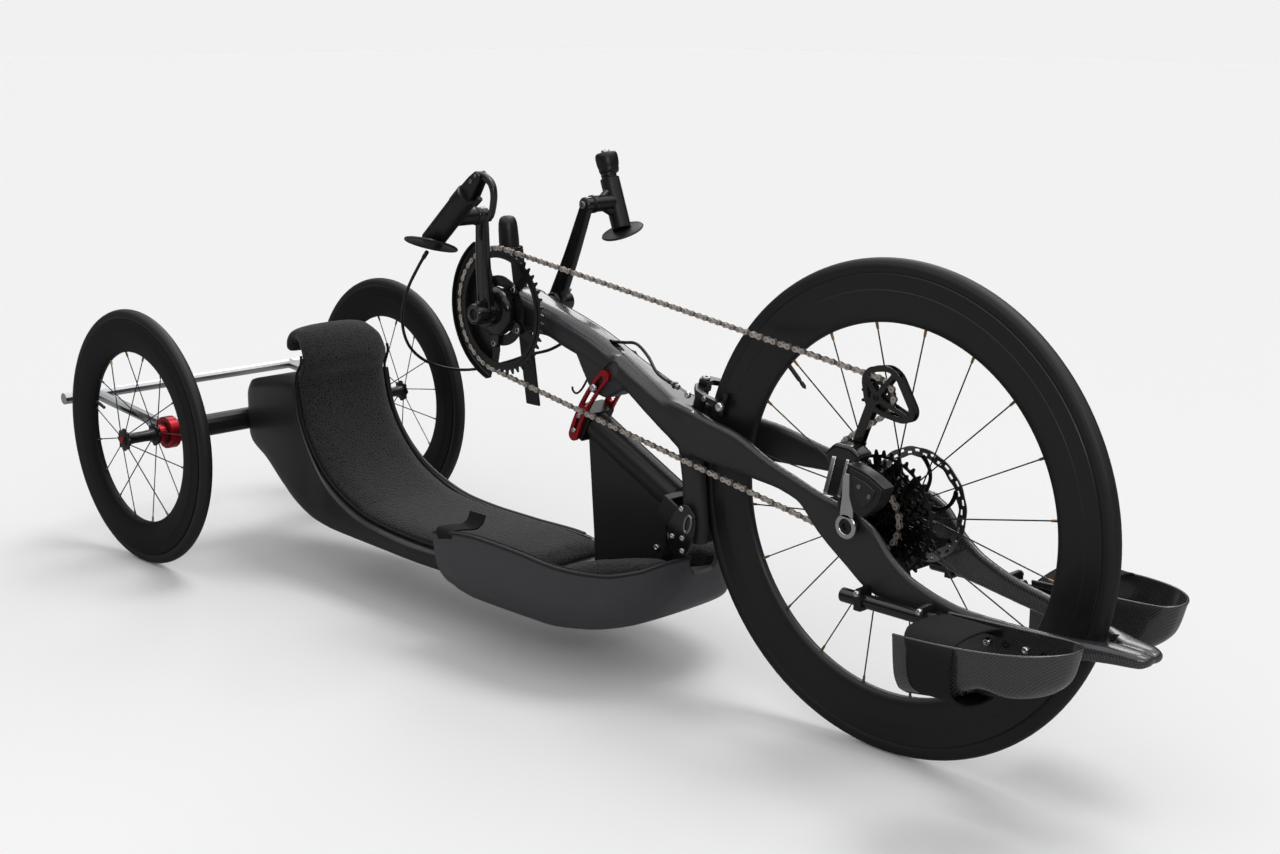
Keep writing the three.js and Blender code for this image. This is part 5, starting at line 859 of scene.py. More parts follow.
def polar(centre, radius, degrees, y):
    """A point at an angle from the +X direction in the side view."""
    a = np.radians(degrees)
    return np.stack(np.broadcast_arrays(centre[0] + radius * np.cos(a), y, centre[1] + radius * np.sin(a)),
                    -1)


# Wheels


def tyre_profile(radius, half):
    """Round section with a tread that stands a little proud of the side walls."""
    angle = np.radians(np.linspace(-125, 125, 41))
    step = 0.45 * np.clip((52 - np.abs(np.degrees(angle))) / 3, 0, 1)
    size = half - 0.45 + step
    return np.stack([radius - half + size * np.cos(angle), size * np.sin(angle)], -1)


def rim_profile(inner, seat, half):
    """Deep rim: a blunt nose, flanks that swell outwards and a brake track below the tyre."""
    depth = seat - inner
    side = np.array([(0, 0.10), (0.006, 0.26), (0.035, 0.46), (0.09, 0.62), (0.2, 0.78), (0.36, 0.90),
                     (0.52, 0.965), (0.64, 1.0), (0.66, 1.0), (0.67, 0.965), (0.9, 0.945), (0.985, 0.93),
                     (1, 0.85)])
    right = np.stack([inner + depth * side[:, 0], -half * side[:, 1]], -1)
    return np.vstack([right, right[::-1] * [1, -1]])


def wheel(name, body, centre, y, radius, section, inner, tyre_node, rim_node):
    half = section / 2
    at = spot(centre, y)
    dress(revolve(name + "_tyre_round", tyre_profile(radius, half), at, sides=160), body, "tyre", tyre_node)
    seat = radius - half - half * math.cos(math.radians(55)) + 0.6
    dress(revolve(name + "_rim_deep", rim_profile(inner, seat, 12.3), at, sides=160), body,
          finish_of(rim_node), rim_node)


def spokes(name, body, centre, y, count, flange, gauges, inner):
    """Spokes leave the two flanges by turns and lean fore and aft in pairs; each ends in a nipple."""
    i = np.arange(count)
    outer = 360 * (i + 0.5) / count
    lean = np.where(i % 4 < 2, 9, -9)
    side = np.where(i % 2, gauges[1], gauges[0])
    turn, root = np.radians(outer), np.radians(outer + lean)
    start = np.stack([centre[0] + flange * np.sin(root), y + side, centre[1] + flange * np.cos(root)], -1)
    end = np.stack([centre[0] + inner * np.sin(turn), np.full(count, float(y)),
                    centre[1] + inner * np.cos(turn)], -1)
    way = unit(end - start)
    radius = bpy.context.scene.handcycle_sizes.spoke_radius
    dress(rods(name + "_spokes", start, end, radius, 6), body, "black alloy")
    dress(rods(name + "_nipples", end - way * 9, end + way * 1.5, 1.7, 8, 2.1), body, "bronze")
    dress(rods(name + "_spoke_heads", start - way * 2.5, start + way * 2.5, radius * 1.9, 8), body,
          "black alloy")


def valve(name, body, centre, y, inner, degrees, length):
    """Valve stem: threaded body, knurled nut and the thin tip."""
    root = polar(centre, inner + 2, degrees, y)
    tip = polar(centre, inner - length, degrees, y)
    way = (tip - root) / np.linalg.norm(tip - root)
    profile = [(0, 0), (3.0, 0), (3.0, length * 0.62), (2.2, length * 0.66), (2.2, length * 0.72),
               (2.9, length * 0.74), (2.9, length * 0.9), (1.6, length * 0.95), (0, length)]
    dress(solid_turn(name + "_valve", profile, root, way, 14), body, "black alloy")


class HANDCYCLE_OT_wheels(bpy.types.Operator):
    """Tyres, deep rims, spokes, hubs, valves and the brake disc"""

    bl_idname = "handcycle.wheels"
    bl_label = "Wheels"

    def execute(self, context):
        wheel("front", "front_wheel", HUB, 0, 334.4, 25, 250.4, "front_tyre", "front_rim")
        spokes("front", "front_wheel", HUB, 0, 20, 24, (-18.5, 34.5), 250)
        valve("front", "front_wheel", HUB, 0, 251, 137.7, 44)
        self.front_hub()
        self.rotor()
        for name, side in SIDES:
            body = "rear_wheel_" + name
            y = side * TRACK / 2
            wheel("rear_" + name, body, REAR_AXLE, y, 227.93, 23, 152.4, "rear_tyre_" + name,
                  "rear_rim_" + name)
            spokes("rear_" + name, body, REAR_AXLE, y, 16, 17, (-29.5, 29.5), 152.2)
            valve("rear_" + name, body, REAR_AXLE, y, 153, 164, 34)
            self.rear_hub(name, body, y)
        return {"FINISHED"}

    def front_hub(self):
        profile = [(6.4, -20), (14, -20), (25, -19.6), (27, -18.5), (27, -17.4), (20, -15), (14.5, -11),
                   (13, -6), (12.4, 8), (13, 22), (14.5, 27), (20, 31), (27, 33.2), (27, 34.6), (25, 36),
                   (16, 37), (14, 41), (13, 50), (13, 69.5), (11, 70), (6.4, 70)]
        dress(revolve("front_hub_shell", profile, spot(HUB), sides=56), "front_wheel", "black alloy",
              "front_hub")

    def rotor(self):
        """Slotted ring on six slanting arms round a carrier; every third cell of the ring's two
        inner rows is a slot."""
        columns = 180
        angle = np.arange(columns)
        wave = 1.1 * np.sin(np.radians(angle * 2 * 15))
        radii = [66 + wave, 69 + wave * 0.6, 72.5, 76, 78.6 + wave * 0.5]
        kept = np.ones((4, columns), bool)
        kept[1, angle % 10 < 3] = False
        kept[2, (angle + 5) % 10 < 3] = False
        dress(disc("rotor_ring", HUB, 52, 1.8, radii, columns, kept), "front_wheel", "steel", "brake_rotor")
        arms = []
        for i in range(6):
            share = np.linspace(0, 1, 9)
            degrees = 60 * i + 26 * share - 8 * np.sin(np.pi * share)
            centre = polar(HUB, 22 + 46 * share, degrees, 52)[:, [0, 2]]
            way = unit(np.gradient(centre, axis=0))
            side = np.stack([-way[:, 1], way[:, 0]], -1) * (3.4 - 1.0 * np.sin(np.pi * share))[:, None]
            arms.append((centre + side, centre - side))
        for i, (left, right) in enumerate(arms):
            points = np.stack([left, right], 1).reshape(-1, 2)
            points = np.column_stack([points[:, 0], np.full(len(points), 51.1), points[:, 1]])
            dress(slab(f"rotor_arm_{i}", points, grid_faces(9, 2), (0, 1.8, 0)), "front_wheel", "black alloy")
        dress(revolve("rotor_carrier", [(13.4, 50.8), (23, 50.8), (24.5, 51.4), (24.5, 53), (21, 54.2),
              (13.4, 54.2)], spot(HUB), sides=48), "front_wheel", "black alloy")

    def rear_hub(self, name, body, y):
        half = [(9.6, 10), (10.5, 22), (12, 27), (17, 28.4), (17, 30.6), (11, 31.4), (11, 32.6), (9.5, 33.8),
                (6.4, 33.8)]
        profile = [(r, -x) for r, x in half[::-1]] + half
        dress(revolve("rear_hub_shell_" + name, profile, spot(REAR_AXLE, y), sides=48), body, "black alloy",
              "rear_hub_" + name)
        for place in (-29.5, 29.5):
            columns = 96
            lobes = 18.6 + 1.6 * np.tanh(3 * np.cos(8 * 2 * np.pi * np.arange(columns) / columns))
            dress(disc(f"rear_hub_flange_{name}_{'inner' if place < 0 else 'outer'}", REAR_AXLE, y + place,
                  3, [12, lobes], columns), body, "black alloy")


# Drive


def cog_cells(teeth, per_tooth, rows, windows, share):
    """Which cells of a cog stay: windows take a share of the turn in every row but the rims."""
    kept = np.ones((rows, teeth * per_tooth), bool)
    if windows:
        u = (np.arange(teeth * per_tooth) * windows / (teeth * per_tooth)) % 1
        kept[1:rows - 2, u < share] = False
    return kept


class HANDCYCLE_OT_drive(bpy.types.Operator):
    """Chain, cassette, chainring, spider, guard and pulleys"""

    bl_idname = "handcycle.drive"
    bl_label = "Drive"

    def execute(self, context):
        self.chain()
        self.cassette()
        self.chainring()
        self.spider()
        self.guard()
        for name, centre in (("tension_pulley", TENSION_PULLEY), ("guide_pulley", GUIDE_PULLEY)):
            self.pulley(name, centre)
        return {"FINISHED"}

    def chain(self):
        """Figure-of-eight plates between neighbouring rollers, wide and narrow pairs by turns."""
        here, there = CHAIN_PLACES, np.roll(CHAIN_PLACES, -1, 0)
        way = there - here
        length = np.linalg.norm(way, axis=1, keepdims=True)
        way /= length
        middle = (here + there) / 2
        pitch = float(length.mean())
        turn = np.linspace(-np.pi * 0.62, np.pi * 0.62, 7)
        end = 3.95
        right = np.stack([pitch / 2 + end * np.cos(turn), end * np.sin(turn)], -1)
        waist = np.array([(0, 2.3), (-1.6, 2.45)])
        outline = np.vstack([right, waist[:1], -right, -waist[:1]])
        count = len(here)
        outer = np.arange(count) % 2 == 0
        for kind, chosen, gap in (("outer", outer, 1.95), ("inner", ~outer, 1.28)):
            w, m = way[chosen], middle[chosen]
            zero = np.zeros(len(w))
            basis_u = np.stack([w[:, 0], zero, w[:, 1]], -1)
            basis_v = np.stack([-w[:, 1], zero, w[:, 0]], -1)
            for side in (-1, 1):
                start = np.stack([m[:, 0], np.full(len(m), -CHAIN_LINE + side * gap), m[:, 1]], -1)
                lift = np.tile([0.0, float(side), 0.0], (len(m), 1))
                places = np.stack([basis_u, basis_v, lift, start], 1)
                points, faces = prism(outline if kind == "outer" else outline * [1, 0.94], 0.65)
                plates = many(f"chain_{kind}_{'left' if side > 0 else 'right'}", points, faces, places, 30)
                nodes = ("chain",) if kind == "outer" and side < 0 else ()
                dress(plates, "front_frame", "chain" if kind == "outer" else "chain inner", *nodes)
        at = np.column_stack([here[:, 0], np.full(count, -CHAIN_LINE), here[:, 1]])
        across = np.array([0, 1.0, 0])
        dress(rods("chain_rollers", at - across * 1.28, at + across * 1.28, 3.7, 12), "front_frame",
              "chain inner")
        dress(rods("chain_pins", at - across * 2.9, at + across * 2.9, 1.75, 10), "front_frame", "steel",
              slot="chain_steel")

    def cassette(self):
        per_tooth = 8
        for i, teeth in enumerate(COGS):
            engaged = i == ENGAGED_COG
            radius = pitch_radius(teeth, FITTED_PITCH if engaged else CHAIN_PITCH)
            phase = CHAIN_PHASES.get((teeth, HUB), 0.3 * i) if engaged else 0.37 * i
            outer = tooth_radii(teeth, radius, per_tooth, tip_height=2.6)
            root = float(outer.min())
            windows = {42: 14, 36: 12, 32: 8, 28: 7, 24: 6, 21: 6}.get(teeth, 0)
            inner = 19.0 if teeth > 18 else 15.0
            middle = inner + 4 if teeth < 28 else inner + 10
            rings = [inner, middle, (middle + root - 4) / 2, root - 4, root - 0.5, outer]
            kept = cog_cells(teeth, per_tooth, 5, windows, 0.62)
            dress(disc(f"cog_{teeth}", HUB, -CHAIN_LINE - (i - ENGAGED_COG) * 3.65, 1.8, rings,
                  teeth * per_tooth, kept, phase), "cassette", "dark steel" if i else "black alloy",
                  *(("cassette",) if engaged else ()), slot="steel")
        profile = [(6.4, -24.5), (19.2, -24.5), (19.2, -52), (15.3, -53), (15.3, -65), (13.5, -66),
                   (6.4, -66)]
        dress(revolve("cassette_drum", profile, spot(HUB), sides=48), "cassette", "black alloy")
        dress(revolve("cassette_lock_ring", [(7, -65.8), (12, -65.8), (12.6, -66), (12.6, -68), (11, -68.4),
              (7, -68.4)], spot(HUB), sides=36), "cassette", "black alloy")

    def chainring(self):
        teeth, per_tooth = 48, 10
        radius = pitch_radius(teeth, FITTED_PITCH)
        columns = teeth * per_tooth
        outer = tooth_radii(teeth, radius, per_tooth)
        root = float(outer.min())
        rings = [38, 44, 50, 55, 60, 66, 72, 78, root - 6, root - 0.6, outer]
        phase = CHAIN_PHASES[(teeth, CRANK)]
        u = (np.arange(columns) * 5 / columns) % 1
        kept = np.ones((len(rings) - 1, columns), bool)
        for row in range(len(rings) - 1):
            middle = (rings[row] + (rings[row + 1] if row + 1 < len(rings) - 1 else root)) / 2
            if 56 < middle < root - 6:
                kept[row] = np.abs(u - 0.5) > 0.5 - 7.5 / (2 * np.pi * middle / 5)
        dress(disc("chainring_48", CRANK, -CHAIN_LINE, 1.9, rings, columns, kept, phase), "crank",
              "black alloy", "chainring")
        self.spider_phase = math.degrees(phase)
        dress(disc("chainring_band", CRANK, -CHAIN_LINE - 1.6, 1.6, [root - 11, root - 5.5], 200), "crank",
              "black alloy")
        places = polar(CRANK, 53, self.spider_phase + 72 * np.arange(5), -CHAIN_LINE - 6.2)
        dress(bolts("ring_bolts", places, RIGHTWARD, 5, 2), "crank", "silver", slot="steel")

    def spider(self):
        profile = [(12.4, -46), (36, -46), (36, -50.5), (35.2, -56.5), (33, -58.6), (30, -59.2), (25, -59.4),
                   (24, -61.5), (22.5, -63), (22, -79.5), (12.4, -79.5)]
        dress(revolve("spider_body", profile, spot(CRANK), sides=72), "crank", "gloss alloy", "power_spider")
        columns = 200
        u = (np.arange(columns) * 5 / columns) % 1
        near = np.minimum(u, 1 - u) * 72
        star = 37 + 22.5 * np.clip(1 - (near / 13) ** 2, 0, 1) ** 0.5
        dress(finish_edges(disc("spider_arms", CRANK, -48.6, 4.6, [30, 35, star], columns, None,
              math.radians(self.spider_phase)), 0.8), "crank", "gloss alloy")
        places = polar(CRANK, 29, self.spider_phase + 36 + 72 * np.arange(5), -58.8)
        dress(bolts("spider_screws", places, RIGHTWARD, 2.4, 1.2), "crank", "dark steel")

    def guard(self):
        """A thin plate with a lip, drawn as one closed profile and carried round part of a circle."""
        face = -33.3
        profile = np.array([(22, face), (119, face), (119.4, face - 10.5), (118.6, face - 11),
                            (117, face - 10.5), (116.6, face - 3.5), (114.5, face - 2.2), (22, face - 2)])
        angle = np.radians(np.linspace(122, 252, 90))
        points = np.stack([CRANK[0] + profile[None, :, 0] * np.cos(angle)[:, None],
                           np.broadcast_to(profile[None, :, 1], (90, len(profile))),
                           CRANK[1] + profile[None, :, 0] * np.sin(angle)[:, None]], -1)
        dress(grid_object("guard_plate", points, wrap_columns=True, caps=True, smooth=30), "front_frame",
              "plastic", "chain_guard")
        dress(revolve("guard_hub", [(21.9, face), (34, face), (34, face - 2), (21.9, face - 2)], spot(CRANK),
              sides=48), "front_frame", "plastic")

    def pulley(self, name, centre):
        radius = pitch_radius(12, FITTED_PITCH)
        per_tooth = 12
        outer = tooth_radii(12, radius, per_tooth)
        phase = CHAIN_PHASES.get((12, centre), 0)
        kept = np.ones((4, 12 * per_tooth), bool)
        u = (np.arange(12 * per_tooth) * 6 / (12 * per_tooth)) % 1
        kept[1, np.abs(u - 0.5) < 0.24] = False
        jockey = disc(name + "_toothed", centre, -CHAIN_LINE, 2.2,
                      [8, 11, 16, float(outer.min()) - 0.4, outer], 12 * per_tooth, kept, phase)
        body = body_with(name)
        dress(jockey, body, "plastic", name)
        dress(revolve(name + "_bearing", [(4.3, -47), (8.5, -47), (8.5, -41), (4.3, -41)], spot(centre),
              sides=28), body, "dark steel")


# Frames


def baked(obj):
    """Replaces the mesh by the one that its modifiers give."""
    graph = bpy.context.evaluated_depsgraph_get()
    mesh = bpy.data.meshes.new_from_object(obj.evaluated_get(graph))
    obj.modifiers.clear()
    obj.data = mesh
    return obj


def side_plate(name, outline, low, high):
    """A flat outline of the side view, made thick between two places across the machine."""
    low, high = sorted((low, high))
    points, faces = prism(outline, high - low)
    return mesh_object(name, np.column_stack([points[:, 0], low + points[:, 2], points[:, 1]]), faces, 30)


def fused(name, parts, voxel, rounds):
    """The parts as one skin: a voxel remesh of them all, then rounds of smoothing that leave a
    fillet wherever two of them meet."""
    work = bmesh.new()
    for part in parts:
        work.from_mesh(part.data)
        bpy.data.objects.remove(part)
    mesh = bpy.data.meshes.new(name)
    work.to_mesh(mesh)
    work.free()
    obj = bpy.data.objects.new(name, mesh)
    bpy.context.collection.objects.link(obj)
    skin = obj.modifiers.new("skin", "REMESH")
    skin.mode = "VOXEL"
    skin.voxel_size = voxel * MM
    soften = obj.modifiers.new("soften", "SMOOTH")
    soften.factor = 0.5
    soften.iterations = rounds
    return baked(obj)


def carve(obj, cutters):
    """Cuts each solid out of the object."""
    for cutter in cutters:
        step = obj.modifiers.new(cutter.name, "BOOLEAN")
        step.operation = "DIFFERENCE"
        step.solver = "MANIFOLD"
        step.object = cutter
    baked(obj)
    for cutter in cutters:
        bpy.data.objects.remove(cutter)
    shade(obj.data, 40)
    return obj


PLATE_RADIUS = 263.0
LUG_ANGLE = 41.1


def on_plate(degrees, radius=PLATE_RADIUS):
    """A place on the arc of the height plates, round the tilt pivot."""
    a = math.radians(degrees)
    return TILT_PIVOT[0] - radius * math.cos(a), TILT_PIVOT[1] + radius * math.sin(a)


def arc_band(low, high, half):
    """A band round the tilt pivot between two angles, with round ends."""
    outer = [on_plate(a, PLATE_RADIUS + half) for a in np.linspace(low, high, 40)]
    inner = [on_plate(a, PLATE_RADIUS - half) for a in np.linspace(high, low, 40)]

    def cap(degrees, sense):
        x, z = on_plate(degrees)
        out = math.radians(180 - degrees)
        turn = np.linspace(0, math.pi, 12)[1:-1]
        return [(x + half * math.cos(out - sense * t), z + half * math.sin(out - sense * t)) for t in turn]
    return outer + cap(high, 1) + inner + cap(low, -1)[::-1]


BOOM_LENGTH, BOOM_HALF, BOOM_DEPTH = 385, 33, 70
LEG_HEIGHT, LEG_HALF, LEG_DEPTH = 175, 36, 50
ARM_SPAN, ARM_THICKNESS, ARM_RISE = 86, 14, 110
BOOM_TABLE = [
    (-0.086, 0.2, -0.2, 0.73), (-0.057, 0.38, -0.39, 0.9), (0, 0.46, -0.47, 1), (0.182, 0.24, -0.486, 0.9),
    (0.314, 0.06, -0.7, 0.85), (0.455, -0.18, -0.914, 0.84), (0.621, -0.571, -1.27, 0.84),
    (0.792, -0.986, -1.8, 0.95), (0.906, -1.23, -2.13, 1.05), (1, -1.343, -2.32, 1.12),
]
ARM_TABLE = [(-404, 0.34, 1.3, 0.87, 0.42), (-350, 0.42, 1.57, 0.809, 0.191),
             (-300, 0.49, 1.4, 0.727, 0.155), (-242, 0.593, 1.29, 0.655, 0.145),
             (-165, 0.756, 1.14, 0.455, 0.136), (-110, 0.86, 1.07, 0.345, 0.064),
             (-60, 0.942, 1, 0.245, -0.273), (-15, 0.988, 1, 0.173, -0.536), (26, 1, 1, 0.027, -0.773),
             (60, 0.988, 1, -0.29, -0.855), (95, 0.965, 1, -0.5, -0.9), (163, 0.907, 1.14, -0.691, -0.973),
             (214, 0.814, 1.29, -0.745, -1.01), (256, 0.698, 1.43, -0.782, -1.03),
             (310, 0.512, 1.5, -0.809, -1.03), (347, 0.38, 2.4, -0.827, -1.02),
             (380, 0.3, 1.92, -0.85, -1.01), (390, 0.22, 1.42, -0.88, -0.97)]
LEG_TABLE = [(0.857, -0.76, 0.2, 1), (0.58, -0.5, 0.36, 1.02), (0.27, -0.36, 0.48, 1), (0, -0.4, 0.56, 0.95),
             (-0.15, -0.32, 0.52, 0.83)]
LUG = [(-0.28, -0.22), (0.35, -0.3), (1.3, 0.2), (0.7, 1.1), (-1, 0.9), (-0.7, 0.4)]
CABLE_BENDS = [(9, 12), (12, 16)]
CABLE_SHARES = [(-0.0519, 1, 1.4429), (-0.1143, 0.9941, 1.0714), (-0.1974, 0.9765, 0.5),
                (-0.2649, 0.9235, -0.1714), (-0.2961, 0.8118, -0.7857), (-0.2961, 0.6353, -1.2143),
                (-0.2753, 0.3882, -1.4857), (-0.2338, 0.1294, -1.5571), (-0.0883, 0.0235, -1.3143),
                (0.0468, 0.0118, -1.0429), (0.1662, 0, -0.8429), (0.2753, 0, -0.5571), (0.3922, 0, -0.3571),
                (0.5091, 0, -0.3857), (0.5922, 0, -0.3571), (0.6701, 0.0118, -0.3286),
                (0.7481, 0.0471, -0.5286), (0.8078, 0.0941, -0.7571), (0.8597, 0.1176, -0.8714),
                (0.9117, 0.1294, -0.9286)]
CABLE_LINE = [(CRANK[0] + a * BOOM_LENGTH, -b * 170, CRANK[1] + c * BOOM_DEPTH) for a, b, c in CABLE_SHARES]


class HANDCYCLE_OT_front_frame(bpy.types.Operator):
    """Front frame: beam, two fork arms, rear leg and lug moulded as one carbon piece"""

    bl_idname = "handcycle.front_frame"
    bl_label = "Front frame"

    def execute(self, context):
        x, z = CRANK
        boom = [(x + a * BOOM_LENGTH, -BOOM_HALF * w, BOOM_HALF * w, z + low * BOOM_DEPTH,
                 z + top * BOOM_DEPTH) for a, top, low, w in BOOM_TABLE]
        x, z = TILT_PIVOT
        leg = [(z + up * LEG_HEIGHT, -LEG_HALF * w, LEG_HALF * w, x + back * LEG_DEPTH, x + front * LEG_DEPTH)
               for up, back, front, w in LEG_TABLE]
        parts = [beam("boom", boom, 13, 7), beam("leg", leg, 10, 6, level=True)]
        for _, side in SIDES:
            rows = []
            for x, outer, thick, top, low in ARM_TABLE:
                ends = sorted((side * outer * ARM_SPAN, side * (outer * ARM_SPAN - thick * ARM_THICKNESS)))
                rows.append((x, *ends, HUB[1] + low * ARM_RISE, HUB[1] + top * ARM_RISE))
            parts.append(beam("arm", rows, 5, 3))
        x, z = on_plate(LUG_ANGLE)
        parts.append(side_plate("lug", [(x + a * 50, z + b * 50) for a, b in LUG], -24, 24))
        frame_skin = fused("front_frame_skin", parts, 2.8, 6)
        carve(frame_skin, self.holes())
        self.weave(frame_skin.data)
        dress(frame_skin, "front_frame", "frame carbon", "front_frame")
        self.caliper_boss()
        return {"FINISHED"}

    def holes(self):
        across = [(HUB, 342.5, 19.3, 128), (CRANK, 21.8, 60, 64), (HUB, 6.3, 120, 32),
                  (TILT_PIVOT, 8.3, 60, 32), (on_plate(LUG_ANGLE), 4.3, 60, 24)]
        cutters = [rods(f"hole_{i}", spot(c, -half), spot(c, half), radius, sides)
                   for i, (c, radius, half, sides) in enumerate(across)]
        for i, (start, end) in enumerate(CABLE_BENDS):
            a, b = np.array(CABLE_LINE[start]), np.array(CABLE_LINE[end])
            past = (b - a) / np.linalg.norm(b - a) * 9
            cutters.append(rods(f"channel_{i}", [a], [b + past], 6, 24))
        for side in (-1, 1):
            cutters.append(side_plate(f"relief_{side + 1}", arc_band(16.2, 52, 10.7), side * 23.9, side * 33))
        return cutters

    def weave(self, mesh):
        """Where the weave shows: the beam's upper faces, the arms' inner faces and the whole nose."""
        at, normal = (vertices(mesh) - OFFSET) / MM, vertices(mesh, "normal")
        x, y = at[:, 0], at[:, 1]
        share = np.clip((normal[:, 2] - 0.3) / 0.2, 0, 1) * np.clip((-360 - x) / 90, 0.25, 1)
        share = np.maximum(share, np.clip((x - 300) / 30, 0, 1))
        inside = np.clip((x + 60) / 60, 0, 1) * np.clip(-np.sign(y) * normal[:, 1] * 4, 0, 1)
        share = np.maximum(share, inside)
        layer = mesh.attributes.new("weave", "FLOAT", "POINT")
        layer.data.foreach_set("value", share)

    def caliper_boss(self):
        out = math.radians(163)
        up = np.array([math.sin(out), 0, -math.cos(out)])
        base = np.array([HUB[0] + 362 * math.cos(out), 0, HUB[1] + 362 * math.sin(out)])
        dress(solid_turn("caliper_boss", [(0, -30), (9, -30), (9, 4.7), (8, 5.7), (0, 5.7)], base, up),
              "front_frame", "satin")
        dress(solid_turn("caliper_bolt", [(0, 5), (3, 5), (3, 22.6), (6.3, 22.6), (6.3, 24.6), (5, 26),
              (2.6, 26), (2.4, 23.4), (0, 23.4)], base, up, 24), "front_frame", "steel")
        wheelward = np.array([math.cos(out), 0, math.sin(out)])
        for name, side in SIDES:
            middle = np.array(spot(HUB)) + up * (18.3 if side > 0 else 10)
            spots = [middle + wheelward * radius + [0, side * y, 0] for radius, y in ((303, 26), (331, 30.4))]
            dress(bolts(f"pad_bolts_{name}", spots[:1], (0, side, 0), 7, 5.4, 24),
                  body_with(f"caliper_arm_{name}"), "silver")
            dress(bolts(f"spring_screws_{name}", spots[1:], (0, side, 0), 4, 3, 18),
                  body_with(f"caliper_arm_{name}"), "steel")


TUB_REAR, TUB_LENGTH, TUB_FLOOR, TUB_HEIGHT, TUB_HALF = -1470, 1045, 78, 268, 105
POD_REAR, POD_LENGTH, POD_FLOOR, POD_HEIGHT, POD_HALF = -735, 397, 72, 130, 190
TUB_TABLE = [
    (0, 0.48, 0.7, 0.32), (0.018, 0.42, 0.8, 0.45), (0.062, 0.36, 0.87, 0.72), (0.112, 0.3, 0.92, 0.82),
    (0.178, 0.165, 0.975, 0.92), (0.228, 0.07, 1, 0.98), (0.282, 0.012, 1, 1.03), (0.334, 0, 1, 1.09),
    (0.41, 0, 1, 1.15), (0.487, 0, 1, 1.2), (0.583, 0, 1, 1.25), (0.68, 0.004, 1, 1.25),
    (0.832, 0.02, 1, 0.98), (0.948, 0.05, 1, 0.6), (1, 0.09, 1, 0.4),
]
TUB_LIP = [(0.22, 1.02), (0.233, 0.97), (0.248, 0.72), (0.282, 0.515), (0.334, 0.345), (0.41, 0.225),
           (0.487, 0.18), (0.583, 0.165), (0.7, 0.17), (0.8, 0.145), (0.86, 0.13), (1.01, 0.13)]
POD_TABLE = [
    (0, 0.03, 0.885, 0.975), (0.113, 0, 0.954, 1), (0.277, 0, 1, 1.01), (0.5, 0, 0.977, 1),
    (0.683, 0.06, 0.9, 0.937), (0.844, 0.185, 0.87, 0.78), (0.932, 0.35, 0.915, 0.57),
    (0.982, 0.6, 0.99, 0.33), (1, 0.78, 1, 0.16),
]


def tub_place(along, up):
    return TUB_REAR + along * TUB_LENGTH, TUB_FLOOR + up * TUB_HEIGHT


def lip_line(steps=12):
    """The tub's lip in the side view."""
    return curve([tub_place(*p) for p in TUB_LIP], steps)


def moved_line(line, distance):
    """A line of the side view moved sideways, to the rear and down."""
    d = unit(np.gradient(line, axis=0))
    return line + np.column_stack([d[:, 1], -d[:, 0]]) * distance


def height_at(x, line):
    """Height of a falling line at each place; in front of its start only its first height counts."""
    order = np.argsort(line[:, 0], kind="stable")
    return np.interp(x, line[order, 0], line[order, 1], left=1e3)


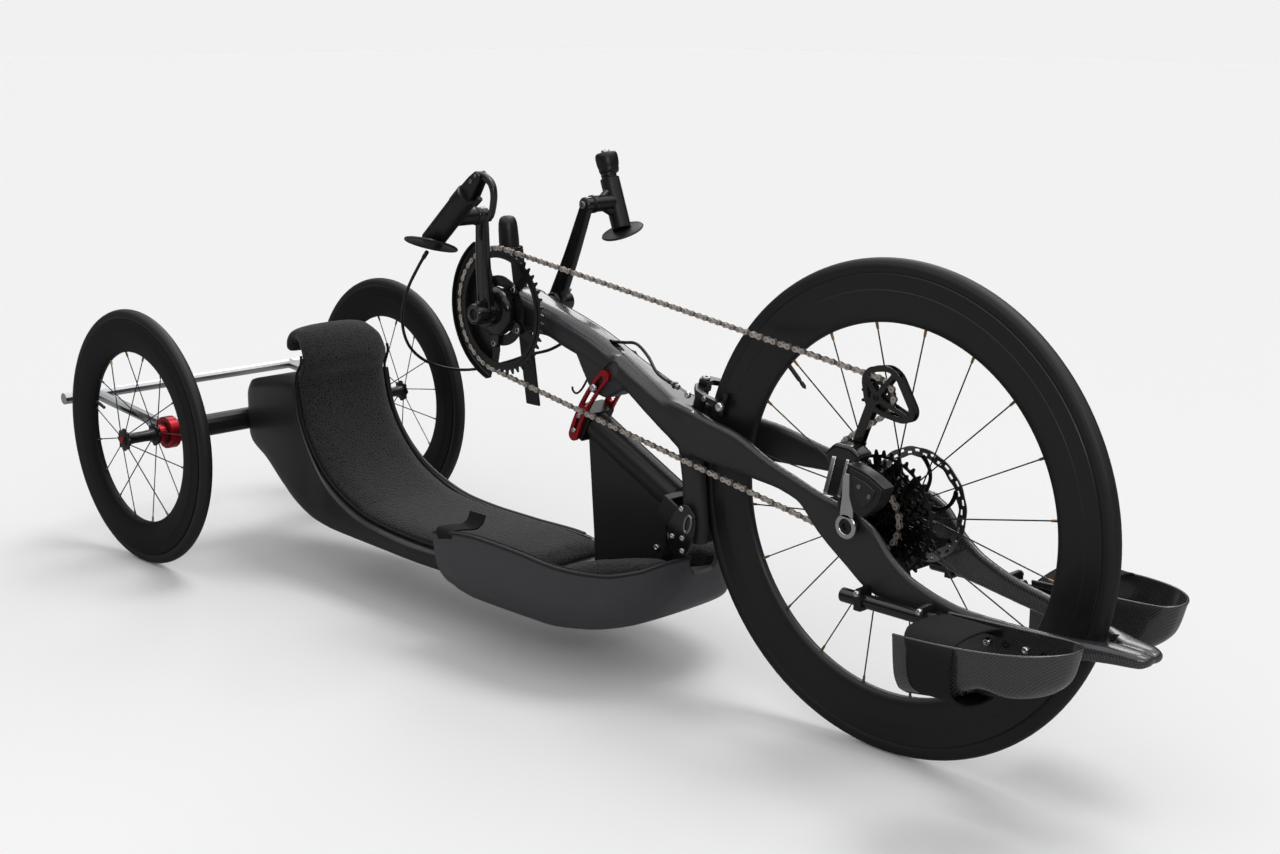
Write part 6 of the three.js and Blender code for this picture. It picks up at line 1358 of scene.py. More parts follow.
class HANDCYCLE_OT_rear_shells(bpy.types.Operator):
    """Rear frame shells: the seat tub with its lip bead, and the nose pod round the legs"""

    bl_idname = "handcycle.rear_shells"
    bl_label = "Rear shells"

    def execute(self, context):
        self.tub(context.scene.handcycle_sizes.lip_radius)
        self.pod(context.scene.handcycle_sizes.lip_radius)
        return {"FINISHED"}

    def tub_sections(self, x):
        """Half width, floor and top of the hull, then the lip and the seat, at each place."""
        t = np.asarray(TUB_TABLE)
        low, top, width = (smooth_values((x - TUB_REAR) / TUB_LENGTH, t[:, 0], t[:, i]) for i in (1, 2, 3))
        low, high, half = TUB_FLOOR + low * TUB_HEIGHT, TUB_FLOOR + top * TUB_HEIGHT, width * TUB_HALF
        line = lip_line()
        lip = np.minimum(high, height_at(x, line))
        seat = np.minimum(high, height_at(x, moved_line(line, -17)))
        return half, low, high, lip, np.minimum(seat, lip)

    def tub(self, bead):
        x = np.unique(np.concatenate([
            np.linspace(-1470, -1455, 8), np.linspace(-1455, -1275, 40), np.linspace(-1275, -1160, 110),
            np.linspace(-1160, -425, 150)]))
        half, low, high, lip, seat = self.tub_sections(x)
        bilge = np.minimum(34, (high - low) * 0.45)
        open_share = np.clip((high - lip) / (0.5 * bilge), 0, 1)
        inner = 0.8 * half + (half - 10 - 0.8 * half) * open_share
        shoulder = 0.86 * half + 0.14 * half * open_share
        flank = np.minimum(high - 0.5 * bilge, lip - 2)
        corners = [(0.62 * half, low), (0.93 * half, low + 0.5 * bilge), (half, low + bilge),
                   (half, flank), (shoulder, lip), (inner, lip), (inner, seat)]
        ring = np.stack([np.stack(np.broadcast_arrays(*c), -1) for c in corners], 1)
        ring[:, 2, 1] = np.minimum(ring[:, 2, 1], ring[:, 3, 1])
        ring[:, 1, 1] = np.minimum(ring[:, 1, 1], ring[:, 2, 1])
        other = ring[:, ::-1] * [-1, 1]
        whole = np.concatenate([ring, other], 1)
        size = np.array([26, 22, 22, 12, 5, 4, 9.0])
        outline = rounded(whole, np.concatenate([size, size[::-1]])[None, :, None], 5)
        along = np.repeat(x[:, None], outline.shape[1], 1)
        points = np.stack([along, outline[..., 0], outline[..., 1]], -1)
        dress(grid_object("seat_tub_skin", points, wrap_columns=True, caps=True, smooth=45), "rear_frame",
              "satin", "seat_tub")
        line = lip_line(10)
        line = line[(line[:, 1] < 338) & (line[:, 0] < -720)]
        width = self.tub_sections(line[:, 0])[0]
        for name, side in SIDES:
            path = np.column_stack([line[:, 0], side * (width - 2.5), line[:, 1] - 1.5])
            dress(sweep(f"tub_lip_{name}", path, circle(bead, 12)), "rear_frame", "satin")

    def pod(self, bead):
        t = np.asarray(POD_TABLE)
        s = np.unique(np.concatenate([np.linspace(0, 0.84, 50), np.linspace(0.84, 1, 40)]))
        low, top, width = (smooth_values(s, t[:, 0], t[:, i]) for i in (1, 2, 3))

        def skin(inset):
            x = POD_REAR + s * POD_LENGTH - inset * (s > 0.97)
            half = width * POD_HALF - inset
            floor = POD_FLOOR + low * POD_HEIGHT + inset
            rim = POD_FLOOR + top * POD_HEIGHT
            share = [(0.55, 0), (0.8, 0.17), (0.95, 0.45), (1, 0.8), (1, 1)]
            side = np.stack([np.stack([a * half, floor + b * (rim - floor)], -1) for a, b in share], 1)
            whole = np.concatenate([side[:, ::-1] * [-1, 1], side], 1)
            outline = curve(whole.transpose(1, 0, 2).reshape(10, -1), 8)
            outline = outline.reshape(-1, len(s), 2).transpose(1, 0, 2)
            return np.concatenate([np.repeat(x[:, None, None], outline.shape[1], 1), outline], -1)
        outer = skin(0)
        dress(shell("nose_pod_skin", outer, skin(4), 40), "rear_frame", "pod", "nose_pod")
        for name, column in (("right", 0), ("left", -1)):
            path = outer[:, column] + [0, 2.0 if name == "right" else -2.0, 0]
            dress(sweep(f"pod_lip_{name}", path, circle(bead * 0.8, 12)), "rear_frame", "satin")


# Soft pieces and foot cups


def pad_loft(name, line, half, thickness, crown, ends, corner=0.45):
    """A flat pad along a line. Each section is a rounded slab: half width times a power of the
    cosine, half the thickness times a power of the sine, and a crown that falls off as the square
    of the distance from the middle. It thins towards both ends like the end of an ellipse."""
    p = np.asarray(line, float)
    s = np.linspace(0, 1, len(p))
    across = np.array([0, 1.0, 0])
    up = unit(np.cross(unit(np.gradient(p, axis=0)), across))
    up *= np.sign(up[:, 2:].sum()) or 1
    edge = np.clip(np.minimum(s, 1 - s) / ends, 0, 1)
    taper = np.sqrt(np.clip(1 - (1 - edge) ** 2, 0.02, 1))
    a = np.linspace(0, 2 * np.pi, 72, endpoint=False)
    w, h = power(np.cos(a), corner), power(np.sin(a), 0.75)
    lift = (h * thickness / 2 + (h > 0) * crown * (1 - w * w) * np.abs(h))[None] * taper[:, None]
    spread = half[:, None] * w[None] * (0.94 + 0.06 * taper[:, None])
    points = p[:, None] + up[:, None] * lift[..., None] + across * spread[..., None]
    return grid_object(name, points, wrap_columns=True, caps=True, smooth=60)


def filled(obj, voxel, cap):
    """The pad filled like a cushion: a voxel remesh, then a cloth simulation with pressure inside
    and no gravity. No vertex moves farther than the cap. One subdivision smooths the result."""
    skin = obj.modifiers.new("skin", "REMESH")
    skin.mode = "VOXEL"
    skin.voxel_size = voxel * MM
    baked(obj)
    rest = vertices(obj.data)
    scene = bpy.context.scene
    cloth = obj.modifiers.new("filling", "CLOTH")
    cloth.settings.use_pressure = True
    cloth.settings.uniform_pressure_force = 4
    cloth.settings.effector_weights.gravity = 0
    cloth.point_cache.frame_start, cloth.point_cache.frame_end = 1, 20
    for number in range(1, 21):
        scene.frame_set(number)
    graph = bpy.context.evaluated_depsgraph_get()
    shift = vertices(obj.evaluated_get(graph).data) - rest
    length = np.linalg.norm(shift, axis=1, keepdims=True) + 1e-12
    shift *= np.minimum(length, cap * MM) / length
    obj.modifiers.clear()
    scene.frame_set(1)
    obj.data.vertices.foreach_set("co", (rest + shift).ravel())
    obj.data.update()
    obj.modifiers.new("even", "SMOOTH").iterations = 2
    fine = obj.modifiers.new("fine", "SUBSURF")
    fine.levels = fine.render_levels = 1
    baked(obj)
    shade(obj.data, 60)
    return obj


def cushion_line():
    """The middle of the back cushion in the side view: over the tub's rear edge, then down the seat."""
    x, z = tub_place(0.236, 1)
    roll = [(x + 24 * a, z + 24 * b) for a, b in ((-2.1, 1.35), (-2, 2.3), (-1.1, 2.85), (0, 2.4),
            (0.6, 1.2))]
    lip = np.array([tub_place(*p) for p in TUB_LIP])
    ahead = unit(np.vstack([lip[1:], lip[-1:]]) - np.vstack([lip[:1], lip[:-1]]))
    seat = lip - np.column_stack([ahead[:, 1], -ahead[:, 0]]) * 3.5
    line = curve(roll + seat[1:10].tolist(), 14)
    return np.column_stack([line[:, 0], np.zeros(len(line)), line[:, 1]])


class HANDCYCLE_OT_soft_pieces(bpy.types.Operator):
    """Seat cushion with piping, leg pads, the pod's edge trim and its closing strap"""

    bl_idname = "handcycle.soft_pieces"
    bl_label = "Cushions"

    def execute(self, context):
        line = cushion_line()
        s = np.linspace(0, 1, len(line))
        wide = smooth_values(s, [0, 0.14, 0.26, 0.5, 1], [78, 80, 91, 98, 108])
        back = filled(pad_loft("seat_cushion_pad", line, wide - 2, 21, 3, ends=0.03), 5, 3)
        dress(back, "rear_frame", "mesh", "seat_cushion")
        middle, half = line[52:-8], wide[52:-8]
        for name, side in SIDES:
            path = middle + np.column_stack([0 * half, side * (half + 0.4), 0 * half])
            dress(sweep(f"cushion_piping_{name}", path, circle(2.6, 10), up=(0, 1, 0)), "rear_frame", "strap")
        for name, side in SIDES:
            self.leg_pad(name, side)
        self.pod_trim()
        return {"FINISHED"}

    def leg_pad(self, name, side):
        s = np.linspace(0, 1, 40)
        x = -556.8 + 198 * s
        y = side * (84 - 20.8 * s * s)
        z = POD_FLOOR + 80.6 + 50 * s - 17
        half = 46 * (1 - 0.35 * s)
        pad = filled(pad_loft(f"leg_pad_{name}_pad", np.column_stack([x, y, z]), half, 32, 0, ends=0.16,
                              corner=0.6), 4.5, 4)
        dress(pad, "rear_frame", "mesh", f"leg_pad_{name}")

    def pod_trim(self):
        """A padded fabric trim inside the pod's rim, and the strap that closes it on the right."""
        t = np.asarray(POD_TABLE)
        s = np.linspace(0.02, 0.93, 70)
        top, width = smooth_values(s, t[:, 0], t[:, 2]), smooth_values(s, t[:, 0], t[:, 3])
        for name, side in SIDES:
            path = np.column_stack([POD_REAR + s * POD_LENGTH, side * (width * POD_HALF - 9),
                                    POD_FLOOR + top * POD_HEIGHT - 1])
            dress(sweep(f"pod_trim_{name}", path, circle(1, 14) * [5.0, 3.6]), "rear_frame", "strap")
        rows = curve([(-187, 178), (-191.5, 192), (-188, 200), (-176, 201), (-158, 198), (-140, 196),
                      (-131, 203), (-126, 214)], 6)
        x = np.linspace(-720, -684, 9)
        lean = 2.0 * (rows[:, 1] > 200)[:, None]
        sheet = np.stack([x[None] + lean, np.repeat(rows[:, :1], 9, 1), np.repeat(rows[:, 1:], 9, 1)], -1)
        outward = unit(np.cross(np.gradient(sheet, axis=1), np.gradient(sheet, axis=0)))
        strap = shell("pod_strap_band", sheet, sheet - outward * 2.4, 50)
        dress(strap, "rear_frame", "strap", "pod_strap")


CUP_REAR = 158.0
CUP_PLAN = [(0, 0), (0.35, 0), (0.7, 0.0), (0.86, 0.005), (0.955, 0.06), (1, 0.2), (0.985, 0.4), (0.9, 0.62),
            (0.76, 0.8), (0.55, 0.93), (0.3, 0.99), (0, 1)]


class HANDCYCLE_OT_foot_cups(bpy.types.Operator):
    """Foot cups of woven carbon with their bolts, the heel straps, rails and clamps"""

    bl_idname = "handcycle.foot_cups"
    bl_label = "Foot cups"

    def execute(self, context):
        for name, side in SIDES:
            self.cup(name, side)
            self.strap(name, side)
            self.rail(name, side)
        return {"FINISHED"}

    def cup_grid(self, side, inset):
        """Rows from the floor's middle line out to the floor's edge and up the wall to the rim."""
        plan = curve(CUP_PLAN, 7)
        up = np.linspace(0, 1, 16)
        reach = smooth_values(up, [0, 0.15, 0.45, 1], [0.74, 0.85, 0.945, 1])
        spread = smooth_values(up, [0, 0.15, 0.45, 1], [0.70, 0.86, 0.955, 1])
        along = np.minimum(plan[:, 0], 1)
        x = CUP_REAR + along[None] * (200 * reach[:, None] - inset)
        y = 90 + inset + plan[None, :, 1] * (116 * spread[:, None] - 2 * inset)
        arch = 15 * np.exp(-((x - 262) / 26) ** 2) * np.clip(plan[None, :, 1] * 1.6, 0, 1)
        floor = 174 + 22 * along + arch + inset
        rim = 256 + 9 * along
        z = floor + (rim - floor) * up[:, None]
        wall = np.stack([x, side * y, z], -1)
        low = wall[0]
        middle = low.copy()
        middle[:, 1] = side * (90 + 58 * 0.7)
        middle[:, 0] = np.minimum(low[:, 0], CUP_REAR + 118)
        shares = np.linspace(0, 1, 7)[:-1, None, None]
        bottom = middle[None] + (low - middle)[None] * shares
        share = shares[..., 0]
        bottom[..., 2] = middle[None, :, 2] * (1 - share) + low[None, :, 2] * share - 2 * (1 - share) ** 2
        return np.concatenate([bottom, wall])

    def cup(self, name, side):
        cup = shell(f"foot_cup_{name}_shell", self.cup_grid(side, 0), self.cup_grid(side, 3.2), 40)
        fix_normals(cup.data, 1e-5)
        shade(cup.data, 40)
        dress(cup, "front_frame", "gloss", f"foot_cup_{name}")
        path = self.cup_grid(side, 1.6)[-1]
        dress(sweep(f"cup_rim_{name}", path, circle(2.0, 10)), "front_frame", "gloss")
        dress(bolts(f"cup_bolts_{name}", [(217, side * 93.2, 235), (271, side * 93.2, 238)], (0, side, 0),
              5.2, 4.2, 20), "front_frame", "silver")
        rings = [revolve(f"cup_hole_{name}_{i}", [(2.6, 0), (4.2, 0), (4.2, 0.9), (2.6, 0.9)],
                         (x, side * 93.2, 238), (0, side, 0), 20) for i, x in enumerate((243, 296))]
        for ring in rings:
            dress(ring, "front_frame", "black alloy")

    def strap(self, name, side):
        line = curve([(-93, 246), (-95, 254), (-104, 259.5), (-140, 266), (-180, 267), (-203, 261),
                      (-210, 246), (-209.5, 222), (-203, 203), (-188, 189), (-165, 177), (-135, 171),
                      (-105, 170)], 6)
        s = np.linspace(0, 1, len(line))
        rear = np.interp(s, [0, 0.35, 0.5, 0.75, 1], [161, 168, 184, 186, 180])
        ahead = np.interp(s, [0, 0.3, 0.5, 0.75, 1], [234, 240, 243, 240, 236])
        part = np.linspace(0, 1, 12)
        x = rear[:, None] + (ahead - rear)[:, None] * part[None]
        drop = -np.abs(part - 0.5)[None] ** 2 * 5 * np.sin(np.pi * s)[:, None]
        sheet = np.stack([x, side * -np.repeat(line[:, :1], 12, 1), np.repeat(line[:, 1:], 12, 1) + drop], -1)
        outward = side * unit(np.cross(np.gradient(sheet, axis=1), np.gradient(sheet, axis=0)))
        band = shell(f"foot_strap_{name}_band", sheet, sheet - outward * 2.4, 50)
        dress(band, "front_frame", "strap", f"foot_strap_{name}")
        for i, column in enumerate((0, -1)):
            dress(sweep(f"strap_hem_{name}_{i}", sheet[:, column] - outward[:, column] * 1.2,
                  circle(1.9, 8)), "front_frame", "strap")

    def rail(self, name, side):
        dress(solid_turn(f"foot_rail_{name}_tube", [(0, 0), (8, 0), (9.5, 1.4), (9.5, 146.6), (8, 148),
              (0, 148)], (-4, side * 97.5, 243), (1, 0, 0), 36), "front_frame", "gloss alloy",
              f"foot_rail_{name}")
        for i, x in enumerate((29.6, 127.3)):
            dress(finish_edges(side_plate(f"rail_clamp_{name}_{i}", [(x - 6, 231), (x + 6, 231),
                  (x + 6, 254), (x + 3, 260.5), (x - 3, 260.5), (x - 6, 254)], side * 86.3, side * 110), 1.2,
                  3), "front_frame", "black alloy")
        dress(finish_edges(side_plate(f"rail_tongue_{name}", [(104, 234), (244, 234), (248, 238), (248, 248),
              (244, 252), (104, 252)], side * 86.7, side * 89.7), 0.6), "front_frame", "black alloy")
        dress(bolts(f"rail_bolts_{name}", [(29.6, side * 109.6, 254.5), (127.3, side * 109.6, 254.5)],
              (0, side, 0), 4.6, 4, 18), "front_frame", "silver")


# Hands: crank arms, grips, brake lever, post and the brake cable


CRANK_ANGLE = 77.4
CRANK_LENGTH = 160.0
RIGHT_GRIP = 41.5
LEFT_GRIP = 110.0
CRANK_TIP = (CRANK[0] + CRANK_LENGTH * math.cos(math.radians(CRANK_ANGLE)),
             CRANK[1] + CRANK_LENGTH * math.sin(math.radians(CRANK_ANGLE)))


def grip_place(side, degrees, along, out, lift=0.0):
    """A place on a hand grip: along its axis, out from the axis in the side view, and outboard."""
    a = math.radians(degrees)
    return (CRANK_TIP[0] + math.cos(a) * along + math.sin(a) * out, side * (170 + lift),
            CRANK_TIP[1] + math.sin(a) * along - math.cos(a) * out)


def right_place(along, out, lift=0.0):
    return grip_place(-1, RIGHT_GRIP, along, out, lift)


def left_place(along, out, lift=0.0):
    return grip_place(1, LEFT_GRIP, along, out, lift)


def grip_axis(degrees):
    a = math.radians(degrees)
    return np.array([math.cos(a), 0.0, math.sin(a)])


def bent_disc(name, centre, axis, radius, thickness, dish):
    """A round plate whose height falls off with the square of the radius."""
    r = np.concatenate([np.linspace(0, 1, 12), [1.0], np.linspace(1, 0, 12)]) * radius
    r[12] = radius + thickness * 0.35
    drop = -dish * (r / radius) ** 2
    height = np.concatenate([np.zeros(12), [-thickness / 2], np.full(12, -thickness)])
    return solid_turn(name, np.column_stack([r, drop + height]), centre, axis, 48, 35)


def tube_between(name, start, end, radius, sides=36, edge=1.0):
    """A round bar with a small round at each end."""
    a, b = np.asarray(start, float), np.asarray(end, float)
    length = np.linalg.norm(b - a)
    return solid_turn(name, [(0, 0), (radius - edge, 0), (radius, edge), (radius, length - edge),
                             (radius - edge, length), (0, length)], a, b - a, sides)


class HANDCYCLE_OT_cranks(bpy.types.Operator):
    """Crank arms with their ribs, pinch bolts and end caps, and the post on its flat bracket"""

    bl_idname = "handcycle.cranks"
    bl_label = "Crank arms"

    def execute(self, context):
        for name, side in SIDES:
            self.arm(name, side)
        self.post()
        return {"FINISHED"}

    def arm(self, name, side):
        body = "crank"
        u = grip_axis(CRANK_ANGLE)
        w = np.array([-u[2], 0, u[0]])
        s = np.linspace(0, 1, 30)
        out = smooth_values(s, [0, 0.5, 1], [72, 92, 108])
        half = smooth_values(s, [0, 0.5, 1], [16, 13.2, 10.4])
        thick = smooth_values(s, [0, 0.5, 1], [8, 7, 6.6])
        a = np.linspace(0, 2 * np.pi, 48, endpoint=False)
        across, face = power(np.cos(a), 0.55), power(np.sin(a), 0.45)
        ridge = 1.0 - 0.22 * (np.sin(a) > 0.5) * (np.abs(np.cos(a)) < 0.42)
        centre = np.array(spot(CRANK)) + u * (CRANK_LENGTH * s)[:, None] + np.outer(out * side, [0, 1, 0])
        points = (centre[:, None] + w * (half[:, None] * across)[..., None]
                  + np.array([0, side, 0]) * (thick[:, None] * (face * ridge))[..., None])
        dress(grid_object(f"crank_arm_{name}_beam", points, wrap_columns=True, caps=True, smooth=50), body,
              "gloss alloy", f"crank_arm_{name}")
        axis = (0, side, 0)
        dress(revolve(f"crank_boss_{name}", [(8, 64), (15.5, 64), (17, 65.5), (17, 95), (15.8, 98),
              (14.6, 99.4), (12.6, 99.4), (11.6, 97.6), (8, 97.6)], spot(CRANK), axis, 56), body,
              "gloss alloy")
        dress(solid_turn(f"crank_cap_{name}", [(0, 90), (11.2, 90), (11.2, 97.8), (10, 98.4), (7.4, 98.4),
              (7, 96.2), (0, 96.2)], spot(CRANK), axis, 40), body, "black alloy")
        dress(revolve(f"crank_ring_{name}", [(10.1, 97.9), (11.5, 97.9), (11.5, 98.9), (10.1, 98.9)],
              spot(CRANK), axis, 48), body, "steel")
        pinch = np.array(spot(CRANK, side * 93)) + u * 19 - w * 3
        dress(bolts(f"crank_pinch_{name}", [pinch], u * 0.4 + np.array([0, side, 0]), 3.4, 5, 18), body,
              "steel")
        tip = spot(CRANK_TIP)
        dress(solid_turn(f"crank_eye_{name}", [(0, 101), (10.8, 101), (12, 102.4), (12, 113.6), (10.8, 115),
              (0, 115)], tip, axis, 44), body, "gloss alloy")
        dress(solid_turn(f"pedal_axle_{name}", [(0, 112), (9.5, 112), (9.5, 117), (7, 118.5), (7, 168.5),
              (6, 170), (0, 170)], tip, axis, 36), body, "black alloy", slot="steel")
        dress(solid_turn(f"pedal_flats_{name}", [(0, 100.2), (6.2, 100.2), (6.2, 97.4), (5.4, 96.6),
              (3, 96.6), (2.6, 99), (0, 99)], tip, axis, 24), body, "steel")

    def post(self):
        lean = math.sin(math.radians(9))

        def at(up, ahead):
            return CRANK[0] - 40 - up * lean + ahead, CRANK[1] + up
        outline = [at(-164, -15), at(-164, 15), at(88, 15), at(88, -15)]
        dress(finish_edges(side_plate("post_bracket", outline, 33.3, 38.3), 1.2, 3), "front_frame",
              "plastic", "hand_post")
        x, z = at(88, 0)
        y = 33.3 - 16 + 5
        dress(solid_turn("post_collar", [(0, -4), (20.6, -4), (21.6, -3), (21.6, 0), (20.8, 1.4), (18, 2),
              (0, 2)], (x, y, z), (0, 0, 1), 48), "front_frame", "gloss alloy", slot="black_plastic")
        top = [(0, 0), (16, 0), (16.2, 10), (15.6, 28), (14.6, 39), (12.6, 45), (9.5, 48.4), (5, 49.8),
               (0, 50)]
        dress(solid_turn("hand_post_bar", top, (x, y, z), (-5 / 50, 0, 1), 48, 40), "front_frame", "plastic")


class HANDCYCLE_OT_grips(bpy.types.Operator):
    """Hand grips with their collars, hand stops, brake lever and shifter"""

    bl_idname = "handcycle.grips"
    bl_label = "Hand grips"

    def execute(self, context):
        self.right()
        self.lever()
        self.left()
        return {"FINISHED"}

    def common(self, name, side, degrees, below, above, radius, stop):
        body = f"grip_{name}"
        dress(tube_between(f"grip_{name}_tube", grip_place(side, degrees, -below, 0),
              grip_place(side, degrees, above, 0), radius, 48, 1.6), body, "plastic", f"grip_{name}")
        dress(bent_disc(f"hand_stop_{name}", grip_place(side, degrees, -below, 0),
              (-0.08, -side * 0.35, 0.93), stop, 3.4, 3.0), body, "plastic", slot="black_alloy")
        start, end = spot(CRANK_TIP, side * 115.3), spot(CRANK_TIP, side * 162)
        dress(tube_between(f"grip_collar_{name}", start, end, 13, 44, 1.2), body, "black alloy")
        dress(revolve(f"grip_flange_{name}", [(11, 117), (13.8, 117), (14.4, 118), (14.4, 122), (13.8, 123),
              (11, 123)], spot(CRANK_TIP), (0, side, 0), 44), body, "gloss alloy")
        feet = [grip_place(side, degrees, along, 0, -14) for along in (-16, 16)]
        dress(rods(f"grip_gussets_{name}", feet, [spot(CRANK_TIP, side * 128)] * 2, 6.5, 20, 5), body,
              "plastic", slot="black_alloy")

    def right(self):
        self.common("right", -1, RIGHT_GRIP, 58, 58, 17.2, 40)
        body = "grip_right"
        dress(solid_turn("grip_right_sleeve", [(0, 0), (16.6, 0), (17.9, 1), (17.9, 27), (17.2, 28.6),
              (15.4, 29), (0, 29)], right_place(30, 0), grip_axis(RIGHT_GRIP), 48), body, "plastic",
              slot="black_alloy")
        corners = ((50, -14), (86, -12), (102, -9), (104, 2), (94, 6), (70, 13), (50, 14))
        cheek_line = [right_place(*c)[::2] for c in corners]
        for i, (low, high) in enumerate(((-179.3, -175.3), (-164.7, -160.7))):
            dress(finish_edges(side_plate(f"lever_cheek_{i}", cheek_line, low, high), 1.0, 3), body,
                  "black alloy")
        dress(revolve("grip_right_dimple", [(6.4, 0), (8.2, 0), (7.6, 0.9), (6.6, 0.9)],
              right_place(-32, 0, 16.0), RIGHTWARD, 32), body, "plastic", slot="black_alloy")
        dress(tube_between("lever_pin", right_place(97, -4, 9.8), right_place(97, -4, -9.8), 2.5, 24, 0.5),
              body, "steel")
        dress(bolts("grip_right_screw", [right_place(84, -4, 9.2)], RIGHTWARD, 3.4, 1.8, 18), body, "steel")
        dress(tube_between("cable_stop", right_place(60, 20), right_place(76, 21), 4.2, 24, 0.8), body,
              "black alloy")

    def lever(self):
        line = curve([(0, -0.07), (0.16, 0.1), (0.24, 0.42), (0.08, 0.72), (-0.3, 1.0), (-0.54, 1.06)], 10)
        path = np.column_stack(np.broadcast_arrays(*right_place(97 + 52 * line[:, 0], 52 * line[:, 1])))
        s = np.linspace(0, 1, len(path))
        thin = np.interp(s, [0, 0.2, 0.4, 0.6, 0.8, 1], [1, 1.1, 1, 0.85, 0.7, 0.5])
        t = np.linspace(0, 2 * np.pi, 32, endpoint=False)
        profile = np.column_stack([5.2 * power(np.cos(t), 0.6), 4.8 * power(np.sin(t), 0.7)])
        blade = sweep("brake_lever_blade", path, profile, up=(0, 1, 0.001))
        middle = placed(path)[:, None]
        shift = vertices(blade.data).reshape(len(path), 32, 3) - middle
        shift[..., [0, 2]] *= thin[:, None, None]
        blade.data.vertices.foreach_set("co", (middle + shift).ravel())
        dress(blade, "brake_lever", "gunmetal", "brake_lever")
        dress(revolve("lever_eye", [(2.8, -5), (5.8, -5), (6.3, -4.4), (6.3, 4.4), (5.8, 5), (2.8, 5)],
              right_place(97, -4), (0, 1, 0), 36), "brake_lever", "black alloy")

    def left(self):
        self.common("left", 1, LEFT_GRIP, 44, 40, 15.6, 34)
        body = "grip_left"
        axis = grip_axis(LEFT_GRIP)
        dress(revolve("shifter_neck", [(8, 0), (12.5, 0), (12.5, 7.2), (8, 7.2)], left_place(40, 0), axis,
              36), body, "black alloy")
        dress(revolve("shifter_ring", [(11, 0), (13.4, 0), (13.4, 1.1), (11, 1.1)], left_place(45, 1), axis,
              40), body, "steel")
        foot, end = np.array(left_place(46, 3)), np.array(left_place(80, 5))
        profile = [(0, 0), (9, 0), (13.5, 0), (15.4, 2), (16.4, 6), (16.2, 9), (17.4, 12), (18.2, 18),
                   (18.4, 26), (17.6, 31), (15.5, 33.6), (12.5, 34), (9.4, 34), (7.9, 33), (7.9, 22),
                   (0, 22)]
        bulb = solid_turn("shifter_pod", profile, foot, end - foot, 56, 45)
        self.knurl(bulb, foot, (end - foot) / np.linalg.norm(end - foot))
        dress(bulb, body, "plastic", slot="black_alloy")
        dress(solid_turn("shift_button_cap", [(0, -3), (6.6, -3), (7, -2.4), (7, 2.6), (6.2, 4), (4, 4.6),
              (0, 4.8)], end, end - foot, 32), "shift_button", "silver", "shift_button")
        dress(tube_between("grip_left_clamp", left_place(-40, -14), left_place(-50, -15), 4.6, 24, 1), body,
              "gloss alloy")
        dress(bolts("grip_left_screws", [left_place(4, -14.5, -8), left_place(-9, -14.5, -8)],
              np.cross(axis, (0, 1, 0)), 2.8, 2, 16), body, "steel")

    def knurl(self, obj, foot, axis):
        """Shallow lengthwise ribs: the radius grows by a raised sine of the angle about the axis."""
        offset = vertices(obj.data) - placed(foot)
        along = offset @ axis
        radial = offset - along[:, None] * axis
        angle = np.arctan2(radial[:, 1], radial @ np.cross(axis, (0, 1, 0)))
        ribbed = (along > 0.011) & (along < 0.030) & (np.linalg.norm(radial, axis=1) > 0.012)
        grow = 1 - 0.045 * ribbed * (np.round(angle * 28 / np.pi).astype(int) % 2)
        moved = placed(foot) + along[:, None] * axis + radial * grow[:, None]
        obj.data.vertices.foreach_set("co", moved.ravel())


class HANDCYCLE_OT_brake_cable(bpy.types.Operator):
    """The brake cable: from the right grip in a free loop to the beam, along it and into the caliper"""

    bl_idname = "handcycle.brake_cable"
    bl_label = "Brake cable"

    def execute(self, context):
        path = curve(CABLE_LINE, 14)
        hose = sweep("brake_cable_hose", path, circle(2.4, 16), up=(0.3, 0.2, 1))
        dress(hose, "front_frame", "cable", "brake_cable")
        for i, (near, far) in enumerate(((0, 6), (len(path) - 7, len(path) - 1))):
            dress(tube_between(f"cable_ferrule_{i}", path[near], path[far], 3.3, 20, 0.5), "front_frame",
                  "black alloy")
        end = path[-1]
        anchor = np.array([-350.0, -24.0, 441.0])
        dress(tube_between("cable_adjuster", end, end + (anchor - end) * 0.4, 4.0, 24, 0.8), "front_frame",
              "steel")
        dress(tube_between("cable_adjuster_nut", end + (anchor - end) * 0.12, end + (anchor - end) * 0.24,
              5.6, 6, 0.4), "front_frame", "black alloy")
        dress(rods("cable_wire", [end], [anchor], 0.9, 10), "front_frame", "steel")
        dress(bolts("cable_anchor", [anchor - [0, 1, 0], (-334, -30, 416)], RIGHTWARD, 5.2, 4.4, 20),
              "front_frame", "silver")
        return {"FINISHED"}


# Fittings: derailleur, height plates, hinge plates and head tube


def strip(points, widths):
    """Outline of a flat strip along a line in the side view, as wide as asked at each point."""
    p = np.asarray(points, float)
    d = unit(np.gradient(p, axis=0))
    n = np.column_stack([-d[:, 1], d[:, 0]]) * (np.asarray(widths, float)[:, None] / 2)
    return np.vstack([p + n, (p - n)[::-1]]).tolist()


def soft_outline(corners, radius, steps=5):
    """A closed outline with all its corners rounded."""
    c = np.asarray(corners, float)
    return rounded(c[None], radius, steps)[0].tolist()


